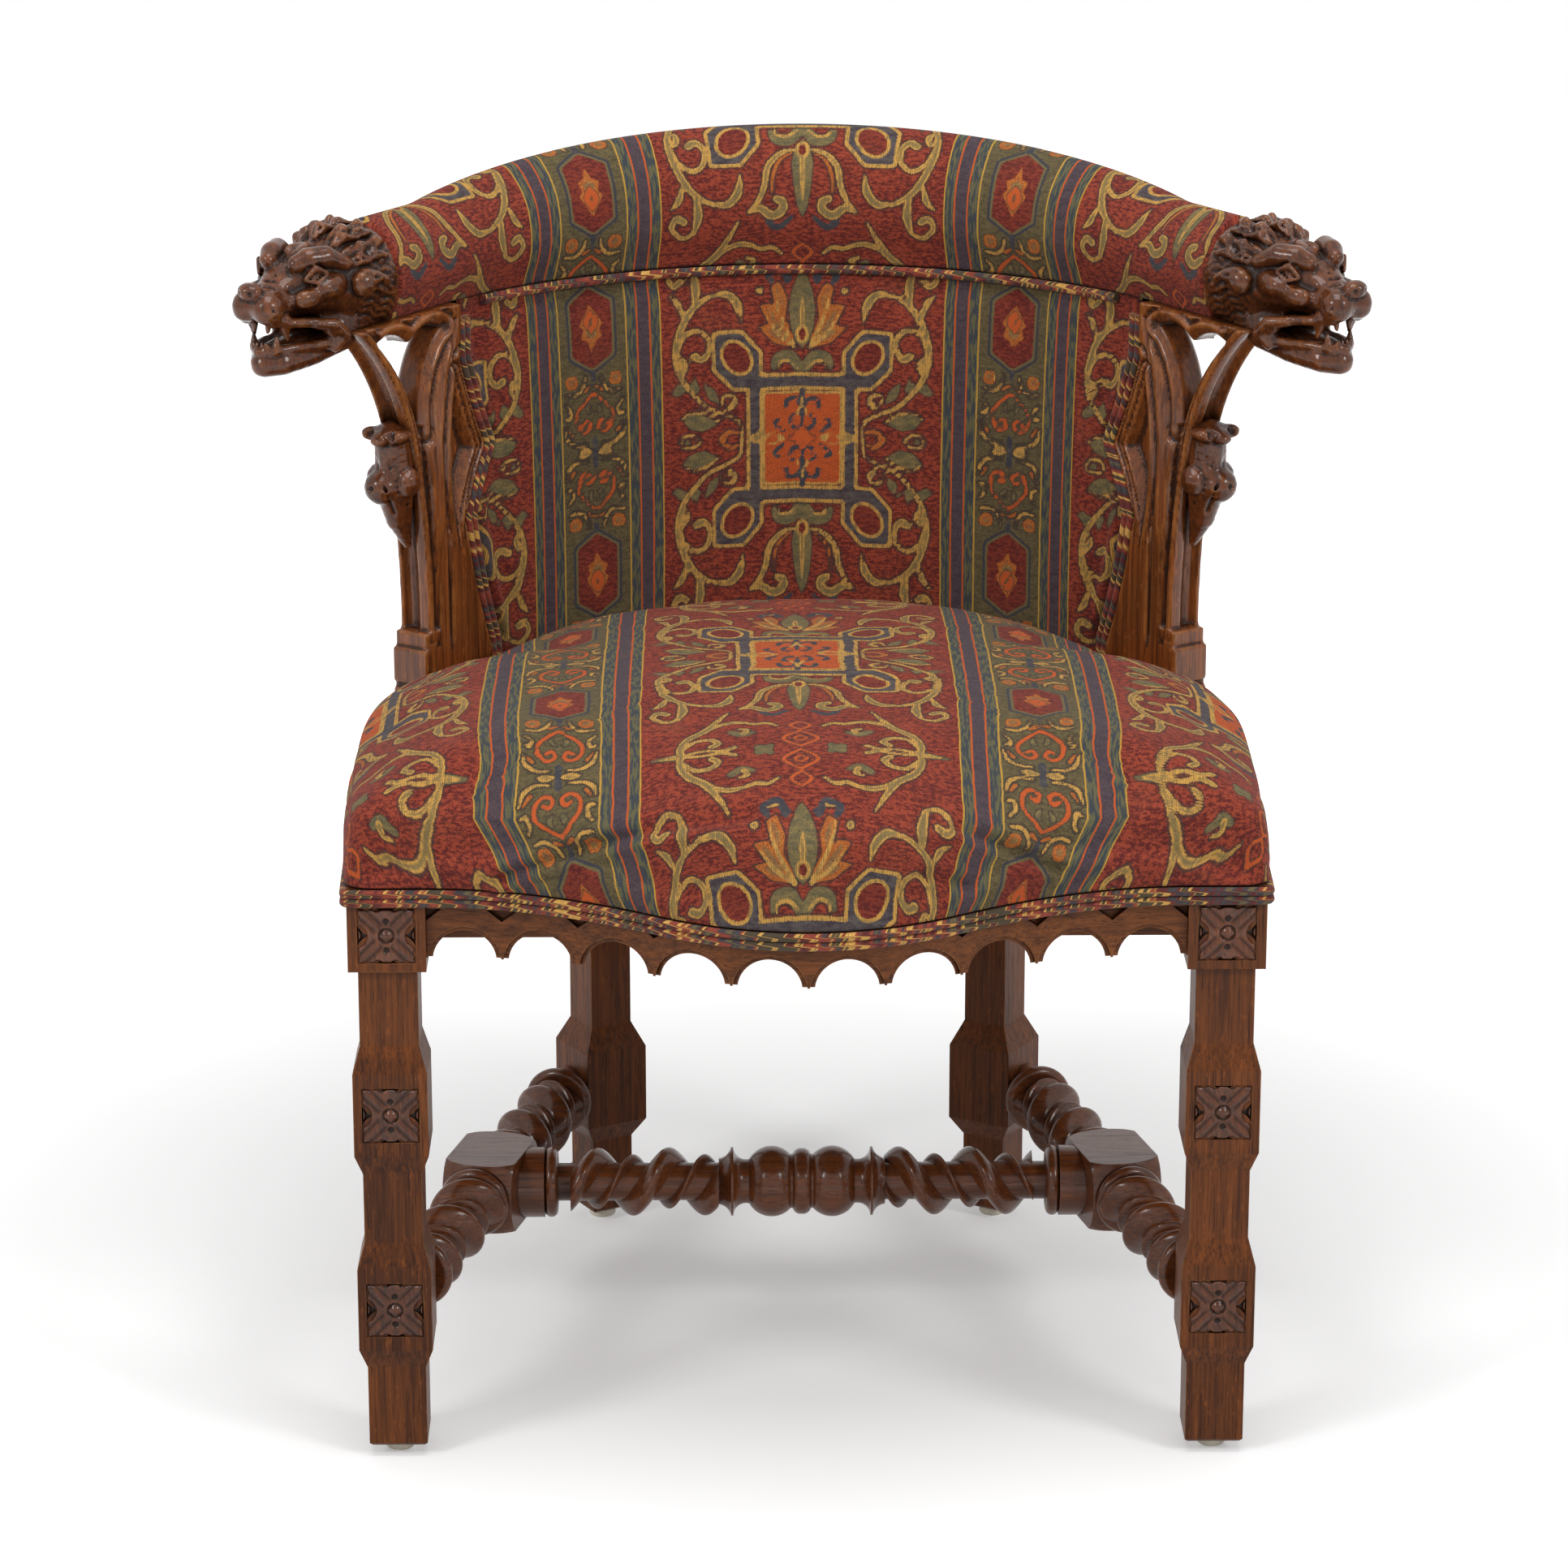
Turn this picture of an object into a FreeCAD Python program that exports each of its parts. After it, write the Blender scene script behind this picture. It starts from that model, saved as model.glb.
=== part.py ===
import FreeCAD, Part
import math
import os
from FreeCAD import Matrix, Placement, Rotation, Vector

# Gothic revival tub armchair in oak with tapestry upholstery.
# Millimetres, Z up. X runs to the right seen from the front and Y to the back.
# While the pieces are drawn, y = 0 is the front of the front legs. The finished chair is moved so
# that its origin is the middle of its box, on the floor. Left is the -X side.

# Fits
JOINT_GAP = 0.15            # all round a tenon, dowel or nail in its hole
SOFT_GAP = 0.3              # between upholstery and what it rests on
PATH_BEND = 0.45            # share of a straight run that a bend at its end may use

# Plan of the seat and tub
TUB_Y = 185.0               # centre of the tub circle, behind the front of the legs
RAIL_RADIUS = 296.0         # outside of the side rails round the tub
LEG_INSET = 28.5            # middle of a front leg, inside the rail circle
REAR_RAIL_PROUD = 9.0       # rear rail outside the rail circle
REAR_LEG_INSET = 10.0       # middle of a rear leg, inside the rail circle
FRAME_INSET = 3.0           # inside of the back frame, inside the rail circle
RAIL_THICK = 30.0
RAIL_BOTTOM = 352.0
RAIL_TOP = 395.0
TENON_THICK = 12.0
TENON_DEPTH = 13.0
TENON_SHOULDER = 6.0        # rail left above and below a tenon
INNER_TENON_DEPTH = 10.4    # shorter tenon of the rail behind the apron

# Legs
TOP_BLOCK = 50.0
BLOCK = 48.0
NECK = 38.0
REAR_NECK = 32.0
BLOCK_FLAT = 56.0
TAPER_BELOW = 14.0
TAPER_ABOVE = 18.0
LOW_BLOCK_Z = 106.0         # also the height of the stretchers
MID_BLOCK_Z = 241.0
TOP_BLOCK_BOTTOM = 339.0
FOOT_EASE = 2.0
REAR_LEG_ANGLE = 30.0       # from the middle of the back, and the turn of the leg
GLIDE_DIAMETER = 19.0
GLIDE_FLAT = 15.2           # diameter of the flat that it stands on
GLIDE_ROUND = 2.4           # height of its rounded edge
GLIDE_HEIGHT = 8.0
NAIL_DIAMETER = 3.0
NAIL_LENGTH = 18.0

# Carved squares on the front leg blocks
CARVED_SIZE = 37.0
CARVED_DEPTH = 2.6
PETAL_WIDTH = 18.0
BEAD_DIAMETER = 7.0

# Front apron
APRON_SET_BACK = 5.0        # its ends lie behind the front of the legs
APRON_THICK = 22.0
APRON_BOTTOM = 347.0
BOW_DEPTH = 62.0
BOW_RADIUS = 200.0
ARCH_COUNT = 10
CUSP_WIDTH = 8.0
ARCH_SINK = 2.5             # centre of an arch below the bottom of the apron
ARCH_EDGE = 3.2             # sunk band round each arch
ARCH_EDGE_DEPTH = 3.0
SPANDREL_WIDTH = 20.0
SPANDREL_HEIGHT = 8.0
SPANDREL_DROP = 15.0        # from the top of the apron
SPANDREL_DEPTH = 4.0
INNER_RAIL_THICK = 20.0

# Stretchers
TWIST_PITCH = 49.5
FAT_STRAND = 14.0           # radius of the round strand
FAT_OFFSET = 9.6            # its centre from the axis
THIN_STRAND = 4.4
THIN_OFFSET = 14.4
GROOVE_DEPTH = 1.0          # hollow of the groove below a straight line between the strands
STRAND_SWEEP = 105.0        # half the angle that the round strand is shown over
RIDGE_SWEEP = 75.0
TURNED_NECK = 13.0          # radius
COLLAR_RADIUS = 24.2
COLLAR_LENGTH = 9.0
CENTRE_RING = 6.3           # half its length
CENTRE_RING_RADIUS = 22.8
CENTRE_RING_EDGE = 18.8     # radius where it meets the balls
CENTRE_RING_BEND = (0.7, 21.6)   # share of its half length and the radius there
QUIRK = 1.5                 # flat step between ring and ball, and round the disc
BALL_LENGTH = 28.5
BALL_RADIUS = 24.5
BALL_FULL = 0.46            # share of its length where it is fullest
COVE_LENGTH = 11.0
COVE_RADIUS = 15.5
COVE_BEND = (0.72, 17.3)    # share of its length and the radius there
DISC_RADIUS = 23.8
DISC_LENGTH = 10.0
DISC_FOOT = 16.0            # radius where it meets the twist
DISC_BEND = (0.4, 19.0)     # share of its length and the radius there
DRUM_LENGTH = 12.0          # plain round end of the cross stretcher
TWIST_NECK = 9.0            # plain length between the twist and the bead
SIDE_TWIST_LENGTH = 118.0
STRETCHER_BLOCK_Y = 227.0
STRETCHER_BLOCK = 49.0
STRETCHER_BLOCK_LENGTH = 68.0
PUMMEL_EASE = 12.0          # length over which a block end is turned round
PUMMEL_STEP = 1.0           # turned end inside the faces of the block
PUMMEL_BEND = (0.3, 29.5)   # share of the eased length and the radius there
ROUND_TENON = 9.0           # radius
ROUND_TENON_DEPTH = 18.0

# Back and crest
PANEL_ANGLE = 57.3          # where the flat arm panel touches its circle
PANEL_INSET = 16.5          # inner face of the arm panel, inside the back frame
PANEL_THICK = 28.0
PANEL_BACK = -37.0          # start of the panel, behind the point where it touches its circle
FRAME_THICK = 13.5
PAD_LOW_THICK = 12.0        # back pad at the seat
PAD_HIGH_THICK = 5.5        # back pad under the crest
PAD_CROWN = 3.0
CANVAS_THICK = 1.0
COVER_THICK = 4.0
COVER_DROP = 14.0           # outside back laps below the top of the rail
CANVAS_ANGLE = 49.0
CREST_BOTTOM = 700.0
CREST_HEIGHT = 95.0         # of the padded roll at the middle of the back
CREST_END_DROP = 28.0       # the roll is this much lower at the arms
CREST_INSET = 6.0           # lower inner edge of the roll, inside the back frame
CREST_THICK = 42.0          # between the lower edges of the roll
CREST_SWELL = 9.5           # the roll stands out this much past both lower edges
CREST_IN_BELLY = 0.36       # share of the height where the inner side is fullest
CREST_IN_SHOULDER = (0.74, 0.35)    # share of the height, and of the swell there
CREST_OUT_SHOULDER = (0.76, 0.2)
CREST_OUT_BELLY = 0.4
CREST_STATIONS = 7          # sections round the tub
CORE_THICK = 32.0
CORE_HEIGHT = 38.0
CORE_SPLICE = 36.0          # angle of the joints in the wood core
ARM_END = 98.0              # along the arm panel, where the head begins

# Outline of the arm panel on its inner face: distance forward and height
PANEL_LAP = 29.0            # foot of the panel below the top of the rail
PANEL_FOOT = RAIL_TOP - PANEL_LAP
EDGE_FOOT = (0, 455)
EDGE_SWELL = (19, 512)
EDGE_TOP = (27, 548)
EDGE_DRAW = (18, 570)
EDGE_CUSP = (3, 596)
EDGE_RISE = (18, 628)
EDGE_HEAD = (31, 662)
POST_FOOT = (74, 455)
POST_BEND = (76, 540)
POST_MIDDLE = (88, 612)
POST_CURVE = (109.6, 661)
POST_TOP = (146, CREST_BOTTOM)
OPENING_FOOT = (77, 620)
OPENING_LEFT = (70, 662)
OPENING_RIGHT = (94, 657)
OPENING_TOP_LEFT = (50, 688)
OPENING_TOP_RIGHT = (121, 688)
OPENING_CUSP = (86, 682)
OPENING_FOIL = 11.0         # rise of the two foils at its head
SUNK_HEAD = (38, 655)
SUNK_CUSP = (14, 597)
SUNK_FOOT = (36, 524)
SUNK_RIGHT = (27, 628)
SUNK_DRAW = (30, 566)
SUNK_LEFT = (46, 598)
SUNK_DEPTH = 9.0
HOLLOW_RADIUS = 8.0         # of the moulding down the front edge
PLINTH_FORWARD = 6.0
PLINTH_TOP = 470.0
PLINTH_LENGTH = 16.0
CROCKET_BALL = (90, 582)
CROCKET_RADIUS = 14.0
CROCKET_LEAF = (96, 610)
CROCKET_WIDE = 17.0         # half its width across the board
CROCKET_DEEP = 16.8         # its middle, behind the inner face of the board
CROCKET_LEAF_REACH = 10.5   # half the leaf's size along the board
CROCKET_LEAF_HALF = 8.4     # half the leaf's height
CROCKET_STALK = 8.4         # radius

# Seat
PAD_OVERHANG = 3.5          # of the pad past the rails and the legs
PAD_CORNER = 16.0
PAD_CENTRE_Y = 190.0
DECK_INSET = 22.5           # webbing and canvas end this far inside the rail circle
PAD_HEIGHT = 93.0           # crown over the rails
PAD_SIDE = ((0, 1.0), (0.09, 1.004), (0.3, 1.01), (0.54, 1.0), (1.06, 0.97))   # shares of height and outline
CROWN_ARCH = 26.0           # fall of the crown towards the edge
CROWN_EDGE = 18.0           # further fall where it rolls over at the edge
CROWN_ROLL = 10             # how late the roll-over begins
CROWN_CORNER = 6
CROWN_LIMIT = 1.08
CROWN_GRID = 25
CORD_RADIUS = 2.8           # one cord of the piping
CORD_CORNER = 3.2           # bend of a cord round the leg corner
CORD_END = 1.0              # degrees between the seat piping and the arm panel
CREST_CORD_RADIUS = 3.2

# Seat support
STRAP_WIDTH = 50.0
STRAP_THICK = 1.6
STRAP_COUNT = 4
STRAP_STEP = 92.0

# Fasteners
DOWEL_RADIUS = 5.0
DOWEL_LENGTH = 36.0
PANEL_DOWEL_RADIUS = 2.5
CREST_DOWEL_HEIGHTS = (0.3, 0.7)    # shares of the core's height
HEAD_DOWEL_RADIUS = 7.0
HEAD_DOWEL_LENGTH = 50.0
SCREW_RADIUS = 2.2
SCREW_HEAD = 4.2
SCREW_LENGTH = 34.0
SCREW_IN_BLOCK = 18.7       # part of a screw that lies in the corner block

# Corner blocks
BRACE_REACH = 46.0          # along each rail from the leg
BRACE_HEIGHT = 26.0
BRACE_RAIL_SCREW = 23.0     # from the leg to the screw, along the side rail
BRACE_FRONT_SCREW = 20.7    # and along the front rail

# Beast heads
HEAD_TURN = 5.0             # outwards from the line of the arm, degrees
HEAD_PITCH = 4.0            # downwards, degrees
HEAD_DROP = 5.0             # below the middle of the arm's end
HEAD_LENGTH = 116.0
HEAD_POINTS = 12            # round a section
HEAD_SQUARE = 0.8           # 1 is an ellipse, less is squarer

# Forms of the head in shares of its length. A section is its place, half width, top and bottom.
SKULL = ((0, 0.267, 0.302, -0.267), (0.14, 0.302, 0.353, -0.293), (0.32, 0.31, 0.336, -0.293),
         (0.5, 0.284, 0.31, -0.172), (0.68, 0.207, 0.181, -0.103), (0.88, 0.164, 0.129, -0.103),
         (1, 0.103, 0.086, -0.069))
JAW = ((0.22, 0.233, -0.121, -0.328), (0.52, 0.19, -0.224, -0.362), (0.8, 0.147, -0.25, -0.388),
       (0.92, 0.086, -0.259, -0.371))
BROW = (0.56, 0.164, 0.25, 0.138, 0.112, 0.095)     # place along, aside and up, then three radii
EAR = (0.24, 0.276, 0.103, 0.112, 0.078, 0.129)
CHEEK = (0.42, 0.233, -0.069, 0.155, 0.103, 0.121)
NOSE = (0.95, 0, 0.112, 0.086, 0.095, 0.078)
TONGUE = (0.62, 0, -0.233, 0.259, 0.112, 0.052)
FANG = (0.87, 0.103, -0.069, 0.036, 0.138)          # place along, aside and up, radius and length
FANG_TIP = 0.15                                     # share of the fang's radius left at its tip

# Sizes that follow from the ones above
UP = Vector(0, 0, 1)
LEG_SPREAD = RAIL_RADIUS - LEG_INSET
LEG_BACK = TOP_BLOCK
LEG_OUT = LEG_SPREAD + TOP_BLOCK / 2
HALF_FRONT = LEG_SPREAD - TOP_BLOCK / 2
REAR_LEG_RADIUS = RAIL_RADIUS - REAR_LEG_INSET
REAR_RAIL_RADIUS = RAIL_RADIUS + REAR_RAIL_PROUD
FRAME_RADIUS = RAIL_RADIUS - FRAME_INSET
FRAME_OUT = FRAME_RADIUS + FRAME_THICK
PANEL_RADIUS = FRAME_RADIUS - PANEL_INSET
PAD_RADIUS = FRAME_RADIUS - PAD_LOW_THICK
PAD_RADIUS_TOP = FRAME_RADIUS - PAD_HIGH_THICK
CREST_IN = FRAME_RADIUS - CREST_INSET
CREST_OUT = CREST_IN + CREST_THICK
DECK_RADIUS = RAIL_RADIUS - DECK_INSET
ARM_RUN = ARM_END + PANEL_BACK   # straight end of the crest


# Helpers

def line(a, b):
    return Part.LineSegment(a, b).toShape()


def arc(a, through, b):
    return Part.Arc(a, through, b).toShape()


def arc_about(centre, a, b):
    """The arc of under half a circle from a to b about a centre."""
    middle = ((a - centre) + (b - centre)).normalize() * (a - centre).Length
    return arc(a, centre + middle, b)


def extruded(edges, way):
    return Part.Face(Part.Wire(edges)).extrude(way)


def box(x0, x1, y0, y1, z0, z1):
    return Part.makeBox(x1 - x0, y1 - y0, z1 - z0, Vector(x0, y0, z0))


def mirrored(shape):
    return shape.mirror(Vector(0, 0, 0), Vector(1, 0, 0))


def placed(shape, placement):
    moved = shape.copy()
    moved.Placement = placement.multiply(moved.Placement)
    return moved


def frame_placement(x_axis, y_axis, origin):
    z_axis = x_axis.cross(y_axis)
    return Placement(Matrix(x_axis.x, y_axis.x, z_axis.x, origin.x,
                            x_axis.y, y_axis.y, z_axis.y, origin.y,
                            x_axis.z, y_axis.z, z_axis.z, origin.z,
                            0, 0, 0, 1))


def polar(radius, angle, z=0.0):
    """A point about the tub centre. The angle runs from the back towards the left side."""
    turn = math.radians(angle)
    return Vector(-radius * math.sin(turn), TUB_Y + radius * math.cos(turn), z)


def ring_sector(inner, outer, angle, z0, z1):
    """A curved board about the tub centre, reaching this angle to both sides of the middle."""
    edges = [arc(polar(outer, -angle, z0), polar(outer, 0, z0), polar(outer, angle, z0)),
             line(polar(outer, angle, z0), polar(inner, angle, z0)),
             arc(polar(inner, angle, z0), polar(inner, 0, z0), polar(inner, -angle, z0)),
             line(polar(inner, -angle, z0), polar(outer, -angle, z0))]
    return extruded(edges, UP * (z1 - z0))


def cord(edges, radius):
    """A round cord along a smooth path of lines and arcs."""
    path = Part.Wire(edges)
    start = edges[0].valueAt(edges[0].FirstParameter)
    way = edges[0].tangentAt(edges[0].FirstParameter)
    section = Part.Wire([Part.makeCircle(radius, start, way)])
    return path.makePipeShell([section], True, False)


def rounded_path(points):
    """Straight runs joined by tangent arcs, each as large as its two runs allow."""
    edges = []
    start = points[0]
    for before, corner, after in zip(points, points[1:], points[2:]):
        back = before - corner
        ahead = after - corner
        reach = PATH_BEND * min(back.Length, ahead.Length)
        enter = corner + back.normalize() * reach
        leave = corner + ahead.normalize() * reach
        half_turn = (math.pi - back.getAngle(ahead)) / 2
        inward = (back + ahead).normalize()
        radius = reach / math.tan(half_turn)
        centre = corner + inward * math.hypot(reach, radius)
        edges.append(line(start, enter))
        edges.append(arc_about(centre, enter, leave))
        start = leave
    edges.append(line(start, points[-1]))
    return edges


def lathe(steps):
    """A turned solid about Z. A step is (z, r), or (z, r, zm, rm) for an arc through (zm, rm)."""
    first = Vector(steps[0][1], 0, steps[0][0])
    last = Vector(steps[-1][1], 0, steps[-1][0])
    edges = []
    at = first
    for step in steps[1:]:
        to = Vector(step[1], 0, step[0])
        if len(step) == 4:
            edges.append(arc(at, Vector(step[3], 0, step[2]), to))
        else:
            edges.append(line(at, to))
        at = to
    top = Vector(0, 0, last.z)
    bottom = Vector(0, 0, first.z)
    edges += [line(last, top), line(top, bottom), line(bottom, first)]
    return Part.Face(Part.Wire(edges)).revolve(Vector(0, 0, 0), UP, 360)


def along(shape, start, way):
    """A shape drawn along Z from the origin, laid from a start point along a level direction."""
    x_axis = UP.cross(way)
    return placed(shape, frame_placement(x_axis, UP, start))


# Plan curves

def side_angle():
    """Where a line from the outer back corner of the front leg touches the rail circle."""
    to_corner = math.degrees(math.atan2(LEG_OUT, LEG_BACK - TUB_Y))
    reach = math.hypot(LEG_OUT, LEG_BACK - TUB_Y)
    return to_corner - math.degrees(math.acos(RAIL_RADIUS / reach))


SIDE_ANGLE = side_angle()
SIDE_WAY = Vector(-math.cos(math.radians(SIDE_ANGLE)), -math.sin(math.radians(SIDE_ANGLE)), 0)


def side_point(radius, y, z=0.0):
    """The straight part of a rail outline of this radius, at a given y on the left side."""
    touch = polar(radius, SIDE_ANGLE, z)
    return touch + SIDE_WAY * ((y - touch.y) / SIDE_WAY.y)


def bow_edges(end_y, z):
    """The serpentine front from the left leg to the right one: hollow, bow, hollow."""
    hollow = (HALF_FRONT ** 2 + BOW_DEPTH ** 2) / (2 * BOW_DEPTH) - BOW_RADIUS
    share = BOW_RADIUS / (BOW_RADIUS + hollow)
    front = end_y - BOW_DEPTH
    left = Vector(-HALF_FRONT, end_y, z)
    right = Vector(HALF_FRONT, end_y, z)
    left_turn = Vector(-HALF_FRONT * share, front + BOW_DEPTH * share, z)
    right_turn = Vector(-left_turn.x, left_turn.y, z)
    return [arc_about(left - Vector(0, hollow, 0), left, left_turn),
            arc(left_turn, Vector(0, front, z), right_turn),
            arc_about(right - Vector(0, hollow, 0), right_turn, right)]


def seat_side(radius, front_y, z, rounding):
    """Left corner of a seat outline: end of the front, corner centre and end of the side."""
    corner = side_point(radius, front_y, z)
    inward = Vector(1, 0, 0)
    half_turn = (math.pi - inward.getAngle(SIDE_WAY * -1)) / 2
    reach = rounding * math.tan(half_turn)
    on_front = corner + inward * reach
    on_side = corner - SIDE_WAY * reach
    centre = on_front + Vector(0, rounding, 0)
    return on_front, centre, on_side


def flip(point):
    return Vector(-point.x, point.y, point.z)


def seat_edges(grow, z, rounding, rear_angle=0.0):
    """Outline of the seat, closed, or open at the back from one rear angle to the other."""
    radius = RAIL_RADIUS + grow
    front_y = -grow
    on_front, centre, on_side = seat_side(radius, front_y, z, rounding)
    touch = polar(radius, SIDE_ANGLE, z)
    bow = bow_edges(front_y, z)
    left_end = bow[0].valueAt(bow[0].FirstParameter)
    left = [line(touch, on_side), arc_about(centre, on_side, on_front), line(on_front, left_end)]
    right = [line(flip(left_end), flip(on_front)),
             arc_about(flip(centre), flip(on_front), flip(on_side)), line(flip(on_side), flip(touch))]
    half = (SIDE_ANGLE + rear_angle) / 2
    left_tub = arc(polar(radius, rear_angle, z), polar(radius, half, z), touch)
    right_tub = arc(flip(touch), polar(radius, -half, z), polar(radius, -rear_angle, z))
    return [left_tub] + left + bow + right + [right_tub]


# Legs

def square(size, z):
    half = size / 2
    corners = [Vector(-half, -half, z), Vector(half, -half, z), Vector(half, half, z),
               Vector(-half, half, z)]
    return Part.makePolygon(corners + corners[:1])


def block_levels(middle, neck):
    low = middle - BLOCK_FLAT / 2
    high = middle + BLOCK_FLAT / 2
    return [(low - TAPER_BELOW, neck), (low, BLOCK), (high, BLOCK), (high + TAPER_ABOVE, neck)]


def leg_bar(blocks, top, neck):
    """A square leg from the glide up, swelling to a block at each given height."""
    levels = [(GLIDE_HEIGHT, neck - 2 * FOOT_EASE), (GLIDE_HEIGHT + FOOT_EASE, neck)]
    for middle in blocks:
        levels += block_levels(middle, neck)
    levels.append((top, neck))
    return Part.makeLoft([square(size, z) for z, size in levels], True, True)


def carved_square(face_y, z):
    """What is cut away for a sunk square with a flower of four petals and a bead."""
    half = CARVED_SIZE / 2
    sunk = box(-half, half, face_y, face_y + CARVED_DEPTH, z - half, z + half)
    bead = Part.makeSphere(BEAD_DIAMETER / 2, Vector(0, face_y + CARVED_DEPTH, z))
    middle = Vector(0, face_y + CARVED_DEPTH / 4, z)
    deep = Vector(0, CARVED_DEPTH, 0)
    kept = [bead]
    for side_x in (-1, 1):
        for side_z in (-1, 1):
            tip = middle + Vector(side_x * half, 0, side_z * half)
            swell = Vector(-side_z, 0, side_x).normalize() * (PETAL_WIDTH / 2)
            centre = (middle + tip) / 2
            edges = [arc(middle, centre + swell, tip), arc(tip, centre - swell, middle)]
            kept.append(extruded(edges, deep))
    return sunk.cut(kept)


def nail_hole(grow=0.0):
    height = NAIL_LENGTH + grow
    return Part.makeCylinder(NAIL_DIAMETER / 2 + grow, height, Vector(0, 0, GLIDE_HEIGHT / 2))


def front_leg_place():
    return Placement(Vector(-LEG_SPREAD, TOP_BLOCK / 2, 0), Rotation())


def rear_leg_place():
    """Left rear leg: local x runs round the tub towards the middle of the back, local y outwards."""
    turn = math.radians(REAR_LEG_ANGLE)
    x_axis = Vector(math.cos(turn), math.sin(turn), 0)
    y_axis = Vector(-math.sin(turn), math.cos(turn), 0)
    return frame_placement(x_axis, y_axis, polar(REAR_LEG_RADIUS, REAR_LEG_ANGLE))


def front_leg_blank():
    bar = leg_bar([LOW_BLOCK_Z, MID_BLOCK_Z], TOP_BLOCK_BOTTOM, NECK)
    half = TOP_BLOCK / 2
    block = box(-half, half, -half, half, TOP_BLOCK_BOTTOM, RAIL_TOP)
    return placed(bar.fuse(block), front_leg_place())


def rear_leg_blank():
    bar = leg_bar([LOW_BLOCK_Z], RAIL_TOP, REAR_NECK)
    half = REAR_NECK / 2
    post = box(-half, half, FRAME_RADIUS - REAR_LEG_RADIUS, FRAME_OUT - REAR_LEG_RADIUS,
               RAIL_BOTTOM, CREST_BOTTOM)
    return placed(bar.fuse(post).removeSplitter(), rear_leg_place())


def front_leg():
    """The left front leg with its carving and the holes for what joins it."""
    blank = front_leg_blank()
    top_square = (TOP_BLOCK_BOTTOM + RAIL_TOP) / 2 - PAD_OVERHANG
    faces = [(-BLOCK / 2, LOW_BLOCK_Z), (-BLOCK / 2, MID_BLOCK_Z), (-TOP_BLOCK / 2, top_square)]
    cuts = [placed(carved_square(y, z), front_leg_place()) for y, z in faces]
    cuts.append(placed(nail_hole(JOINT_GAP), front_leg_place()))
    cuts += [apron_tenon(JOINT_GAP), inner_rail_tenon(JOINT_GAP), side_rail_front_tenon(JOINT_GAP),
             side_tenon_front(JOINT_GAP)]
    return blank.cut(cuts)


def rear_leg():
    cuts = [placed(nail_hole(JOINT_GAP), rear_leg_place()), side_rail_rear_tenon(JOINT_GAP),
            rear_rail_tenon(JOINT_GAP), side_tenon_rear(JOINT_GAP)]
    return rear_leg_blank().cut(cuts)


def glide():
    """A domed plastic foot with a flat to stand on, bored for its nail."""
    rim = GLIDE_DIAMETER / 2
    flat = GLIDE_FLAT / 2
    lean = math.sqrt(0.5)
    body = lathe([(0, flat), (GLIDE_ROUND, rim, GLIDE_ROUND * (1 - lean), flat + (rim - flat) * lean),
                  (GLIDE_HEIGHT, rim)])
    return body.cut(nail_hole(JOINT_GAP))


# Apron and rails

def apron_tenon(grow=0.0):
    middle = APRON_SET_BACK + APRON_THICK / 2
    half = TENON_THICK / 2 + grow
    low = APRON_BOTTOM + TENON_SHOULDER
    high = RAIL_TOP - TENON_SHOULDER
    root = -HALF_FRONT + TENON_SHOULDER / 2
    return box(-HALF_FRONT - TENON_DEPTH - grow, root, middle - half, middle + half,
               low - grow, high + grow)


def inner_rail_y():
    """Front and back of the plain rail behind the apron."""
    back = LEG_BACK - JOINT_GAP
    return back - INNER_RAIL_THICK, back


def inner_rail_tenon(grow=0.0):
    front, back = inner_rail_y()
    middle = (front + back) / 2
    half = TENON_THICK / 2 + grow
    depth = INNER_TENON_DEPTH + grow
    return box(-HALF_FRONT - depth, -HALF_FRONT + TENON_SHOULDER, middle - half, middle + half,
               RAIL_BOTTOM + TENON_SHOULDER - grow, RAIL_TOP - TENON_SHOULDER + grow)


def arch_middles():
    pitch = 2 * HALF_FRONT / ARCH_COUNT
    return pitch, [-HALF_FRONT + pitch * (i + 0.5) for i in range(ARCH_COUNT)]


def bowed_slab(thick):
    """A board of full height behind the serpentine front."""
    front = bow_edges(APRON_SET_BACK, APRON_BOTTOM)
    shift = Vector(0, thick, 0)
    back = [edge.translated(shift) for edge in reversed(front)]
    left = front[0].valueAt(front[0].FirstParameter)
    edges = front + [line(flip(left), flip(left) + shift)] + back + [line(left + shift, left)]
    return Part.Face(Part.Wire(Part.__sortEdges__(edges))).extrude(UP * (RAIL_TOP - APRON_BOTTOM))


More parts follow.
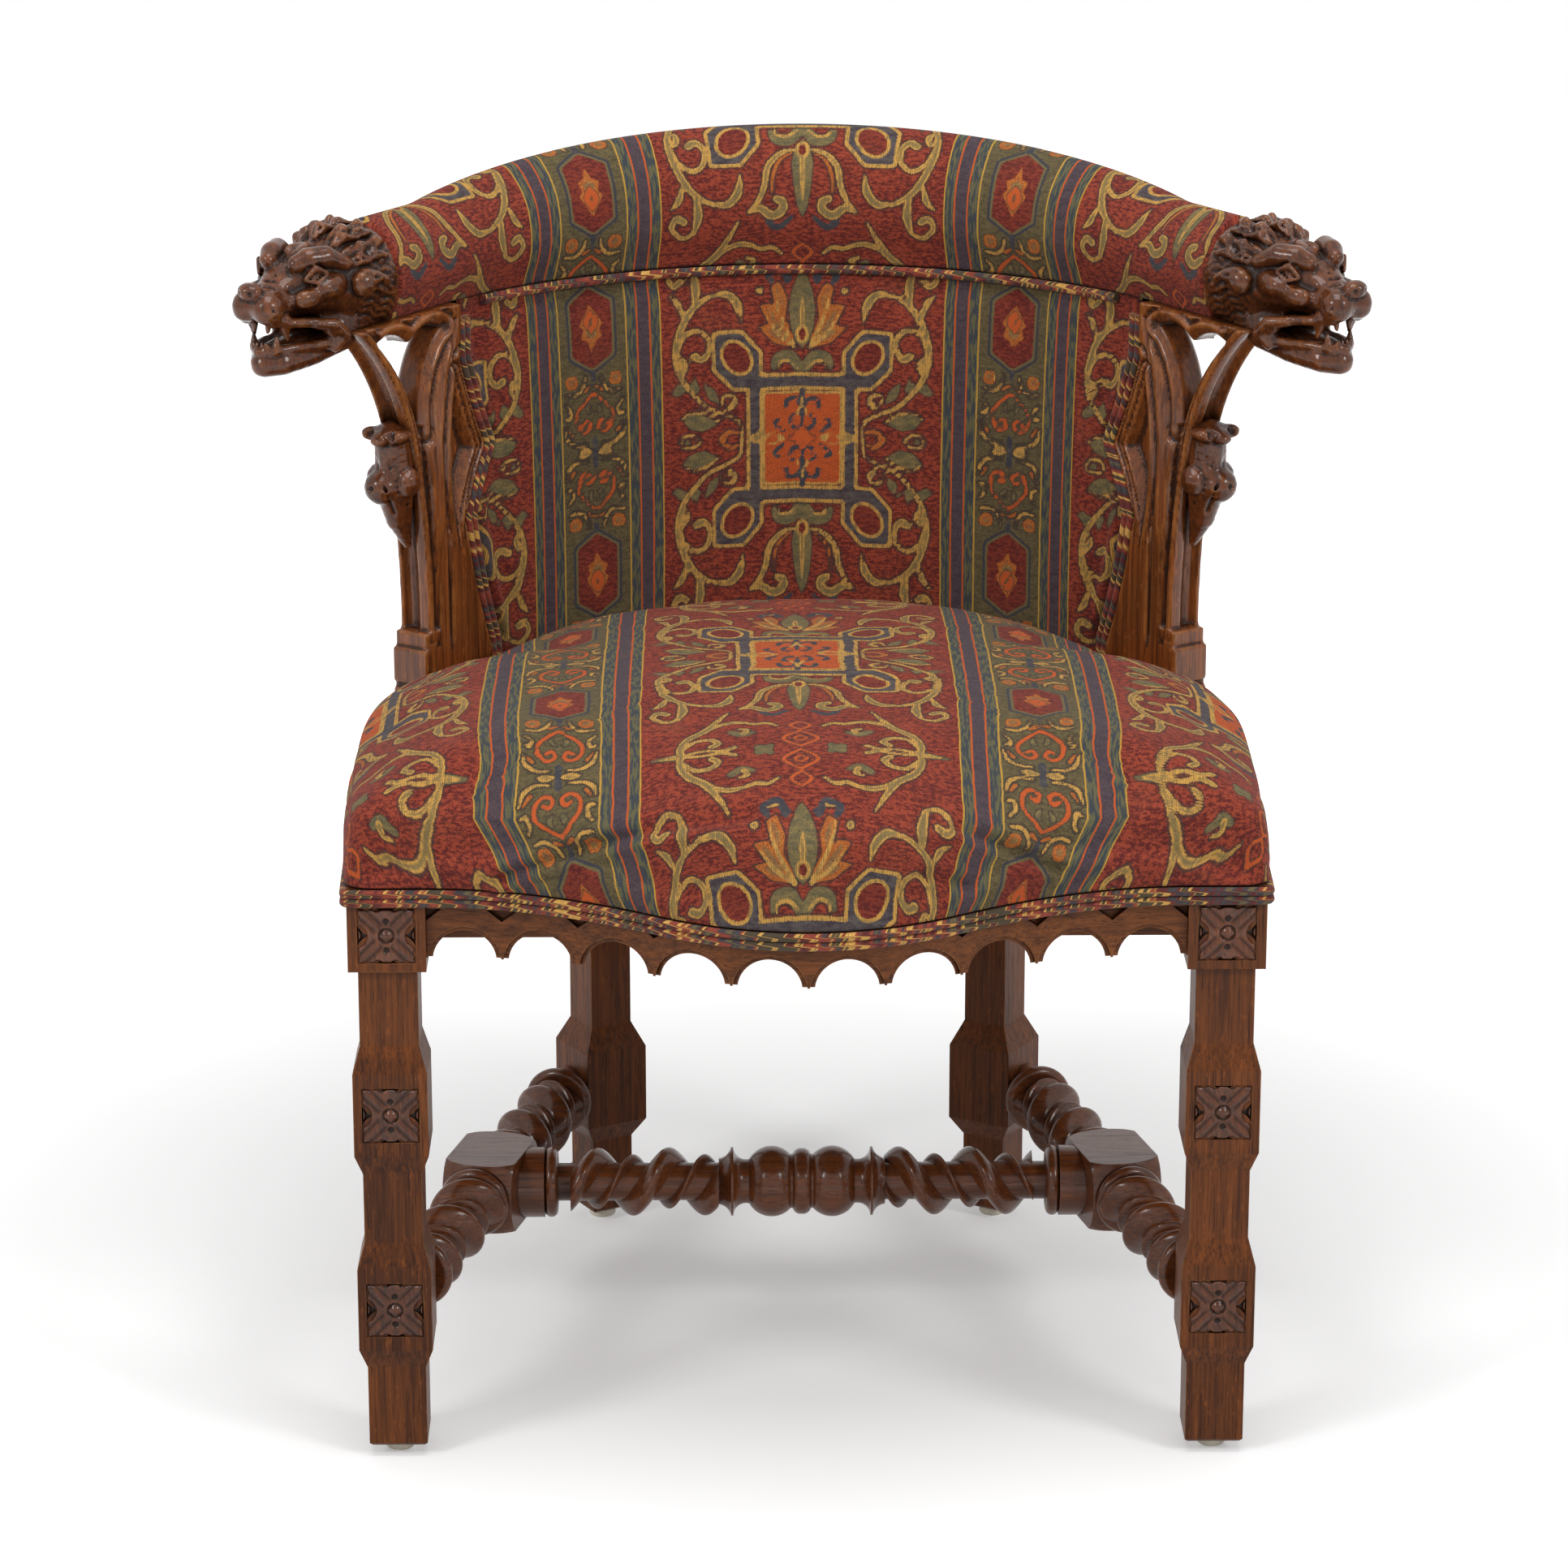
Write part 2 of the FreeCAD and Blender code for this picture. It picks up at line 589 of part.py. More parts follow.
def front_apron():
    """Bowed board with round arches, a sunk band round each and sunk triangles between them."""
    pitch, middles = arch_middles()
    radius = math.hypot((pitch - CUSP_WIDTH) / 2, ARCH_SINK)
    arch_z = APRON_BOTTOM - ARCH_SINK
    start_y = APRON_SET_BACK - BOW_DEPTH - ARCH_EDGE_DEPTH
    reach = BOW_DEPTH + APRON_THICK + 2 * ARCH_EDGE_DEPTH
    way = Vector(0, 1, 0)
    arches = [Part.makeCylinder(radius, reach, Vector(x, start_y, arch_z), way)
              for x in middles]
    rings = [Part.makeCylinder(radius + ARCH_EDGE, reach, Vector(x, start_y, arch_z), way)
             for x in middles]
    top = RAIL_TOP - SPANDREL_DROP
    triangles = []
    for i in range(ARCH_COUNT + 1):
        x = -HALF_FRONT + pitch * i
        low = Vector(x, start_y, top - SPANDREL_HEIGHT)
        left = Vector(x - SPANDREL_WIDTH / 2, start_y, top)
        right = Vector(x + SPANDREL_WIDTH / 2, start_y, top)
        edges = [line(low, left), line(left, right), line(right, low)]
        triangles.append(extruded(edges, way * reach))
    board = bowed_slab(APRON_THICK).cut(arches)
    board = board.cut(bowed_slab(ARCH_EDGE_DEPTH).common(rings))
    board = board.cut(bowed_slab(SPANDREL_DEPTH).common(triangles))
    return board.fuse([apron_tenon(), mirrored(apron_tenon())]).removeSplitter()


def front_seat_rail():
    front, back = inner_rail_y()
    rail = box(-HALF_FRONT, HALF_FRONT, front, back, RAIL_BOTTOM, RAIL_TOP)
    return rail.fuse([inner_rail_tenon(), mirrored(inner_rail_tenon())]).removeSplitter()


def side_rail_front_tenon(grow=0.0):
    middle = side_point(RAIL_RADIUS - RAIL_THICK / 2, LEG_BACK).x
    half = TENON_THICK / 2 + grow
    return box(middle - half, middle + half, LEG_BACK - TENON_DEPTH - grow,
               LEG_BACK + TENON_SHOULDER, RAIL_BOTTOM + TENON_SHOULDER - grow,
               RAIL_TOP - TENON_SHOULDER + grow)


def leg_side_tenon(rail_radius, side, grow):
    """A tenon of a curved rail in the side of the left rear leg, side 1 towards the back."""
    offset = rail_radius - RAIL_THICK / 2 - REAR_LEG_RADIUS
    half = TENON_THICK / 2 + grow
    inside = REAR_NECK / 2 - TENON_DEPTH - grow
    outside = REAR_NECK / 2 + TENON_SHOULDER
    block = box(inside, outside, offset - half, offset + half,
                RAIL_BOTTOM + TENON_SHOULDER - grow, RAIL_TOP - TENON_SHOULDER + grow)
    if side < 0:
        block = mirrored(block)
    return placed(block, rear_leg_place())


def side_rail_rear_tenon(grow=0.0):
    return leg_side_tenon(RAIL_RADIUS, -1, grow)


def rear_rail_tenon(grow=0.0):
    return leg_side_tenon(REAR_RAIL_RADIUS, 1, grow)


def side_rail_board():
    """The left side rail before its tenons: straight from the front leg, then round the tub."""
    inner = RAIL_RADIUS - RAIL_THICK
    half = (SIDE_ANGLE + REAR_LEG_ANGLE) / 2
    z = RAIL_BOTTOM
    edges = [line(side_point(RAIL_RADIUS, LEG_BACK, z), polar(RAIL_RADIUS, SIDE_ANGLE, z)),
             arc(polar(RAIL_RADIUS, SIDE_ANGLE, z), polar(RAIL_RADIUS, half, z),
                 polar(RAIL_RADIUS, REAR_LEG_ANGLE, z)),
             line(polar(RAIL_RADIUS, REAR_LEG_ANGLE, z), polar(inner, REAR_LEG_ANGLE, z)),
             arc(polar(inner, REAR_LEG_ANGLE, z), polar(inner, half, z),
                 polar(inner, SIDE_ANGLE, z)),
             line(polar(inner, SIDE_ANGLE, z), side_point(inner, LEG_BACK, z)),
             line(side_point(inner, LEG_BACK, z), side_point(RAIL_RADIUS, LEG_BACK, z))]
    return extruded(edges, UP * (RAIL_TOP - RAIL_BOTTOM)).cut(rear_leg_blank())


def side_rail():
    tenons = [side_rail_front_tenon(), side_rail_rear_tenon()]
    return side_rail_board().fuse(tenons).cut(panel_screw_set(JOINT_GAP)).removeSplitter()


def rear_rail():
    inner = REAR_RAIL_RADIUS - RAIL_THICK
    rail = ring_sector(inner, REAR_RAIL_RADIUS, REAR_LEG_ANGLE, RAIL_BOTTOM, RAIL_TOP)
    blank = rear_leg_blank()
    rail = rail.cut([blank, mirrored(blank)])
    return rail.fuse([rear_rail_tenon(), mirrored(rear_rail_tenon())]).removeSplitter()


# Stretchers

def twist(length, right_handed):
    """Barley twist along Z: a fat round strand and a thin ridge opposite it, winding together."""
    sweep = math.radians(STRAND_SWEEP)
    ridge = math.radians(RIDGE_SWEEP)
    fat_top = Vector(FAT_OFFSET + FAT_STRAND * math.cos(sweep), FAT_STRAND * math.sin(sweep), 0)
    fat_low = Vector(fat_top.x, -fat_top.y, 0)
    thin_top = Vector(THIN_STRAND * math.cos(ridge) - THIN_OFFSET, THIN_STRAND * math.sin(ridge), 0)
    thin_low = Vector(thin_top.x, -thin_top.y, 0)
    groove_top = (fat_top + thin_top) / 2 - Vector(0, GROOVE_DEPTH, 0)
    groove_low = Vector(groove_top.x, -groove_top.y, 0)
    section = Part.Wire([arc(fat_low, Vector(FAT_OFFSET + FAT_STRAND, 0, 0), fat_top),
                         arc(fat_top, groove_top, thin_top),
                         arc(thin_top, Vector(-THIN_OFFSET - THIN_STRAND, 0, 0), thin_low),
                         arc(thin_low, groove_low, fat_low)])
    spine = Part.Wire([line(Vector(0, 0, 0), UP * length)])
    guide = Part.makeLongHelix(TWIST_PITCH, length, COLLAR_RADIUS, 0, not right_handed)
    sweep_maker = Part.BRepOffsetAPI.MakePipeShell(spine)
    sweep_maker.setAuxiliarySpine(guide, True, 0)
    sweep_maker.add(section, False, False)
    sweep_maker.build()
    sweep_maker.makeSolid()
    return sweep_maker.shape()


def collar(z):
    """A half-round ring with a turned neck, from z upwards."""
    edge = COLLAR_RADIUS - COLLAR_LENGTH / 2
    return lathe([(z, edge), (z + COLLAR_LENGTH, edge, z + COLLAR_LENGTH / 2, COLLAR_RADIUS)])


def side_axis():
    """Axis of the left side stretcher: middle of the front leg to the side of the rear one."""
    turn = math.radians(REAR_LEG_ANGLE)
    front = Vector(-LEG_SPREAD, TOP_BLOCK / 2, LOW_BLOCK_Z)
    rear_middle = polar(REAR_LEG_RADIUS, REAR_LEG_ANGLE, LOW_BLOCK_Z)
    rear = rear_middle + Vector(-math.cos(turn), -math.sin(turn), 0) * (BLOCK / 2)
    way = (rear - front).normalize()
    middle = front + way * ((STRETCHER_BLOCK_Y - front.y) / way.y)
    return front, middle, rear, way


def side_tenon_front(grow=0.0):
    front, middle, rear, way = side_axis()
    shoulder = BLOCK / 2 / way.y
    base = front + way * (shoulder - ROUND_TENON_DEPTH - grow)
    return Part.makeCylinder(ROUND_TENON + grow, ROUND_TENON_DEPTH + COLLAR_LENGTH, base, way)


def side_tenon_rear(grow=0.0):
    front, middle, rear, way = side_axis()
    base = rear + way * (ROUND_TENON_DEPTH + grow)
    return Part.makeCylinder(ROUND_TENON + grow, ROUND_TENON_DEPTH + COLLAR_LENGTH, base, way * -1)


def pummel():
    """The square block in a stretcher, its ends turned round. Drawn along Z, centred."""
    half = STRETCHER_BLOCK_LENGTH / 2
    size = STRETCHER_BLOCK / 2
    flat = half - PUMMEL_EASE
    corner = size * math.sqrt(2) + PUMMEL_STEP
    end = size - PUMMEL_STEP
    share, radius = PUMMEL_BEND
    bend = half - PUMMEL_EASE * share
    core = lathe([(-half, end), (-flat, corner, -bend, radius), (flat, corner), (half, end, bend, radius)])
    return core.common(box(-size, size, -size, size, -half, half))


def cross_tenon(grow=0.0):
    """Round tenon of the cross stretcher in the block of the left side stretcher."""
    front, middle, rear, way = side_axis()
    face = middle.x + STRETCHER_BLOCK / 2 / way.y
    base = Vector(face - ROUND_TENON_DEPTH - grow, middle.y, LOW_BLOCK_Z)
    return Part.makeCylinder(ROUND_TENON + grow, ROUND_TENON_DEPTH + COLLAR_LENGTH, base,
                             Vector(1, 0, 0))


def side_stretcher_solid():
    """The left side stretcher: a twist of each hand, a square block between, ends cut to the legs."""
    front, middle, rear, way = side_axis()
    half = STRETCHER_BLOCK_LENGTH / 2
    before = (middle - front).Length - half
    after = (rear - middle).Length - half
    pieces = [along(pummel(), middle, way)]
    for length, right_handed, start, direction in ((before, True, middle - way * half, way * -1),
                                                   (after, False, middle + way * half, way)):
        strand = min(SIDE_TWIST_LENGTH, length - 2 * COLLAR_LENGTH)
        plain_end = length + ROUND_TENON
        run = [collar(0), Part.makeCylinder(TURNED_NECK, plain_end)]
        twisted = twist(strand, right_handed)
        twisted.translate(UP * COLLAR_LENGTH)
        run += [twisted, collar(COLLAR_LENGTH + strand)]
        pieces += [along(piece, start, direction) for piece in run]
    solid = pieces[0].fuse(pieces[1:])
    return solid.cut([front_leg_blank(), rear_leg_blank()])


def side_stretcher():
    tenons = [side_tenon_front(), side_tenon_rear()]
    return side_stretcher_solid().fuse(tenons).cut(cross_tenon(JOINT_GAP)).removeSplitter()


def cross_half():
    """Half of the cross stretcher along Z from the middle, without its twist, and the twist start."""
    ball_start = CENTRE_RING + QUIRK
    ball_end = ball_start + BALL_LENGTH
    cove_end = ball_end + COVE_LENGTH
    disc_end = cove_end + DISC_LENGTH
    ring_share, ring_bend = CENTRE_RING_BEND
    cove_share, cove_bend = COVE_BEND
    disc_share, disc_bend = DISC_BEND
    steps = [(0, CENTRE_RING_RADIUS),
             (CENTRE_RING, CENTRE_RING_EDGE, CENTRE_RING * ring_share, ring_bend),
             (ball_start, CENTRE_RING_EDGE),
             (ball_end, COVE_RADIUS, ball_start + BALL_LENGTH * BALL_FULL, BALL_RADIUS),
             (cove_end, DISC_RADIUS, ball_end + COVE_LENGTH * cove_share, cove_bend),
             (cove_end + QUIRK, DISC_RADIUS),
             (disc_end, DISC_FOOT, cove_end + DISC_LENGTH * disc_share, disc_bend)]
    return lathe(steps), disc_end


def cross_stretcher():
    front, middle, rear, way = side_axis()
    centre = Vector(0, middle.y, LOW_BLOCK_Z)
    turned, twist_start = cross_half()
    drum_end = -middle.x
    drum_start = drum_end - STRETCHER_BLOCK / 2 / way.y - DRUM_LENGTH
    bead_start = drum_start - COLLAR_LENGTH
    twist_length = bead_start - TWIST_NECK - twist_start
    drum = Part.makeCylinder(COLLAR_RADIUS, drum_end - drum_start, UP * drum_start)
    neck = Part.makeCylinder(TURNED_NECK, drum_start, Vector(0, 0, 0))
    pieces = []
    for way_x, right_handed in ((-1, False), (1, True)):
        twisted = twist(twist_length, right_handed)
        twisted.translate(UP * twist_start)
        run = [turned, twisted, collar(bead_start), drum, neck]
        pieces += [along(piece, centre, Vector(way_x, 0, 0)) for piece in run]
    solid = pieces[0].fuse(pieces[1:])
    left = side_stretcher_solid()
    solid = solid.cut([left, mirrored(left)])
    return solid.fuse([cross_tenon(), mirrored(cross_tenon())]).removeSplitter()


# Arm panels

def panel_axes():
    turn = math.radians(PANEL_ANGLE)
    forward = Vector(-math.cos(turn), -math.sin(turn), 0)
    outward = Vector(-math.sin(turn), math.cos(turn), 0)
    return forward, outward


def panel_place():
    """Left panel: local x runs forward along the board, local y towards the sitter, z up."""
    forward, outward = panel_axes()
    origin = Vector(0, TUB_Y, 0) + outward * PANEL_RADIUS + forward * PANEL_BACK
    return frame_placement(forward, outward * -1, origin)


def on_board(x, z, y=0.0):
    return Vector(x, y, z)


def board_points(*pairs):
    return [on_board(x, z) for x, z in pairs]


def panel_front_edges():
    foot, bend, middle, curve, top = board_points(POST_FOOT, POST_BEND, POST_MIDDLE, POST_CURVE,
                                                  POST_TOP)
    return [arc(foot, bend, middle), arc(middle, curve, top)]


def panel_inner_edges():
    foot, swell, top, draw, cusp, rise, head = board_points(
        EDGE_FOOT, EDGE_SWELL, EDGE_TOP, EDGE_DRAW, EDGE_CUSP, EDGE_RISE, EDGE_HEAD)
    return [arc(foot, swell, top), arc(top, draw, cusp), arc(cusp, rise, head)]


def panel_opening():
    foot, left, right, top_left, top_right, cusp = board_points(
        OPENING_FOOT, OPENING_LEFT, OPENING_RIGHT, OPENING_TOP_LEFT, OPENING_TOP_RIGHT, OPENING_CUSP)
    rise = Vector(0, 0, OPENING_FOIL / 2)
    return [arc(foot, right, top_right), arc(top_right, (top_right + cusp) / 2 + rise, cusp),
            arc(cusp, (cusp + top_left) / 2 + rise, top_left), arc(top_left, left, foot)]


def panel_sinking():
    head, right, cusp, draw, foot, left = board_points(
        SUNK_HEAD, SUNK_RIGHT, SUNK_CUSP, SUNK_DRAW, SUNK_FOOT, SUNK_LEFT)
    return [arc(head, right, cusp), arc(cusp, draw, foot), arc(foot, left, head)]


def arm_panel_board():
    """Pierced board with a sunk spandrel, cusped edges and a hollow down its front edge."""
    front = panel_front_edges()
    inner = panel_inner_edges()
    foot_back = on_board(EDGE_FOOT[0], PANEL_FOOT)
    foot_front = on_board(POST_FOOT[0], PANEL_FOOT)
    head_back = on_board(EDGE_HEAD[0], CREST_BOTTOM)
    edges = [line(foot_back, foot_front), line(foot_front, on_board(*POST_FOOT))] + front
    edges += [line(on_board(*POST_TOP), head_back), line(head_back, on_board(*EDGE_HEAD))]
    edges += list(reversed(inner)) + [line(on_board(*EDGE_FOOT), foot_back)]
    outline = Part.Wire(Part.__sortEdges__(edges))
    out = Vector(0, -PANEL_THICK, 0)
    board = Part.Face(outline).extrude(out)
    cuts = [extruded(panel_opening(), out), extruded(panel_sinking(), Vector(0, -SUNK_DEPTH, 0))]
    middle = out / 2
    hollow_path = [edge.translated(middle) for edge in front]
    board = board.cut(cuts).cut(cord(hollow_path, HOLLOW_RADIUS))
    plinth = box(POST_FOOT[0] - PLINTH_LENGTH, POST_FOOT[0] + PLINTH_FORWARD,
                 -PANEL_THICK, 0, PANEL_FOOT, PLINTH_TOP)
    ease = box(POST_FOOT[0], POST_FOOT[0] + 2 * PLINTH_FORWARD, -PLINTH_LENGTH, PLINTH_LENGTH,
               -PLINTH_FORWARD, PLINTH_FORWARD)
    ease.rotate(on_board(POST_FOOT[0], 0), Vector(0, 1, 0), 45)
    ease.translate(Vector(PLINTH_FORWARD, -PANEL_THICK / 2, PLINTH_TOP))
    return board.fuse(plinth.cut(ease)).removeSplitter()


def arm_panel():
    """The left panel in place, rebated over the seat rail, bored for its dowels and screws."""
    board = placed(arm_panel_board(), panel_place())
    return board.cut([side_rail_board(), panel_dowel_set(JOINT_GAP), panel_screw_set(JOINT_GAP)])


def panel_dowel_set(grow=0.0):
    """Two upright dowels between the left panel and the arm rail above it."""
    outward = (FRAME_RADIUS + PANEL_RADIUS + PANEL_THICK) / 2 - PANEL_RADIUS
    length = DOWEL_LENGTH + 2 * grow
    start = CREST_BOTTOM - length / 2
    seats = [on_board(EDGE_HEAD[0] + 2 * DOWEL_RADIUS, start, -outward),
             on_board(ARM_END - 3 * DOWEL_RADIUS, start, -outward)]
    pins = [Part.makeCylinder(PANEL_DOWEL_RADIUS + grow, length, seat) for seat in seats]
    return placed(Part.makeCompound(pins), panel_place())


def panel_screw_set(grow=0.0):
    """Two screws from outside through the lapped foot of the left panel into the rail."""
    middle = (RAIL_TOP + PANEL_FOOT) / 2
    screws = []
    for x in (EDGE_FOOT[0] + PLINTH_LENGTH, POST_FOOT[0] - PLINTH_LENGTH):
        head = on_board(x, middle, -PANEL_THICK)
        way = Vector(0, 1, 0)
        shank = Part.makeCylinder(SCREW_RADIUS + grow, SCREW_LENGTH + grow, head, way)
        cone = Part.makeCone(SCREW_HEAD + grow, SCREW_RADIUS + grow, SCREW_HEAD, head, way)
        screws.append(shank.fuse(cone))
    return placed(Part.makeCompound(screws), panel_place())


def ellipsoid(centre, rx, ry, rz):
    scale = Matrix()
    scale.scale(Vector(rx, ry, rz))
    shape = Part.makeSphere(1.0).transformGeometry(scale)
    shape.translate(centre)
    return shape


def arm_crocket():
    """Leaf and ball carving on the front edge of the left panel, fitted round it."""
    ball = ellipsoid(on_board(*CROCKET_BALL, -CROCKET_DEEP), CROCKET_RADIUS, CROCKET_WIDE, CROCKET_RADIUS)
    leaf = ellipsoid(on_board(*CROCKET_LEAF, -CROCKET_DEEP), CROCKET_LEAF_REACH, CROCKET_WIDE,
                     CROCKET_LEAF_HALF)
    stalk = Part.makeCylinder(CROCKET_STALK, CROCKET_LEAF[1] - CROCKET_BALL[1],
                              on_board(*CROCKET_BALL, -CROCKET_DEEP))
    whole = placed(ball.fuse([leaf, stalk]), panel_place())
    return max(whole.cut(placed(arm_panel_board(), panel_place())).Solids, key=lambda s: s.Volume)


# Crest and heads

def crest_point(radius, z, angle, extra=0.0):
    """A point on the crest: round the tub, then straight on past the arm panel's touching point."""
    point = polar(radius, angle, z)
    if extra:
        forward, outward = panel_axes()
        point = point + Vector(math.copysign(1, angle) * forward.x, forward.y, 0) * extra
    return point


def crest_section(angle, extra=0.0):
    share = min(abs(angle) / PANEL_ANGLE, 1.0) ** 2
    height = CREST_HEIGHT - CREST_END_DROP * share

    def at(radius, part):
        return crest_point(radius, CREST_BOTTOM + height * part, angle, extra)

    low_in = at(CREST_IN, 0)
    low_out = at(CREST_OUT, 0)
    rise, swell = CREST_IN_SHOULDER
    shoulder_in = at(CREST_IN - CREST_SWELL * swell, rise)
    rise, swell = CREST_OUT_SHOULDER
    shoulder_out = at(CREST_OUT + CREST_SWELL * swell, rise)
    belly_in = at(CREST_IN - CREST_SWELL, CREST_IN_BELLY)
    belly_out = at(CREST_OUT + CREST_SWELL, CREST_OUT_BELLY)
    top = at((CREST_IN + CREST_OUT) / 2, 1)
    return Part.Wire([line(low_out, low_in), arc(low_in, belly_in, shoulder_in),
                      arc(shoulder_in, top, shoulder_out), arc(shoulder_out, belly_out, low_out)])


def core_board(grow=0.0):
    """The wood core from the middle of the back to the left arm end, in one piece."""
    inner = FRAME_RADIUS - grow
    outer = FRAME_RADIUS + CORE_THICK + grow
    z = CREST_BOTTOM - grow
    half = PANEL_ANGLE / 2
    run = ARM_RUN + grow
    edges = [arc(polar(outer, 0, z), polar(outer, half, z), polar(outer, PANEL_ANGLE, z)),
             line(polar(outer, PANEL_ANGLE, z), crest_point(outer, z, PANEL_ANGLE, run)),
             line(crest_point(outer, z, PANEL_ANGLE, run), crest_point(inner, z, PANEL_ANGLE, run)),
             line(crest_point(inner, z, PANEL_ANGLE, run), polar(inner, PANEL_ANGLE, z)),
             arc(polar(inner, PANEL_ANGLE, z), polar(inner, half, z), polar(inner, 0, z)),
             line(polar(inner, 0, z), polar(outer, 0, z))]
    return extruded(edges, UP * (CORE_HEIGHT + 2 * grow))


def crest_rail():
    outer = FRAME_RADIUS + CORE_THICK
    rail = ring_sector(FRAME_RADIUS, outer, CORE_SPLICE, CREST_BOTTOM, CREST_BOTTOM + CORE_HEIGHT)
    return rail.cut([crest_dowel_set(JOINT_GAP), mirrored(crest_dowel_set(JOINT_GAP))])


def arm_rail():
    outer = FRAME_RADIUS + CORE_THICK
    clear = CORE_THICK / 2
    middle_piece = ring_sector(FRAME_RADIUS - clear, outer + clear, CORE_SPLICE, CREST_BOTTOM - clear,
                               CREST_BOTTOM + CORE_HEIGHT + clear)
    holes = [crest_dowel_set(JOINT_GAP), panel_dowel_set(JOINT_GAP), head_dowel(JOINT_GAP)]
    return core_board().cut([middle_piece] + holes)


def crest_dowel_set(grow=0.0):
    """Two dowels across the left splice of the crest core."""
    turn = math.radians(CORE_SPLICE)
    way = Vector(math.cos(turn), math.sin(turn), 0)
    length = DOWEL_LENGTH + 2 * grow
    pins = []
    for share in CREST_DOWEL_HEIGHTS:
        seat = polar(FRAME_RADIUS + CORE_THICK / 2, CORE_SPLICE, CREST_BOTTOM + CORE_HEIGHT * share)
        pins.append(Part.makeCylinder(DOWEL_RADIUS + grow, length, seat - way * (length / 2), way))
    return Part.makeCompound(pins)


def crest_pad():
    """The padded roll, fitted over the top of the wood core."""
    turns = [PANEL_ANGLE * (1 - 2 * i / (CREST_STATIONS - 1)) for i in range(CREST_STATIONS)]
    sections = [crest_section(PANEL_ANGLE, ARM_RUN), crest_section(PANEL_ANGLE, ARM_RUN / 2)]
    sections += [crest_section(angle) for angle in turns]
    sections += [crest_section(-PANEL_ANGLE, ARM_RUN / 2), crest_section(-PANEL_ANGLE, ARM_RUN)]
    roll = Part.makeLoft(sections, True, False)
    core = core_board(SOFT_GAP)
    return roll.cut([core, mirrored(core)])


def crest_piping():
    radius = PAD_RADIUS_TOP - CREST_CORD_RADIUS - SOFT_GAP
    z = CREST_BOTTOM - CREST_CORD_RADIUS - SOFT_GAP
    end = PANEL_ANGLE + math.degrees(math.atan2(PANEL_BACK, PANEL_RADIUS))
    return cord([arc(polar(radius, end, z), polar(radius, 0, z), polar(radius, -end, z))],
                CREST_CORD_RADIUS)


def head_place():
    """Left head: local x runs out of the arm along the snout, local y to its left, z up."""
    forward, outward = panel_axes()
    height = (CREST_HEIGHT - CREST_END_DROP) / 2
    origin = crest_point((CREST_IN + CREST_OUT) / 2, CREST_BOTTOM + height, PANEL_ANGLE, ARM_RUN)
    turn = math.radians(HEAD_TURN)
    pitch = math.radians(HEAD_PITCH)
    level = forward * math.cos(turn) + outward * math.sin(turn)
    x_axis = level * math.cos(pitch) - UP * math.sin(pitch)
    return frame_placement(x_axis, UP.cross(level), origin - UP * HEAD_DROP)


def head_dowel(grow=0.0):
    forward, outward = panel_axes()
    length = HEAD_DOWEL_LENGTH + 2 * grow
    z = CREST_BOTTOM + CORE_HEIGHT / 2
    seat = crest_point(FRAME_RADIUS + CORE_THICK / 2, z, PANEL_ANGLE, ARM_RUN - length / 2)
    return Part.makeCylinder(HEAD_DOWEL_RADIUS + grow, length, seat, forward)


def head_section(x, half_width, top, bottom):
    """A rounded closed section across the head at a distance x from the arm."""
    middle = (top + bottom) / 2
    half_height = (top - bottom) / 2
    points = []
    for step in range(HEAD_POINTS):
        turn = 2 * math.pi * step / HEAD_POINTS
        across = math.copysign(abs(math.cos(turn)) ** HEAD_SQUARE, math.cos(turn))
        upward = math.copysign(abs(math.sin(turn)) ** HEAD_SQUARE, math.sin(turn))
        points.append(Vector(x, half_width * across, middle + half_height * upward))
    curve = Part.BSplineCurve()
    curve.interpolate(points, PeriodicFlag=True)
    return Part.Wire([curve.toShape()])


def head_sizes(shares):
    return [share * HEAD_LENGTH for share in shares]


def head_lump(shares, side=1):
    along_x, aside, up, rx, ry, rz = head_sizes(shares)
    return ellipsoid(Vector(along_x, side * aside, up), rx, ry, rz)


def beast_head():
    """Carved head with an open mouth on the end of the left arm, seated on the panel's top."""
    skull = Part.makeLoft([head_section(*head_sizes(shares)) for shares in SKULL], True)
    jaw = Part.makeLoft([head_section(*head_sizes(shares)) for shares in JAW], True)
    lumps = [jaw, head_lump(NOSE), head_lump(TONGUE)]
    along_x, aside, up, radius, length = head_sizes(FANG)
    for side in (-1, 1):
        lumps += [head_lump(size, side) for size in (BROW, EAR, CHEEK)]
        root = Vector(along_x, side * aside, up)
        lumps.append(Part.makeCone(radius, radius * FANG_TIP, length, root, UP * -1))
    head = placed(skull.fuse(lumps), head_place())
    arm_room = arm_end_room()
    return head.cut([arm_room, arm_panel(), head_dowel(JOINT_GAP)])


def arm_end_room():
    """Everything behind the end of the left arm, where the head must not reach."""
    forward, outward = panel_axes()
    place = frame_placement(forward, outward * -1, crest_point(0, 0, PANEL_ANGLE, ARM_RUN))
    size = PANEL_RADIUS
    return placed(box(-size, 0, -2 * size, size, 0, 2 * CREST_BOTTOM), place)


# Back upholstery

def back_pad_section(angle):
    """Upright section of the back pad, crowned towards the sitter."""
    back = FRAME_RADIUS - CANVAS_THICK - SOFT_GAP
    low = RAIL_TOP + SOFT_GAP
    high = CREST_BOTTOM - SOFT_GAP
    middle = (PAD_RADIUS + PAD_RADIUS_TOP) / 2 - PAD_CROWN
    inner_low = polar(PAD_RADIUS, angle, low)
    inner_high = polar(PAD_RADIUS_TOP, angle, high)
    outer_low = polar(back, angle, low)
    outer_high = polar(back, angle, high)
    face = arc(inner_high, polar(middle, angle, (low + high) / 2), inner_low)
    return [line(inner_low, outer_low), line(outer_low, outer_high), line(outer_high, inner_high), face]


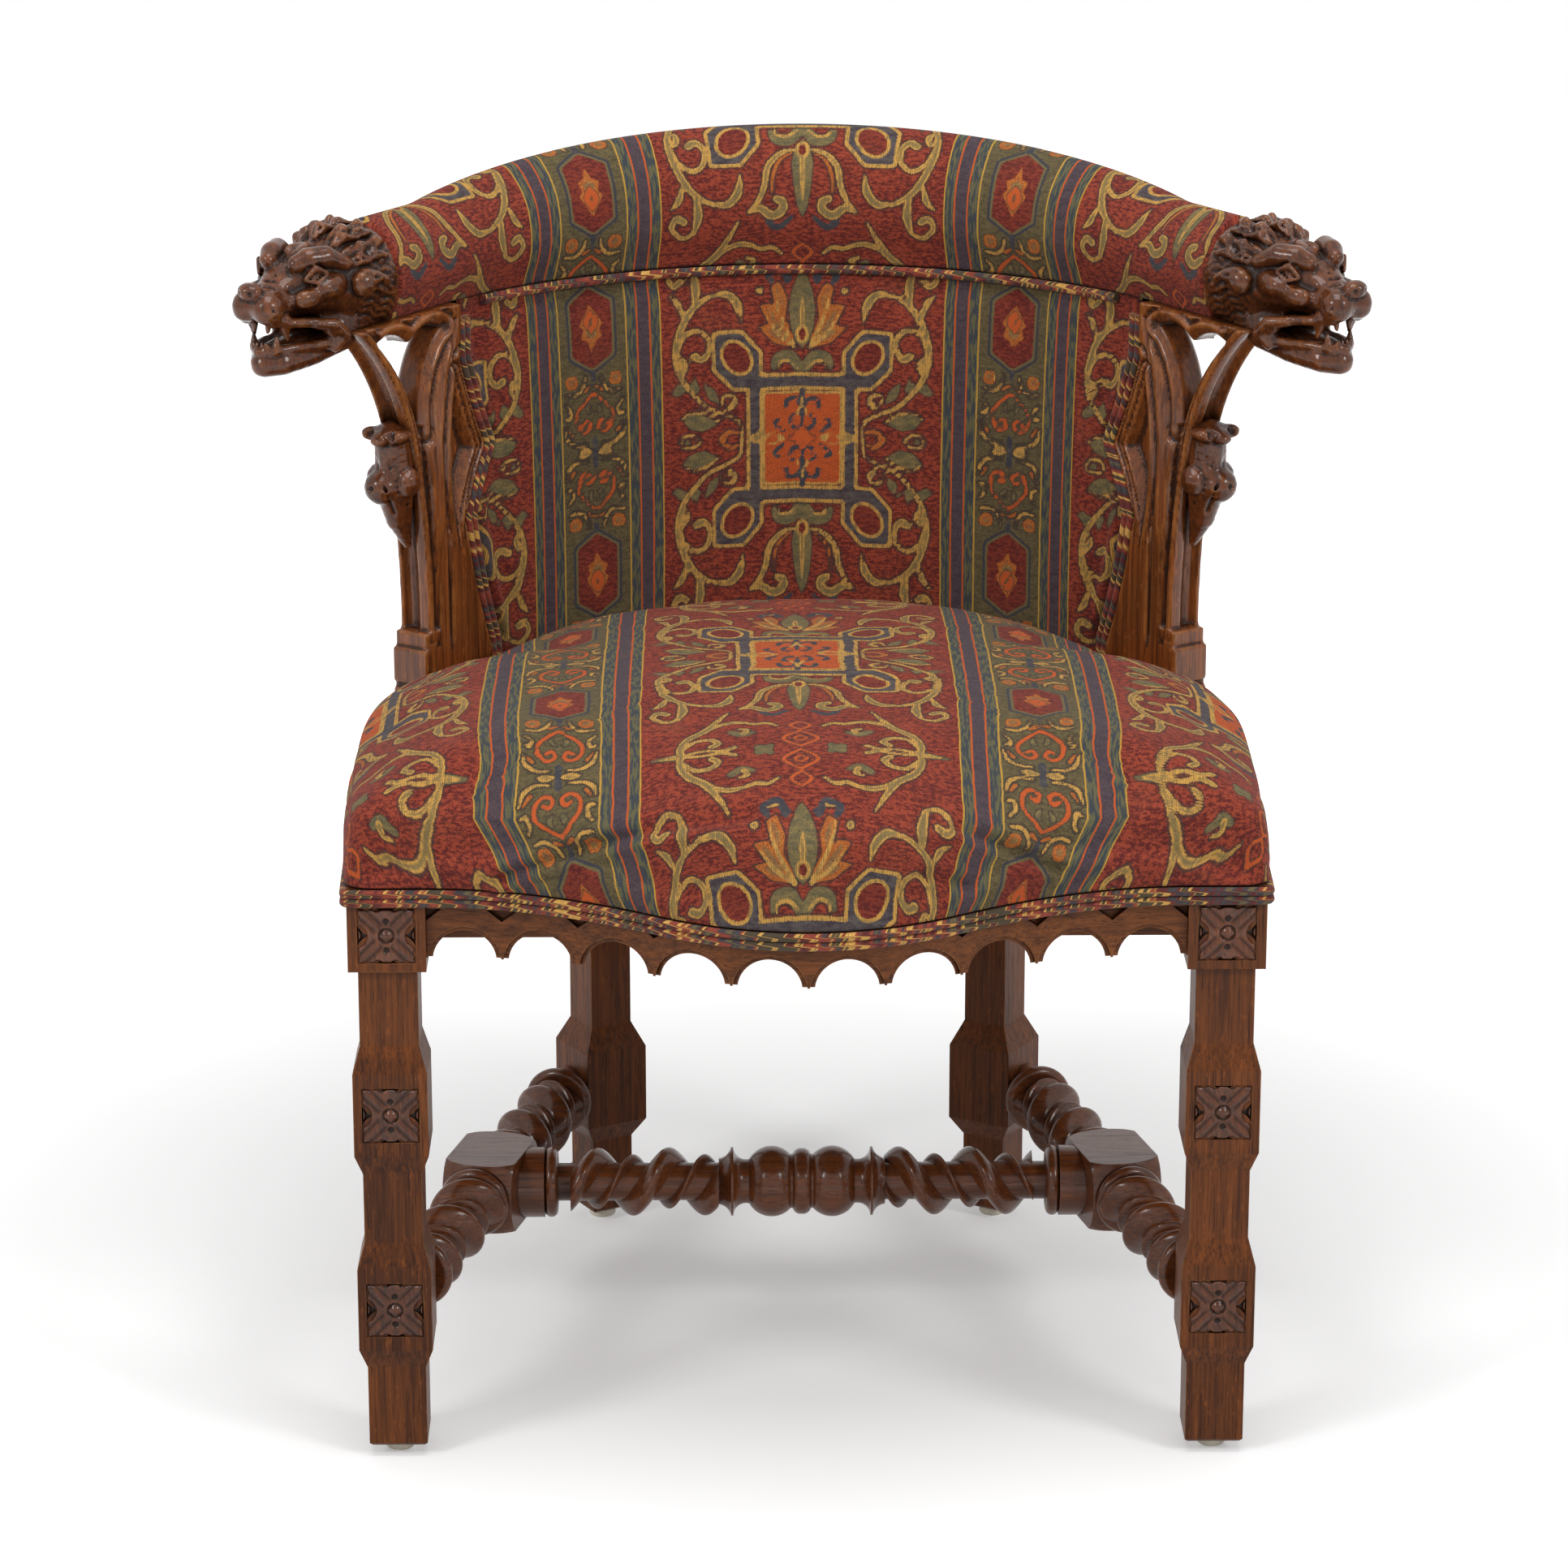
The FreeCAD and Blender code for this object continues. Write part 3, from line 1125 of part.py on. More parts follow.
def edge_trim(back):
    """What is trimmed off the left side of the back upholstery, this far behind the panel's edge."""
    inset = Vector(-back, 0, 0)
    inner = [edge.translated(inset) for edge in panel_inner_edges()]
    foot = on_board(*EDGE_FOOT) + inset
    head = on_board(*EDGE_HEAD) + inset
    low = Vector(foot.x, 0, RAIL_BOTTOM)
    high = Vector(head.x, 0, CREST_BOTTOM + CORE_HEIGHT)
    far_low = Vector(POST_TOP[0], 0, RAIL_BOTTOM)
    far_high = Vector(POST_TOP[0], 0, CREST_BOTTOM + CORE_HEIGHT)
    edges = [line(low, foot)] + inner + [line(head, high), line(high, far_high),
                                         line(far_high, far_low), line(far_low, low)]
    cutter = Part.Face(Part.Wire(Part.__sortEdges__(edges))).extrude(Vector(0, -3 * PANEL_THICK, 0))
    cutter.translate(Vector(0, PANEL_THICK, 0))
    return placed(cutter, panel_place())


def back_pad():
    face = Part.Face(Part.Wire(back_pad_section(PANEL_ANGLE)))
    pad = face.revolve(Vector(0, TUB_Y, 0), UP, -2 * PANEL_ANGLE)
    trim = edge_trim(4 * (CORD_RADIUS + SOFT_GAP) + CANVAS_THICK)
    return pad.cut([trim, mirrored(trim)])


def back_piping():
    """Two cords side by side along the left edge of the back pad."""
    top = CREST_BOTTOM - SOFT_GAP - 2 * CREST_CORD_RADIUS - CORD_RADIUS
    shape = [(EDGE_FOOT[0], RAIL_TOP + SOFT_GAP), EDGE_FOOT, EDGE_SWELL, EDGE_TOP, EDGE_DRAW, EDGE_CUSP,
             EDGE_RISE, EDGE_HEAD, (EDGE_HEAD[0], top)]
    depth = -CORD_RADIUS - SOFT_GAP
    cords = []
    for place in (1, 3):
        aside = -place * (CORD_RADIUS + SOFT_GAP)
        points = [on_board(x + aside, z, depth) for x, z in shape]
        cords.append(cord(rounded_path(points), CORD_RADIUS))
    return placed(Part.makeCompound(cords).cut(arm_panel_board()), panel_place())


def back_canvas():
    return ring_sector(FRAME_RADIUS - CANVAS_THICK, FRAME_RADIUS, CANVAS_ANGLE, RAIL_TOP, CREST_BOTTOM)


def outside_back():
    inner = math.hypot(FRAME_OUT, REAR_NECK / 2) + JOINT_GAP
    cover = ring_sector(inner, inner + COVER_THICK, PANEL_ANGLE, RAIL_TOP - COVER_DROP, CREST_BOTTOM)
    trim = edge_trim(SOFT_GAP)
    return cover.cut([trim, mirrored(trim)])


# Seat

def deck_space(grow, z0, z1):
    """The room for webbing and canvas inside the bearing edge of the rails."""
    radius = DECK_RADIUS + grow
    front, back = inner_rail_y()
    disc = Part.makeCylinder(radius, z1 - z0, Vector(0, TUB_Y, z0))
    return disc.cut(box(-radius, radius, TUB_Y - radius, (front + back) / 2 - grow, z0, z1))


def crown_share(x, y):
    """How far a point lies from the middle of the seat to its edge, from 0 to about 1."""
    radius = RAIL_RADIUS + PAD_OVERHANG
    if y > TUB_Y:
        return math.hypot(x, y - TUB_Y) / radius
    wave = (1 + math.cos(math.pi * min(abs(x) / HALF_FRONT, 1))) / 2
    front = TUB_Y + PAD_OVERHANG + BOW_DEPTH * wave
    return ((abs(x) / radius) ** CROWN_CORNER + ((TUB_Y - y) / front) ** CROWN_CORNER) ** (1 / CROWN_CORNER)


def above_crown():
    """Everything over the crowned top of the seat pad."""
    half = RAIL_RADIUS + 2 * PAD_CORNER
    front = -BOW_DEPTH - 2 * PAD_CORNER
    rows = []
    for i in range(CROWN_GRID):
        x = -half + 2 * half * i / (CROWN_GRID - 1)
        row = []
        for j in range(CROWN_GRID):
            y = front + (TUB_Y + half - front) * j / (CROWN_GRID - 1)
            share = min(crown_share(x, y), CROWN_LIMIT)
            drop = CROWN_ARCH * share ** 2 + CROWN_EDGE * share ** CROWN_ROLL
            row.append(Vector(x, y, RAIL_TOP + PAD_HEIGHT - drop))
        rows.append(row)
    surface = Part.BSplineSurface()
    surface.interpolate(rows)
    return surface.toShape().extrude(UP * PAD_HEIGHT)


def seat_pad():
    """Crowned pad with drawn-in sides, cut round the arms and the back."""
    bottom = RAIL_TOP + SOFT_GAP
    sections = []
    for rise, share in PAD_SIDE:
        z = bottom + rise * PAD_HEIGHT
        wire = Part.Wire(seat_edges(PAD_OVERHANG, z, PAD_CORNER))
        wire.scale(share, Vector(0, PAD_CENTRE_Y, z))
        sections.append(wire)
    pad = Part.makeLoft(sections, True, False)
    high = RAIL_TOP + 2 * STRAP_THICK + CANVAS_THICK + SOFT_GAP
    far = FRAME_OUT + RAIL_THICK
    behind = ring_sector(PAD_RADIUS - PAD_CROWN - SOFT_GAP, far, PANEL_ANGLE, RAIL_TOP, CREST_BOTTOM)
    reach = POST_FOOT[0] + PLINTH_FORWARD + SOFT_GAP
    arm = box(EDGE_FOOT[0] - PLINTH_LENGTH, reach, -2 * PANEL_THICK, SOFT_GAP, RAIL_TOP, CREST_BOTTOM)
    arm = placed(arm, panel_place())
    return pad.cut([deck_space(0, RAIL_TOP, high), above_crown(), behind, arm, mirrored(arm)])


def piping_angle():
    """Where the seat piping stops against the front of the arm panel."""
    ahead = POST_FOOT[0] + PLINTH_FORWARD + PANEL_BACK
    return PANEL_ANGLE + math.degrees(math.atan2(ahead, PANEL_RADIUS)) + CORD_END


def seat_piping():
    """Two cords, one over the other, round the bottom of the seat from arm to arm."""
    top = RAIL_TOP - CORD_RADIUS
    cords = []
    for place in (0, 1):
        z = top - place * (2 * CORD_RADIUS + JOINT_GAP)
        path = seat_edges(CORD_RADIUS + JOINT_GAP, z, CORD_CORNER, piping_angle())
        cords.append(cord(path, CORD_RADIUS))
    return Part.makeCompound(cords)


def seat_webbing():
    """Straps over the rails: one layer from front to back and one from side to side."""
    front, back = inner_rail_y()
    radius = DECK_RADIUS - SOFT_GAP
    start = (front + back) / 2 + SOFT_GAP
    middle = (start + TUB_Y + radius) / 2
    half = STRAP_WIDTH / 2
    straps = []
    for i in range(STRAP_COUNT):
        aside = (i - (STRAP_COUNT - 1) / 2) * STRAP_STEP
        rear = TUB_Y + math.sqrt(radius ** 2 - (abs(aside) + half) ** 2)
        straps.append(box(aside - half, aside + half, start, rear, RAIL_TOP, RAIL_TOP + STRAP_THICK))
        y = middle + aside
        reach = math.sqrt(radius ** 2 - (abs(y - TUB_Y) + half) ** 2)
        straps.append(box(-reach, reach, y - half, y + half,
                          RAIL_TOP + STRAP_THICK, RAIL_TOP + 2 * STRAP_THICK))
    return Part.makeCompound(straps)


def seat_canvas():
    """Canvas over the webbing, under the stuffing of the pad."""
    low = RAIL_TOP + 2 * STRAP_THICK
    return deck_space(-SOFT_GAP, low, low + CANVAS_THICK)


# Corner block pieces

def corner_block_solid():
    inner = RAIL_RADIUS - RAIL_THICK
    z = RAIL_BOTTOM + TENON_SHOULDER
    rail_far = side_point(inner, LEG_BACK + BRACE_REACH, z)
    rail_near = side_point(inner, LEG_BACK, z)
    front_near = Vector(-HALF_FRONT, LEG_BACK, z)
    front_far = Vector(-HALF_FRONT + BRACE_REACH, LEG_BACK, z)
    edges = [line(rail_far, rail_near), line(rail_near, front_near), line(front_near, front_far),
             line(front_far, rail_far)]
    return extruded(edges, UP * BRACE_HEIGHT)


def brace_screw_set(grow=0.0):
    """One screw from the left corner block into each rail."""
    z = RAIL_BOTTOM + TENON_SHOULDER + BRACE_HEIGHT / 2
    inner = RAIL_RADIUS - RAIL_THICK
    on_rail = side_point(inner, LEG_BACK + BRACE_RAIL_SCREW, z)
    on_front = Vector(-HALF_FRONT + BRACE_FRONT_SCREW, LEG_BACK, z)
    screws = []
    for seat, way in ((on_rail, Vector(-1, 0, 0)), (on_front, Vector(0, -1, 0))):
        head = seat - way * SCREW_IN_BLOCK
        shank = Part.makeCylinder(SCREW_RADIUS + grow, SCREW_LENGTH + grow, head, way)
        cone = Part.makeCone(SCREW_HEAD + grow, SCREW_RADIUS + grow, SCREW_HEAD, head, way)
        screws.append(shank.fuse(cone))
    return Part.makeCompound(screws)


# Assembly

def pair(left):
    return {"left": left, "right": mirrored(left)}


def both(left):
    return Part.makeCompound([left, mirrored(left)])


def chair():
    """Every node of the chair by name."""
    nodes = {}
    sided = {"front_leg": front_leg(), "rear_leg": rear_leg(), "side_stretcher": side_stretcher(),
             "arm_panel": arm_panel(), "arm_crocket": arm_crocket(), "beast_head": beast_head(),
             "arm_rail": arm_rail(), "back_piping": back_piping(),
             "foot_glide_front": placed(glide(), front_leg_place()),
             "foot_glide_rear": placed(glide(), rear_leg_place()),
             "corner_block": corner_block_solid().cut(brace_screw_set(JOINT_GAP)),
             "side_rail": side_rail().cut(brace_screw_set(JOINT_GAP))}
    for name, left in sided.items():
        for side, shape in pair(left).items():
            nodes[name + "_" + side] = shape
    brace_screws = both(brace_screw_set())
    holes = both(brace_screw_set(JOINT_GAP))
    nodes["front_apron"] = front_apron()
    nodes["front_seat_rail"] = front_seat_rail().cut(holes)
    nodes["rear_rail"] = rear_rail()
    nodes["cross_stretcher"] = cross_stretcher()
    nodes["crest_rail"] = crest_rail()
    nodes["crest_pad"] = crest_pad()
    nodes["crest_piping"] = crest_piping()
    nodes["back_pad"] = back_pad()
    nodes["back_canvas"] = back_canvas()
    nodes["outside_back"] = outside_back()
    nodes["seat_pad"] = seat_pad()
    nodes["seat_piping"] = seat_piping()
    nodes["seat_webbing"] = seat_webbing()
    nodes["seat_canvas"] = seat_canvas()
    nodes["corner_block_screws"] = brace_screws
    nodes["panel_screws"] = both(panel_screw_set())
    nodes["panel_dowels"] = both(panel_dowel_set())
    nodes["crest_dowels"] = both(crest_dowel_set())
    nodes["head_dowels"] = both(head_dowel())
    nails = [placed(nail_hole(), front_leg_place()), placed(nail_hole(), rear_leg_place())]
    nodes["glide_nails"] = both(Part.makeCompound(nails))
    return nodes


def main():
    os.makedirs("parts", exist_ok=True)
    nodes = chair()
    whole = Part.makeCompound(list(nodes.values())).optimalBoundingBox(False, False)
    shift = Vector(0, -(whole.YMin + whole.YMax) / 2, 0)
    print("box", round(whole.XLength, 2), round(whole.YLength, 2), round(whole.ZLength, 2),
          "shift", round(shift.y, 3))
    for name, shape in nodes.items():
        moved = shape.copy()
        moved.translate(shift)
        print(name, len(moved.Solids), moved.isValid(), round(moved.Volume / 1000, 2))
        moved.exportStep("parts/" + name + ".step")


main()
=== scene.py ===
# %% [markdown]
# # A Gothic revival tub armchair
# This lesson dresses a CAD model of a carved oak armchair. The CAD frame gives every joint and size, and
# Blender adds what a photograph shows: tapestry, stuffing, piping, carving, grain and wear. All lengths
# below are millimetres in the chair's own frame, with y = 0 at the front of the front legs, and one helper
# turns them into Blender's metres.

import math

import bmesh
import bpy
import numpy as np
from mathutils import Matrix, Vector


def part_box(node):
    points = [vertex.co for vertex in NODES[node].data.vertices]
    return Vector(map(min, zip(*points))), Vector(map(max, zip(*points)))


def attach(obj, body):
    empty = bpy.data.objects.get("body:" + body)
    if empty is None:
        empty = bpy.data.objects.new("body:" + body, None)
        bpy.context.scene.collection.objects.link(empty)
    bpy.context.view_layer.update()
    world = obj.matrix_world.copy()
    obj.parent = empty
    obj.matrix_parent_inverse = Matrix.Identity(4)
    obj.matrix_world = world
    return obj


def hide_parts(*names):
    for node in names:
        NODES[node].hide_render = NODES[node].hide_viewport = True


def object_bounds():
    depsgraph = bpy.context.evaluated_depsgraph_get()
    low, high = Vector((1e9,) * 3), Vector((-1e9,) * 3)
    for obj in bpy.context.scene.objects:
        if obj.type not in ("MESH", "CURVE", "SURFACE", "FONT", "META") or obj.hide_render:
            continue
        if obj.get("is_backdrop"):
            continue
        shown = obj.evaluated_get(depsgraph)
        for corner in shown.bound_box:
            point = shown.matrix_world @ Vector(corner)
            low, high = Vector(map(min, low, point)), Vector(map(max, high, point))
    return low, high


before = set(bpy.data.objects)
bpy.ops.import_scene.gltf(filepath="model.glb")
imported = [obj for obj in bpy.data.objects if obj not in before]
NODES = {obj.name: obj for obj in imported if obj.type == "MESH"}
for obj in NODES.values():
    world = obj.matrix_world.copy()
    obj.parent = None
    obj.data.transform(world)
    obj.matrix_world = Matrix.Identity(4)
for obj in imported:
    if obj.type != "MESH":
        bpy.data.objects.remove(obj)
CAD_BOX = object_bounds()
FRONT_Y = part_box("front_leg_left")[0].y      # metres, front face of the front legs
print("nodes", len(NODES), "front of the legs at", round(FRONT_Y, 4))


def metres(points):
    """Millimetres in the chair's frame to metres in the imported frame."""
    points = np.asarray(points, float) / 1000.0
    return points + np.array([0.0, FRONT_Y, 0.0])


def millimetres(points):
    """The way back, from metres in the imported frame."""
    return (np.asarray(points, float) - np.array([0.0, FRONT_Y, 0.0])) * 1000.0


def linked(name, data):
    """A new object in the scene."""
    made = bpy.data.objects.new(name, data)
    bpy.context.scene.collection.objects.link(made)
    return made


# %% [markdown]
# ## The camera
# The photograph was taken from a little above and far away, with a long lens. The camera's place comes from
# fitting the chair's known sizes to the picture, so the lens is set by its length in pixels of the image.

# %% Camera
IMAGE_SIDE = 1932            # pixels
FOCAL_PIXELS = 6500.0
SENSOR = 36.0                # mm
EYE = (-51.3, -3173.9, 1448.9)
GAZE = Vector((0.01097, 0.95499, -0.29644))

lens = bpy.data.cameras.new("camera")
lens.sensor_width = SENSOR
lens.lens = FOCAL_PIXELS / IMAGE_SIDE * SENSOR
camera = linked("camera", lens)
camera.location = metres(EYE)
camera.rotation_euler = GAZE.to_track_quat("-Z", "Y").to_euler()
bpy.context.scene.camera = camera
bpy.context.scene.view_settings.view_transform = "Standard"
print("lens", round(lens.lens, 1), "mm")

# %% [markdown]
# ## Writing shaders as sums
# A shader is a graph, but most of it is arithmetic. `Flow` wraps one socket, so `1 - mask * 0.5` adds the
# Math nodes by itself. Every other node comes from `Graph.node`, which sets the node's own settings first
# and then its sockets, by value or by link. Materials, the world and geometry trees are all built with it.


# %% Shader helpers
class Flow:
    """One output socket of a graph, on which sums can be written."""

    def __init__(self, graph, socket):
        self.graph = graph
        self.socket = socket

    def sum(self, operation, *terms):
        return self.graph.node("ShaderNodeMath", {"operation": operation}, dict(enumerate(terms)))

    def __add__(self, other):
        return self.sum("ADD", self, other)

    def __sub__(self, other):
        return self.sum("SUBTRACT", self, other)

    def __rsub__(self, other):
        return self.sum("SUBTRACT", other, self)

    def __mul__(self, other):
        return self.sum("MULTIPLY", self, other)

    def __truediv__(self, other):
        return self.sum("DIVIDE", self, other)

    __radd__ = __add__
    __rmul__ = __mul__

    def least(self, other):
        return self.sum("MINIMUM", self, other)

    def most(self, other):
        return self.sum("MAXIMUM", self, other)

    def fold(self, length):
        """A triangle wave: up to the length and back again."""
        return self.sum("PINGPONG", self, length)

    def rise(self, low, high):
        """0 below low, 1 above high, smooth between."""
        return self.graph.node("ShaderNodeMapRange", {"interpolation_type": "SMOOTHSTEP"},
                               {"Value": self, "From Min": low, "From Max": high})

    def within(self, low, high, soft):
        """1 between low and high, with soft edges."""
        return self.rise(low - soft, low + soft) * (1 - self.rise(high - soft, high + soft))


class Graph:
    """A tree of nodes."""

    def __init__(self, tree):
        self.tree = tree

    def node(self, kind, settings=None, sockets=None, out=0):
        made = self.tree.nodes.new(kind)
        for key, value in (settings or {}).items():
            setattr(made, key, value)
        for key, value in (sockets or {}).items():
            self.put(made.inputs[key], value)
        return Flow(self, made.outputs[out])

    def put(self, socket, value):
        if isinstance(value, Flow):
            self.tree.links.new(value.socket, socket)
        else:
            socket.default_value = value


class Finish(Graph):
    """A material, or the world, built node by node."""

    def __init__(self, name, store="materials", shader="Principled BSDF"):
        self.material = getattr(bpy.data, store).new(name)
        self.material.use_nodes = True
        super().__init__(self.material.node_tree)
        self.shader = self.tree.nodes[shader]

    def set(self, **sockets):
        for key, value in sockets.items():
            self.put(self.shader.inputs[key.replace("_", " ")], value)

    def blend(self, share, first, second):
        """A colour between two colours."""
        return self.node("ShaderNodeMix", {"data_type": "RGBA"}, {0: share, 6: first, 7: second}, out=2)

    def noise(self, where, scale, detail=2.0, rough=0.5):
        return self.node("ShaderNodeTexNoise", None,
                         {"Vector": where, "Scale": scale, "Detail": detail, "Roughness": rough})

    def place(self, turn=(0, 0, 0), stretch=(1, 1, 1)):
        """Object coordinates, turned and stretched."""
        where = self.node("ShaderNodeTexCoord", out="Object")
        turned = self.node("ShaderNodeMapping", None, {"Vector": where, "Rotation": turn})
        return self.node("ShaderNodeMapping", None, {"Vector": turned, "Scale": stretch})

    def bump(self, height, distance, strength=1.0, normal=None):
        sockets = {"Height": height, "Distance": distance, "Strength": strength}
        if normal is not None:
            sockets["Normal"] = normal
        return self.node("ShaderNodeBump", None, sockets)


def rgb(red, green, blue):
    """A colour as it is read off a screen, 0 to 255, in Blender's linear light."""
    shares = [c / 255 for c in (red, green, blue)]
    return tuple(c / 12.92 if c <= 0.04045 else ((c + 0.055) / 1.055) ** 2.4 for c in shares) + (1.0,)


# %% [markdown]
# ## Oak
# The wood is oak under an old dark stain: open pores that run with the grain, bands of growth, short silky
# ray flecks across it, painted shade in the hollows and paler wear on the edges. Pores and growth are noise
# stretched along the grain, so each group of pieces gets its own copy turned to the way its boards were cut.
# The painted shade comes from ambient occlusion and the worn edges from comparing the true normal with a
# rounded one, which also softens the CAD model's knife-sharp corners. The carvings further down add an
# attribute, sunk, that is above 0 in their hollows and below 0 on their ridges, which deepens the painted
# shade in the hollows and the wear on the ridges. The other pieces don't have it and read 0.


# %% Oak finish
EDGE_RADIUS = 0.0012         # metres
PORE_DARK = 0.35             # pores and painted shade in the hollows, as shares of the dark colour
SHADE_DARK = 0.22


def oak(name, turn, dark, light, worn, wear=0.8, gloss=0.42, shade_strength=0.7, reach=0.012, wax=0.12):
    """Stained oak whose grain runs along Z after the turn."""
    wood = Finish(name)

    def grain(stretch, scale, detail, rough=0.5):
        return wood.noise(wood.place(turn, stretch), scale, detail, rough)

    def darker(share):
        return tuple(c * share for c in dark[:3]) + (1.0,)

    broad = grain((1, 1, 0.25), 14.0, 3.0)
    growth = grain((1, 1, 0.045), 170.0, 4.0, 0.6)
    pore = grain((1, 1, 0.035), 1100.0, 2.0, 0.6).rise(0.56, 0.68)
    fleck = grain((1, 0.25, 0.3), 420.0, 2.0).rise(0.6, 0.74) * 0.35
    streaks = grain((1, 1, 0.03), 460.0, 2.0, 0.6)
    tone = (broad * 0.45 + growth * 0.5 + streaks * 0.55 - 0.25 + fleck * 0.5).rise(0.22, 0.82)
    colour = wood.blend(tone, dark, light)
    rounded = wood.node("ShaderNodeBevel", {"samples": 6}, {"Radius": EDGE_RADIUS})
    true = wood.node("ShaderNodeNewGeometry", out="Normal")
    meet = wood.node("ShaderNodeVectorMath", {"operation": "DOT_PRODUCT"}, {0: rounded, 1: true}, out="Value")
    hollow = wood.node("ShaderNodeAmbientOcclusion", {"samples": 8}, {"Distance": reach}, out="AO")
    edge = (1 - meet).rise(0.02, 0.22) * hollow.rise(0.55, 0.95)
    rub = grain((1, 1, 0.6), 55.0, 4.0, 0.7)
    sunk = wood.node("ShaderNodeAttribute", {"attribute_name": "sunk"}, out="Fac")
    rubbed = (edge + (0 - sunk).rise(0.3, 0.95) * 0.6).least(1.0) * rub.rise(0.38, 0.62) * wear
    scuff = grain((1, 1, 0.3), 240.0, 4.0, 0.75).rise(0.66, 0.74) * 0.25 * wear
    colour = wood.blend((rubbed + scuff).least(1.0), colour, worn)
    colour = wood.blend(pore * 0.55, colour, darker(PORE_DARK))
    # painted shade: the hollows found by ambient occlusion and by the sunk attribute are darkened towards the
    # dark colour
    hollow_shade = (1 - hollow.rise(0.1, 0.85)).most(sunk.rise(0.06, 0.7)) * shade_strength
    colour = wood.blend(hollow_shade, colour, darker(SHADE_DARK))
    normal = wood.bump(growth * 0.25 - pore * 0.8, 0.0004, 0.6, rounded)
    wood.set(Base_Color=colour, Roughness=gloss + pore * 0.18 + hollow_shade * 0.25 + rub * 0.08, Normal=normal)
    wood.set(Coat_Weight=(1 - hollow_shade) * wax, Coat_Roughness=0.14, Specular_IOR_Level=0.1 + wax * 0.4, IOR=1.48)
    return wood.material


UPRIGHT = (0.0, 0.0, 0.0)
ACROSS = (0.0, math.pi / 2, 0.0)
ASKEW = (0.3, 0.2, 0.4)      # carved blocks show the grain at every angle
PLAIN = (rgb(50, 22, 7), rgb(122, 66, 26), rgb(184, 122, 64))
FADED = (rgb(62, 30, 11), rgb(132, 75, 34), rgb(190, 134, 84), 0.7, 0.46)
TURNED = (rgb(62, 28, 10), rgb(116, 62, 27), rgb(156, 100, 54), 0.5, 0.26, 0.7, 0.012, 0.35)
CARVED = (rgb(46, 20, 7), rgb(112, 57, 22), rgb(166, 100, 48), 0.55, 0.18, 0.9, 0.02, 0.35)
MOULDED = (rgb(70, 33, 12), rgb(154, 86, 38), rgb(188, 124, 66), 0.6, 0.2, 0.85, 0.012, 0.35)

oak_upright = oak("oak_upright", UPRIGHT, *PLAIN)
oak_across = oak("oak_across", ACROSS, *FADED)
oak_turned = oak("oak_turned", ACROSS, *TURNED)
oak_carved = oak("oak_carved", ASKEW, *CARVED)
oak_panel = oak("oak_panel", UPRIGHT, *MOULDED)
print("oak finishes made")

# %% [markdown]
# ## Dress the CAD woodwork
# Legs, rails, apron and stretchers already have their true shape in the CAD model. They keep it and only
# change their finish, chosen by the way the grain runs in each piece. A copy with more faces would look no
# different. Panels, heads and crockets are carved further down, because their relief is finer than the CAD.

# %% Finishes on CAD nodes
GRAIN_OF = (
    (oak_upright, ("front_leg", "rear_leg", "corner_block")),
    (oak_across, ("front_apron", "front_seat_rail", "rear_rail", "side_rail", "crest_rail", "arm_rail")),
    (oak_turned, ("cross_stretcher", "side_stretcher")),
)


def dress(node, material):
    slots = NODES[node].data.materials
    slots.clear()
    slots.append(material)


for node in NODES:
    for finish, starts in GRAIN_OF:
        if node.startswith(starts):
            dress(node, finish)
    if node.endswith("dowels"):
        dress(node, oak_across)
print("dressed", sum(len(starts) for _, starts in GRAIN_OF), "kinds of woodwork")

# %% [markdown]
# ## Glides, nails and screws
# The feet stand on domed plastic glides, off-white with scuffs, each held by a nail. Screws and nails are
# plain bright steel gone grey.

# %% Glides and steel
glide_finish = Finish("glide_plastic")
scuffs = glide_finish.noise(glide_finish.place(), 420.0, 4.0, 0.7)
glide_colour = glide_finish.blend(scuffs.rise(0.5, 0.72) * 0.5, rgb(226, 218, 200), rgb(160, 146, 122))
glide_finish.set(Base_Color=glide_colour, Roughness=0.38 + scuffs * 0.25,
                 Normal=glide_finish.bump(scuffs, 0.0002, 0.4))
steel = Finish("screw_steel")
grey = steel.noise(steel.place(), 900.0, 3.0)
steel.set(Base_Color=steel.blend(grey, rgb(120, 116, 108), rgb(176, 172, 164)), Metallic=1.0,
          Roughness=0.3 + grey * 0.25)
for node in NODES:
    if node.startswith("foot_glide"):
        dress(node, glide_finish.material)
    if node.endswith(("screws", "nails")):
        dress(node, steel.material)
print("glides and screws dressed")

# %% [markdown]
# ## Drawing the tapestry
# The cover is a traditional woven pattern: red fields with a strapwork medallion, palmettes and scrolls,
# between olive bands with hearts and cartouches. An image texture isn't wanted here, so the pattern is
# drawn in code, as a weaver's point paper would be: each yarn is a layer that stores, on a fine grid, how
# far a point lies from the nearest thread of that yarn. A distance can be read at coarse mesh points and
# still gives a crisp edge when the shader cuts it at zero. The repeat mirrors at the middle of the field
# and of the band, so half is drawn.

# %% The point paper
REPEAT = 310.0               # across: one red field and one band
DROP = 352.0                 # down: from medallion to medallion
CELL = 0.5                   # of the paper's grid
FAR = 20.0                   # distances beyond this don't matter
MARGIN = 6.0                 # drawn round every stroke
COPY_SHIFTS = (-DROP, 0.0, DROP)

across = np.arange(0, REPEAT / 2 + CELL, CELL)
down = np.arange(-DROP / 2, DROP / 2, CELL)


def through(a, b, c, d, t):
    """A smooth curve from b to c, coming from a and going on to d."""
    return 0.5 * (2 * b + (c - a) * t + (2 * a - 5 * b + 4 * c - d) * t ** 2
                  + (3 * b - a - 3 * c + d) * t ** 3)


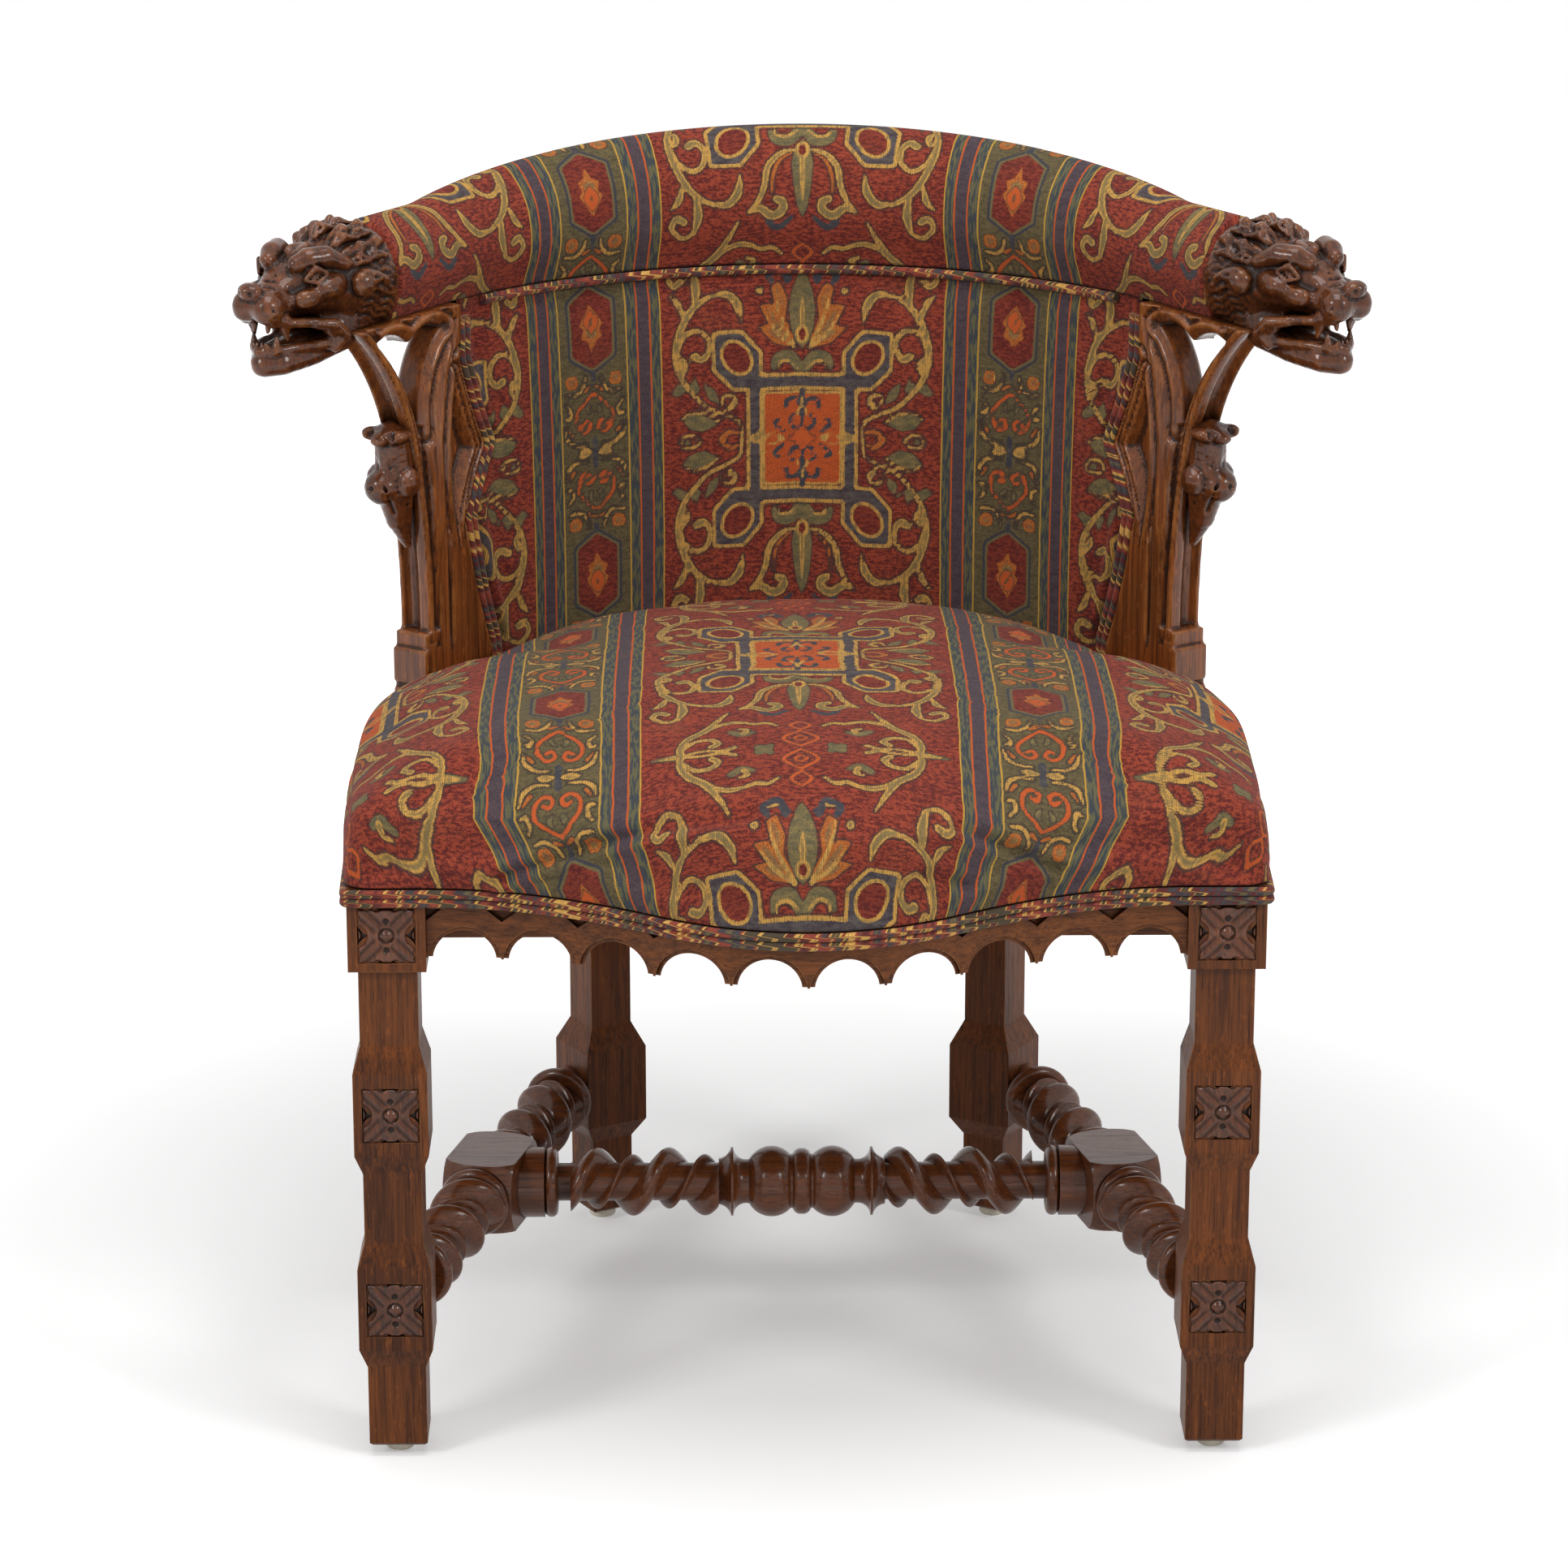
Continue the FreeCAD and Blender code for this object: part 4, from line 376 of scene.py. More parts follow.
def smooth_curve(points, step=0.6):
    """Points along a smooth curve through the given ones."""
    points = np.asarray(points, float)
    ends = np.vstack([2 * points[0] - points[1], points, 2 * points[-1] - points[-2]])
    runs = []
    for a, b, c, d in zip(ends, ends[1:], ends[2:], ends[3:]):
        count = max(2, int(np.linalg.norm(c - b) / step))
        t = np.linspace(0, 1, count, endpoint=False)[:, None]
        runs.append(through(a, b, c, d, t))
    return np.vstack(runs + [points[-1:]])


def polygon_distance(x, y, corners):
    """Signed distance to a polygon, negative inside."""
    best = np.full(x.shape, FAR ** 2)
    inside = np.zeros(x.shape, bool)
    for (ax, ay), (bx, by) in zip(corners, np.roll(corners, -1, 0)):
        ex, ey = bx - ax, by - ay
        wx, wy = x - ax, y - ay
        t = np.clip((wx * ex + wy * ey) / max(ex * ex + ey * ey, 1e-9), 0, 1)
        best = np.minimum(best, (wx - ex * t) ** 2 + (wy - ey * t) ** 2)
        crosses = (ay > y) != (by > y)
        inside ^= crosses & (x < ax + ex * (y - ay) / (ey if ey else 1e-9))
    return np.where(inside, -np.sqrt(best), np.sqrt(best))


class Yarn:
    """One colour of yarn: signed distance in millimetres to all that is drawn with it."""

    def __init__(self, name):
        self.name = name
        self.field = np.full((len(down), len(across)), FAR, np.float32)

    def copies(self, points, tall):
        """The drawn points and their mirror images that fall on the paper, with the window to fill."""
        flips = (1, -1) if tall else (1,)
        for flip in flips:
            for shift in COPY_SHIFTS:
                for side, offset in ((1, 0), (-1, 0), (-1, REPEAT)):
                    moved = np.asarray(points, float) * (side, flip) + (offset, shift)
                    low = moved.min(0) - MARGIN
                    high = moved.max(0) + MARGIN
                    cols = np.searchsorted(across, (low[0], high[0]))
                    rows = np.searchsorted(down, (low[1], high[1]))
                    if cols[0] < cols[1] and rows[0] < rows[1]:
                        yield moved, slice(*rows), slice(*cols)

    def lay(self, rows, cols, distance):
        self.field[rows, cols] = np.minimum(self.field[rows, cols], distance)

    def stroke(self, points, *radii, tall=True):
        """A curved stroke, as thick at its knots as the radii say. Tall means mirrored top to bottom too."""
        path = smooth_curve(points)
        share = np.linspace(0, 1, len(path))
        radius = np.interp(share, np.linspace(0, 1, len(radii)), radii)
        for moved, rows, cols in self.copies(path, tall):
            x, y = np.meshgrid(across[cols], down[rows])
            best = np.full(x.shape, FAR)
            for (px, py), r in zip(moved, radius):
                best = np.minimum(best, np.hypot(x - px, y - py) - r)
            self.lay(rows, cols, best)

    def fill(self, corners, tall=True):
        for moved, rows, cols in self.copies(corners, tall):
            x, y = np.meshgrid(across[cols], down[rows])
            self.lay(rows, cols, polygon_distance(x, y, moved))

    def oval(self, centre, long, short, lean, tall=True):
        turn = np.linspace(0, 2 * np.pi, 40, endpoint=False)
        a, b = long * np.cos(turn), short * np.sin(turn)
        c, s = math.cos(math.radians(lean)), math.sin(math.radians(lean))
        self.fill(np.stack([centre[0] + a * c - b * s, centre[1] + a * s + b * c], 1), tall)

    def read(self, p, q):
        """The distance at pattern points, by linear reading of the grid."""
        column = np.abs((p + REPEAT / 2) % REPEAT - REPEAT / 2) / CELL
        row = ((q + DROP / 2) % DROP) / CELL
        c0 = np.minimum(column.astype(int), len(across) - 2)
        r0 = row.astype(int) % len(down)
        r1 = (r0 + 1) % len(down)
        u, v = column - c0, row - np.floor(row)
        f = self.field
        return ((f[r0, c0] * (1 - u) + f[r0, c0 + 1] * u) * (1 - v)
                + (f[r1, c0] * (1 - u) + f[r1, c0 + 1] * u) * v)


YARNS = [Yarn(name) for name in ("gold", "amber", "olive", "strap", "patch", "oval", "orange", "blue")]
gold, amber, olive, strap, patch, oval, orange, blue = YARNS
print("point paper", len(across), "by", len(down))

# %% [markdown]
# The medallion: a square panel in a frame of crossing straps, with a chamfered lobe and a red oval at each
# corner, and a small fleur in each arm.

# %% Medallion
patch.fill([(-29, -33.5), (29, -33.5), (29, 33.5), (-29, 33.5)], tall=False)
strap.fill([(31.3, -41), (37.7, -41), (37.7, 41), (31.3, 41)], tall=False)
strap.fill([(-48, 37.2), (48, 37.2), (48, 44), (-48, 44)])
strap.fill([(63, 75.5), (44, 75.5), (31.5, 61), (31.5, 44), (38, 38), (50, 37.3), (63, 51)])
oval.oval((47.5, 58.5), 12.0, 8.6, 52)
olive.stroke([(0, 52), (0, 38), (0, 22)], 2.6, 2.4, 1.4)
blue.stroke([(0, 34), (0, 20), (0, 9)], 2.2, 1.7, 1.2)
blue.stroke([(12, 22), (11.5, 27), (6, 28.5), (2, 24), (0.5, 16)], 2.0, 1.6, 1.3)
blue.stroke([(14, 4.5), (18, 7.5), (21, 11), (17.5, 13.5)], 1.4, 1.8, 1.6)
blue.stroke([(5, 17), (9, 13.5), (7.5, 8), (3, 6)], 1.3, 1.8, 1.4)
gold.stroke([(36, 1.5), (29, 2), (21, 3.5), (14, 0.5)], 2.0, 1.1, 1.3)
gold.stroke([(28, 10), (30.5, 6), (35, 0)], 1.3, 1.1, 1.4)
gold.stroke([(4.5, 16), (1.5, 22), (0, 29)], 1.2, 1.3, 1.0)
orange.stroke([(0, 7), (3, 3.5), (0, 0)], 1.8, 2.2, 2.0)
orange.stroke([(3, 0), (9, 0.5)], 1.6, 1.2)
print("medallion drawn")

# %% [markdown]
# Palmettes stand above and below the medallion: an olive leaf between gold lobes above, and a tail
# between two curls below. They are the only part of the field that isn't the same upside down.

# %% Palmettes
olive.fill([(0, 121), (4, 114), (8, 103), (9.5, 92), (8.5, 80), (5, 69), (0, 64), (-5, 69), (-8.5, 80),
            (-9.5, 92), (-8, 103), (-4, 114)], tall=False)
amber.fill([(4.3, 64.8), (17, 85), (22.5, 108), (16.4, 112), (10.8, 99.3), (12.4, 85.9), (7, 74)], tall=False)
amber.fill([(4.3, 64.8), (20.4, 74.1), (30.5, 95), (22, 96), (15.6, 85.9), (10.5, 77)], tall=False)
amber.fill([(4.3, 64), (20.4, 68), (32, 79.5), (20.4, 81), (10.8, 74)], tall=False)
gold.stroke([(5, 65), (13, 80), (19, 98), (20.5, 108)], 1.2, 1.5, 1.3, 0.7, tall=False)
gold.stroke([(5, 64), (18, 75), (27, 90)], 1.2, 1.6, 0.7, tall=False)
gold.stroke([(0, 100), (0, 90), (0, 80)], 0.8, 2.2, 1.6, tall=False)
oval.oval((0, 74), 4.6, 2.6, 90, tall=False)
blue.stroke([(10.5, 112), (15, 122.5), (23.5, 120)], 2.6, 2.6, 1.6, tall=False)
gold.stroke([(15, 119), (21.5, 117.5)], 1.2, 0.7, tall=False)
gold.stroke([(30, 105.5), (30.6, 106.5)], 2.6, 2.2, tall=False)
olive.stroke([(2.5, 50), (9, 58.5), (18, 57.5), (21, 51)], 3.4, 4.2, 3.6, 2.0)
gold.stroke([(3.5, 50), (10, 55), (17, 54), (18.5, 49.5)], 1.0, 1.3, 1.0)
olive.fill([(0, -57), (5, -64), (7.5, -76), (6, -92), (3.5, -106), (0, -114), (-3.5, -106), (-6, -92),
            (-7.5, -76), (-5, -64)], tall=False)
gold.stroke([(0, -72), (0, -86), (0, -102)], 2.0, 1.8, 0.7, tall=False)
gold.stroke([(3, -66), (14, -68), (24, -78), (27, -92), (31.5, -102), (38.5, -110)],
            1.0, 2.0, 2.2, 2.0, 1.0, tall=False)
gold.stroke([(38.5, -110), (30, -107.5), (22, -112.5), (14.5, -109), (14, -103), (18.5, -101)],
            1.0, 3.0, 3.2, 2.6, tall=False)
amber.stroke([(7, -68), (16, -74), (21, -86), (21.5, -96)], 0.8, 1.4, 1.0, tall=False)
oval.oval((0, -66), 4.2, 2.6, 90, tall=False)
print("palmettes drawn")

# %% [markdown]
# Leafy scrolls fill the sides of the field, and a pair of C scrolls with a chain of lozenges the space
# between one medallion and the next.

# %% Scrolls and lozenges
gold.stroke([(43.8, -6), (44.9, 10.9), (54.2, 17.2), (68.7, 23.6), (79.2, 33.7), (87.7, 45.5), (91.6, 58.9),
             (90.4, 72.4), (84.8, 86.7), (76.7, 96.8), (63.9, 104.4)], 1.2, 1.3, 1.5, 2.0, 2.4, 2.6, 1.4)
gold.stroke([(64.5, 103.5), (53.5, 104), (46, 96), (43.8, 83.3)], 1.2, 2.8, 3.0, 0.7)
gold.stroke([(76.7, 96.8), (75.1, 111), (78, 124)], 1.6, 3.4, 1.6)
gold.stroke([(78, 124), (86.4, 127), (94.5, 119.5), (91, 112.5), (85.5, 115)], 1.4, 1.8, 2.0, 2.6)
gold.stroke([(95, 106), (89.5, 101), (86, 90.9)], 0.7, 2.6, 1.2)
gold.stroke([(90.4, 62.3), (86.4, 74.1), (76.7, 80), (68.7, 74.1), (67.9, 64), (72.7, 58.5), (78, 61)],
            1.2, 1.6, 1.8, 2.0, 2.8)
gold.stroke([(90.4, 57.2), (86.4, 58.9), (84.8, 52.2), (89.6, 47.1)], 1.4, 2.2, 1.2)
gold.stroke([(59, 25.3), (57.4, 31.5), (51.5, 31.5), (48.8, 26.5), (52.6, 23.5)], 1.0, 1.4, 2.2)
gold.stroke([(74, 0), (80, 4.5), (87, 3.8), (90, 0)], 1.0, 1.2, 1.1)
gold.stroke([(88, 16.8), (80, 20.6), (70.3, 18.5), (61, 12.6)], 0.8, 1.3, 1.0)
amber.stroke([(59, 1), (52.6, 5.9), (45.4, 4.2)], 2.0, 1.8, 1.2)
olive.fill([(60.7, 25.3), (68.7, 30.3), (71.5, 42), (64, 36), (61, 29)])
olive.fill([(88, 16), (80, 20), (70.3, 17.5), (60.7, 12), (71.9, 7), (81.6, 8.8)])
olive.fill([(89, 44), (84, 37), (91, 32.5), (97, 36), (93, 38)])
olive.fill([(78, 46), (74, 36), (79, 33), (82, 40)])
olive.stroke([(83, 0), (85, 0)], 2.0, 2.0)
MID = DROP / 2               # half way to the next medallion


def below(points):
    """Points measured back from half way to the next medallion."""
    return [(p, MID - q) for p, q in points]


gold.stroke(below([(76, 0), (77, 10), (72, 22), (61, 33), (53, 46), (46, 59)]), 2.2, 2.4, 2.6, 2.4, 1.8, 0.8)
gold.stroke(below([(62, 30), (54, 38), (45, 42), (36, 41), (29, 38), (21, 39), (14.5, 34)]),
            1.4, 1.8, 2.2, 1.6, 1.8, 1.0)
gold.stroke(below([(76, 7), (67, 18), (57, 18), (52.5, 12), (56.5, 8)]), 1.4, 1.8, 2.4)
gold.stroke(below([(76, 0), (64, 3), (50, 1.5), (42, 5)]), 1.6, 1.4, 2.0)
gold.stroke(below([(36, 24), (34, 29), (39, 31)]), 2.2, 1.6, 1.2)
olive.stroke(below([(44, 27), (37, 22), (30, 25)]), 2.6, 3.0, 1.6)
gold.stroke(below([(81, 0), (90, 0)]), 2.2, 0.8)
olive.stroke(below([(80, 0), (95, 0)]), 3.2, 1.0)
olive.stroke(below([(26, 3), (22, 0), (19, 5)]), 3.4, 3.6, 2.0)
orange.stroke(below([(0, 2), (11, 14), (0, 26)]), 1.1, 1.4, 1.1)
orange.stroke(below([(0, 28), (6.5, 35), (0, 42)]), 1.0, 1.3, 1.0)
orange.stroke(below([(0, 10), (4, 14), (0, 18)]), 1.0, 1.0)
blue.stroke(below([(8, 62), (17, 55), (24, 59), (22, 64)]), 1.6, 2.6, 2.4)
print("scrolls drawn")

# %% [markdown]
# The olive band carries red cartouches with a flame flower, hearts, florets and little scrolls.

# %% Band
BAND_MID = REPEAT / 2
FLORET_UP = 51.0
FLORET_ASIDE = 17.5


def band(points):
    """Points measured from the middle of the band."""
    return [(BAND_MID - t, q) for t, q in points]


patch.fill(band([(0, 119), (17.5, 108), (17.5, 68), (0, 57), (-17.5, 68), (-17.5, 108)]))
amber.fill(band([(0, 106), (5, 98), (9.5, 91), (6, 88), (8.5, 81), (3, 79), (0, 69), (-3, 79), (-8.5, 81),
                 (-6, 88), (-9.5, 91), (-5, 98)]))
orange.stroke(band([(0, 100), (3.5, 93), (0, 86)]), 1.6, 2.2, 1.6)
SMALL_MOTIFS = (
    (orange, [(0, 41.5), (7, 36), (14, 28), (14, 19.5), (8.5, 14.5), (3, 17.5), (5, 22.5), (9, 20.5)],
     (1.2, 1.4, 1.4, 1.3)),
    (gold, [(24.5, 19), (22, 10.5), (15, 6), (6, 6)], (0.8, 1.6, 1.2, 0.8)),
    (amber, [(18, 13), (22, 19)], (1.6, 0.8)),
    (blue, [(0, 0), (0, 9)], (2.0, 2.6)),
    (gold, [(3.5, 0), (8, 1), (14, 0)], (1.6, 2.0, 0.7)),
    (amber, [(17.4, 51), (17.6, 51.6)], (5.4, 5.4)),
    (gold, [(22, 43), (14, 42), (8, 47), (6, 54)], (1.0, 1.4, 1.0)),
    (blue, [(0, 47), (0, 56)], (1.2, 2.4)),
    (amber, [(6.5, 44), (2, 46.5)], (1.6, 1.0)),
    (gold, [(23, 36), (19, 31), (20, 25), (23.5, 26)], (0.9, 1.4, 1.0)),
    (olive, [(3, 28), (5, 31), (4, 34)], (1.0, 1.8, 0.8)),
)
for yarn, points, widths in SMALL_MOTIFS:
    yarn.stroke(band(points), *widths)
    yarn.stroke(band([(t, MID - q) for t, q in points]), *widths)
for up in (FLORET_UP, MID - FLORET_UP):
    oval.oval((BAND_MID - FLORET_ASIDE, up), 2.2, 2.2, 0)
print("band drawn; gold covers", round(float((gold.field < 0).mean()), 3), "of the repeat")

# %% [markdown]
# ## The cloth
# The finish reads the yarn distances from the mesh and the place in the pattern, in metres, from the UV
# map. The straight stripes need no drawing: folding the UV gives the distance from the middle of the
# band. Then the cloth is built up as it is woven: a mottled ground, the stripes, and one yarn over
# another, each with a ragged edge as wide as a thread and a dark outline where the pattern has one. Fine
# ribs run up the cloth, with painted shade in the gaps between them.

# %% Tapestry finish
RIB = 1.15                   # mm between ribs
WEFT = 0.42                  # mm between wefts
BAND_EDGE = 53.0             # mm from the middle of the band to the red field
STRIPE_SOFT = 0.25
RED_LIGHT = rgb(158, 66, 46)
RED_DARK = rgb(92, 29, 30)
OLIVE_LIGHT = rgb(110, 98, 66)
OLIVE_DARK = rgb(74, 66, 47)
GOLD_LIGHT = rgb(234, 182, 92)
GOLD_DARK = rgb(134, 88, 40)
AMBER_LIGHT = rgb(198, 122, 52)
AMBER_DARK = rgb(150, 66, 34)
ORANGE_YARN = rgb(196, 88, 40)
BLUE_YARN = rgb(58, 60, 68)
BLUE_PALE = rgb(92, 86, 84)
PURPLE = rgb(84, 71, 78)
PURPLE_DARK = rgb(58, 50, 60)
LEAF_GREEN = rgb(86, 84, 64)
LEAF_PALE = rgb(148, 126, 76)
LINE_YELLOW = rgb(196, 150, 60)
DASH_BLUE = rgb(58, 66, 72)
DASH_OLIVE = rgb(98, 96, 70)
OUTLINE = rgb(56, 48, 46)
RIB_SHADE_AND_DARK_THREAD = rgb(38, 26, 26)
DUST = rgb(128, 102, 70)


def tapestry(name):
    """The cover's cloth: stripes first, then one layer of yarn over another."""
    cloth = Finish(name)
    where = cloth.node("ShaderNodeTexCoord", out="UV")
    apart = {"Vector": where}
    p = cloth.node("ShaderNodeSeparateXYZ", None, apart, out="X") * 1000
    q = cloth.node("ShaderNodeSeparateXYZ", None, apart, out="Y") * 1000

    def uneven(wide, tall, detail, rough):
        """Noise with so many cells to the metre across and along the cloth."""
        cells = cloth.node("ShaderNodeMapping", None, {"Vector": where, "Scale": (wide, tall, 1)})
        return cloth.noise(cells, 1.0, detail, rough)

    thread = uneven(800, 1400, 1.0, 0.6)
    streak = uneven(120, 260, 3.0, 0.65)
    slub = uneven(260, 520, 2.0, 0.6)
    dash = uneven(520, 95, 1.0, 0.5)
    blotch = cloth.noise(where, 46.0, 3.0, 0.6)
    rib = (p / (RIB / 2)).fold(1.0)
    ragged = (thread - 0.5) * 2.0 + (streak - 0.5) * 1.5

    def distance(yarn):
        return cloth.node("ShaderNodeAttribute", {"attribute_name": yarn}, out="Fac")

    def inside(yarn, grow=0.0):
        """1 where a yarn shows, so many millimetres fatter than drawn."""
        return 1 - (distance(yarn) + ragged - grow).rise(-0.35, 0.35)

    def core(yarn, rim, deep):
        """0 along the edge of what is drawn with a yarn, 1 in its middle."""
        return ((thread - 0.5) * 1.3 - distance(yarn)).rise(rim, deep)

    mottle = (blotch * 0.3 + streak * 0.45 + slub + thread * 0.4 - 0.58).rise(0.36, 0.64)
    red = cloth.blend(mottle, RED_DARK, RED_LIGHT)
    ground = cloth.blend((streak * 0.5 + slub * 0.6 + thread * 0.4).rise(0.55, 0.95), OLIVE_DARK, OLIVE_LIGHT)
    out = BAND_MID - p.fold(REPEAT / 2)
    dashes = cloth.blend(dash.rise(0.46, 0.56), DASH_BLUE, DASH_OLIVE)
    purple = cloth.blend((thread * 0.6 + streak * 0.5).rise(0.42, 0.66), PURPLE_DARK, PURPLE)
    wobble = out + (streak - 0.5) * 0.8
    colour = cloth.blend(wobble.rise(BAND_EDGE - 0.5, BAND_EDGE), ground, red)
    stripes = ((26.0, BAND_EDGE, dashes), (34.6, 45.6, ORANGE_YARN), (35.9, 44.3, purple),
               (26.3, 27.5, LINE_YELLOW), (52.2, 53.2, LINE_YELLOW))
    for low, high, over in stripes:
        colour = cloth.blend(wobble.within(low, high, STRIPE_SOFT), colour, over)

    in_field = out.rise(BAND_EDGE, BAND_EDGE + 0.6)
    line = cloth.blend(rib * 0.5 + thread * 0.3, GOLD_LIGHT, GOLD_DARK)
    line = cloth.blend((dash * 0.5 + streak * 0.6).rise(0.5, 0.68) * 0.6, line, LEAF_GREEN)
    leaf_tone = cloth.blend((streak * 0.8 + thread * 0.5).rise(0.45, 0.95), LEAF_GREEN, LEAF_PALE)
    scroll = cloth.blend(core("gold", 0.7, 1.6) * 0.8, line, leaf_tone)
    flame = cloth.blend((thread + streak * 0.5).rise(0.5, 1.0), AMBER_DARK, AMBER_LIGHT)
    flame = cloth.blend(core("amber", 1.8, 4.0) * 0.7, flame, leaf_tone)
    panel = cloth.blend((thread * 0.8 + streak * 0.5).rise(0.45, 0.75), AMBER_DARK, ORANGE_YARN)
    cartouche = cloth.blend(mottle * 0.6, RED_DARK, RED_LIGHT)
    grey = cloth.blend((streak + thread * 0.3).rise(0.45, 0.85), PURPLE_DARK, BLUE_PALE)
    slate = cloth.blend(streak.rise(0.45, 0.75), BLUE_YARN, BLUE_PALE)
    dust = cloth.noise(cloth.place(), 22.0, 3.0).rise(0.55, 0.8) * 0.1
    layers = (
        (inside("gold", 1.4) * 0.75, OUTLINE),
        (inside("amber", 1.3) * 0.75, OUTLINE),
        (inside("olive", 1.0) * 0.7, OUTLINE),
        (inside("olive"), leaf_tone),
        (inside("strap", 4.4) * 0.6, OUTLINE),
        (inside("strap", 2.8), line),
        (inside("strap", 0.2), grey),
        (inside("patch", 2.2) * (1 - in_field), BLUE_YARN),
        (inside("patch", 0.2), cloth.blend(in_field, OLIVE_LIGHT, line)),
        (inside("patch", -1.6), cloth.blend(in_field, cartouche, panel)),
        (inside("oval", 2.4), line),
        (inside("oval"), cartouche),
        (inside("amber"), flame),
        (inside("orange", 1.0) * 0.6, OUTLINE),
        (inside("orange"), ORANGE_YARN),
        (inside("blue"), slate),
        (inside("gold"), scroll),
        # painted shade in the gaps between the ribs, and darker threads at random
        (rib.rise(0.6, 1.0) * 0.3 + (1 - thread.rise(0.2, 0.55)) * 0.34, RIB_SHADE_AND_DARK_THREAD),
        (dust + 0.04, DUST),
    )
    for share, over in layers:
        colour = cloth.blend(share, colour, over)

    weft = (q / WEFT).fold(1.0)
    raised = inside("gold", 0.5) * 0.4
    height = (1 - rib) * 0.55 + weft * 0.25 + thread * 0.5 + raised
    cloth.set(Base_Color=colour, Roughness=0.82 + thread * 0.12, Normal=cloth.bump(height, 0.0005, 0.7))
    cloth.set(Sheen_Weight=0.05, Sheen_Roughness=0.5, Specular_IOR_Level=0.15)
    return cloth.material


tapestry_cloth = tapestry("tapestry_cloth")
print("tapestry nodes", len(tapestry_cloth.node_tree.nodes))

# %% [markdown]
# ## Upholstery shapes
# Each pad is a grid of points worked out from the same plan as the CAD frame: a tub circle, straight
# sides and a bowed front. A grid keeps its place in the pattern, which a remeshed solid would lose, so
# the cloth simulation runs on a coarse grid and Subdivision smooths and refines the result.

# %% Helpers for pieces
TUB_Y = 185.0                # centre of the tub circle
PANEL_ANGLE = 57.3           # degrees from the middle of the back to where the arm panel touches


def piece(name, points, faces, material):
    """A new object from points in metres, smooth, with one material."""
    mesh = bpy.data.meshes.new(name)
    mesh.from_pydata(np.asarray(points, float).tolist(), [], faces)
    mesh.polygons.foreach_set("use_smooth", [True] * len(mesh.polygons))
    mesh.materials.append(material)
    mesh.update()
    return linked(name, mesh)


def settled(made):
    """The piece with its modifiers worked in as plain mesh."""
    graph = bpy.context.evaluated_depsgraph_get()
    mesh = bpy.data.meshes.new_from_object(made.evaluated_get(graph))
    old = made.data
    made.modifiers.clear()
    made.data = mesh
    bpy.data.meshes.remove(old)
    mesh.name = made.name
    return made


def points_of(made, kind="co"):
    """The points of a piece, or their normals."""
    flat = np.empty(len(made.data.vertices) * 3)
    made.data.vertices.foreach_get(kind, flat)
    return flat.reshape(-1, 3)


def set_points(made, points):
    made.data.vertices.foreach_set("co", np.asarray(points, float).ravel())
    made.data.update()


def grid_faces(rows, cols, wrap_cols=False):
    """Faces of a grid of points, joined round from the last column to the first where asked."""
    faces = []
    for near in range(0, (rows - 1) * cols, cols):
        far = near + cols
        for c in range(cols if wrap_cols else cols - 1):
            c1 = (c + 1) % cols
            faces.append((near + c, near + c1, far + c1, far + c))
    return faces


def weave(made, p, q):
    """Gives each point its place in the pattern, in millimetres, and its distance to every yarn."""
    mesh = made.data
    corner = np.empty(len(mesh.loops), np.int32)
    mesh.loops.foreach_get("vertex_index", corner)
    uv = mesh.uv_layers.new(name="pattern")
    uv.data.foreach_set("uv", np.stack([p[corner], q[corner]], 1).ravel() / 1000)
    for yarn in YARNS:
        keep(made, yarn.name, yarn.read(p, q))


def keep(made, name, values):
    """Stores a value at each point, under a name that a finish can read."""
    store = made.data.attributes.new(name, "FLOAT", "POINT")
    store.data.foreach_set("value", np.asarray(values, np.float32))


def recall(made, name):
    """Takes a stored value off the points again."""
    store = made.data.attributes[name]
    values = np.empty(len(made.data.vertices), np.float32)
    store.data.foreach_get("value", values)
    made.data.attributes.remove(store)
    return values.astype(float)


def outward(made, fill=False):
    """Turns the faces of a piece outwards, with its open edges filled first where asked."""
    form = bmesh.new()
    form.from_mesh(made.data)
    if fill:
        bmesh.ops.holes_fill(form, edges=[e for e in form.edges if e.is_boundary], sides=0)
    bmesh.ops.recalc_face_normals(form, faces=form.faces)
    form.to_mesh(made.data)
    form.free()


def in_place(made, slot, *nodes):
    """Puts a finished piece on the chair, instead of the CAD nodes that it stands for."""
    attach(made, "root")
    if nodes:
        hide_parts(*nodes)
    print(made.name, len(made.data.vertices), "points")
    return made


def smoothstep(x, low, high):
    """0 below low, 1 above high, smooth between."""
    t = np.clip((x - low) / (high - low), 0, 1)
    return t * t * (3 - 2 * t)


# %% [markdown]
# The stuffing pushes the cover outwards until the cloth is tight. Blender's Cloth does that with
# pressure, the bottom edge pinned as if tacked. The swelling is capped, so the pad can't outgrow its CAD
# solid.

# %% Stuffing by simulation
STUFF_FRAMES = 18
CLOTH_SETTINGS = {
    "quality": 6, "mass": 0.25, "tension_stiffness": 25, "compression_stiffness": 25,
    "bending_stiffness": 0.6, "use_pressure": True, "vertex_group_mass": "tacks",
}


def stuffed(made, pinned, pressure, cap):
    """Swells a coarse cover by cloth pressure, at most as far as the cap in metres."""
    before = points_of(made)
    tacks = made.vertex_groups.new(name="tacks")
    tacks.add([int(i) for i in pinned], 1.0, "REPLACE")
    cloth = made.modifiers.new("stuffing", "CLOTH")
    for key, value in CLOTH_SETTINGS.items():
        setattr(cloth.settings, key, value)
    cloth.settings.uniform_pressure_force = pressure
    cloth.settings.effector_weights.gravity = 0.0
    scene = bpy.context.scene
    for number in range(1, STUFF_FRAMES + 1):
        scene.frame_set(number)
    settled(made)
    scene.frame_set(1)
    shift = points_of(made) - before
    far = np.linalg.norm(shift, axis=1)[:, None]
    shift *= np.minimum(1, cap / np.maximum(far, 1e-9))
    set_points(made, before + shift)
    made.vertex_groups.clear()
    print("stuffing moved", round(float(far.max()) * 1000, 1), "mm at most")


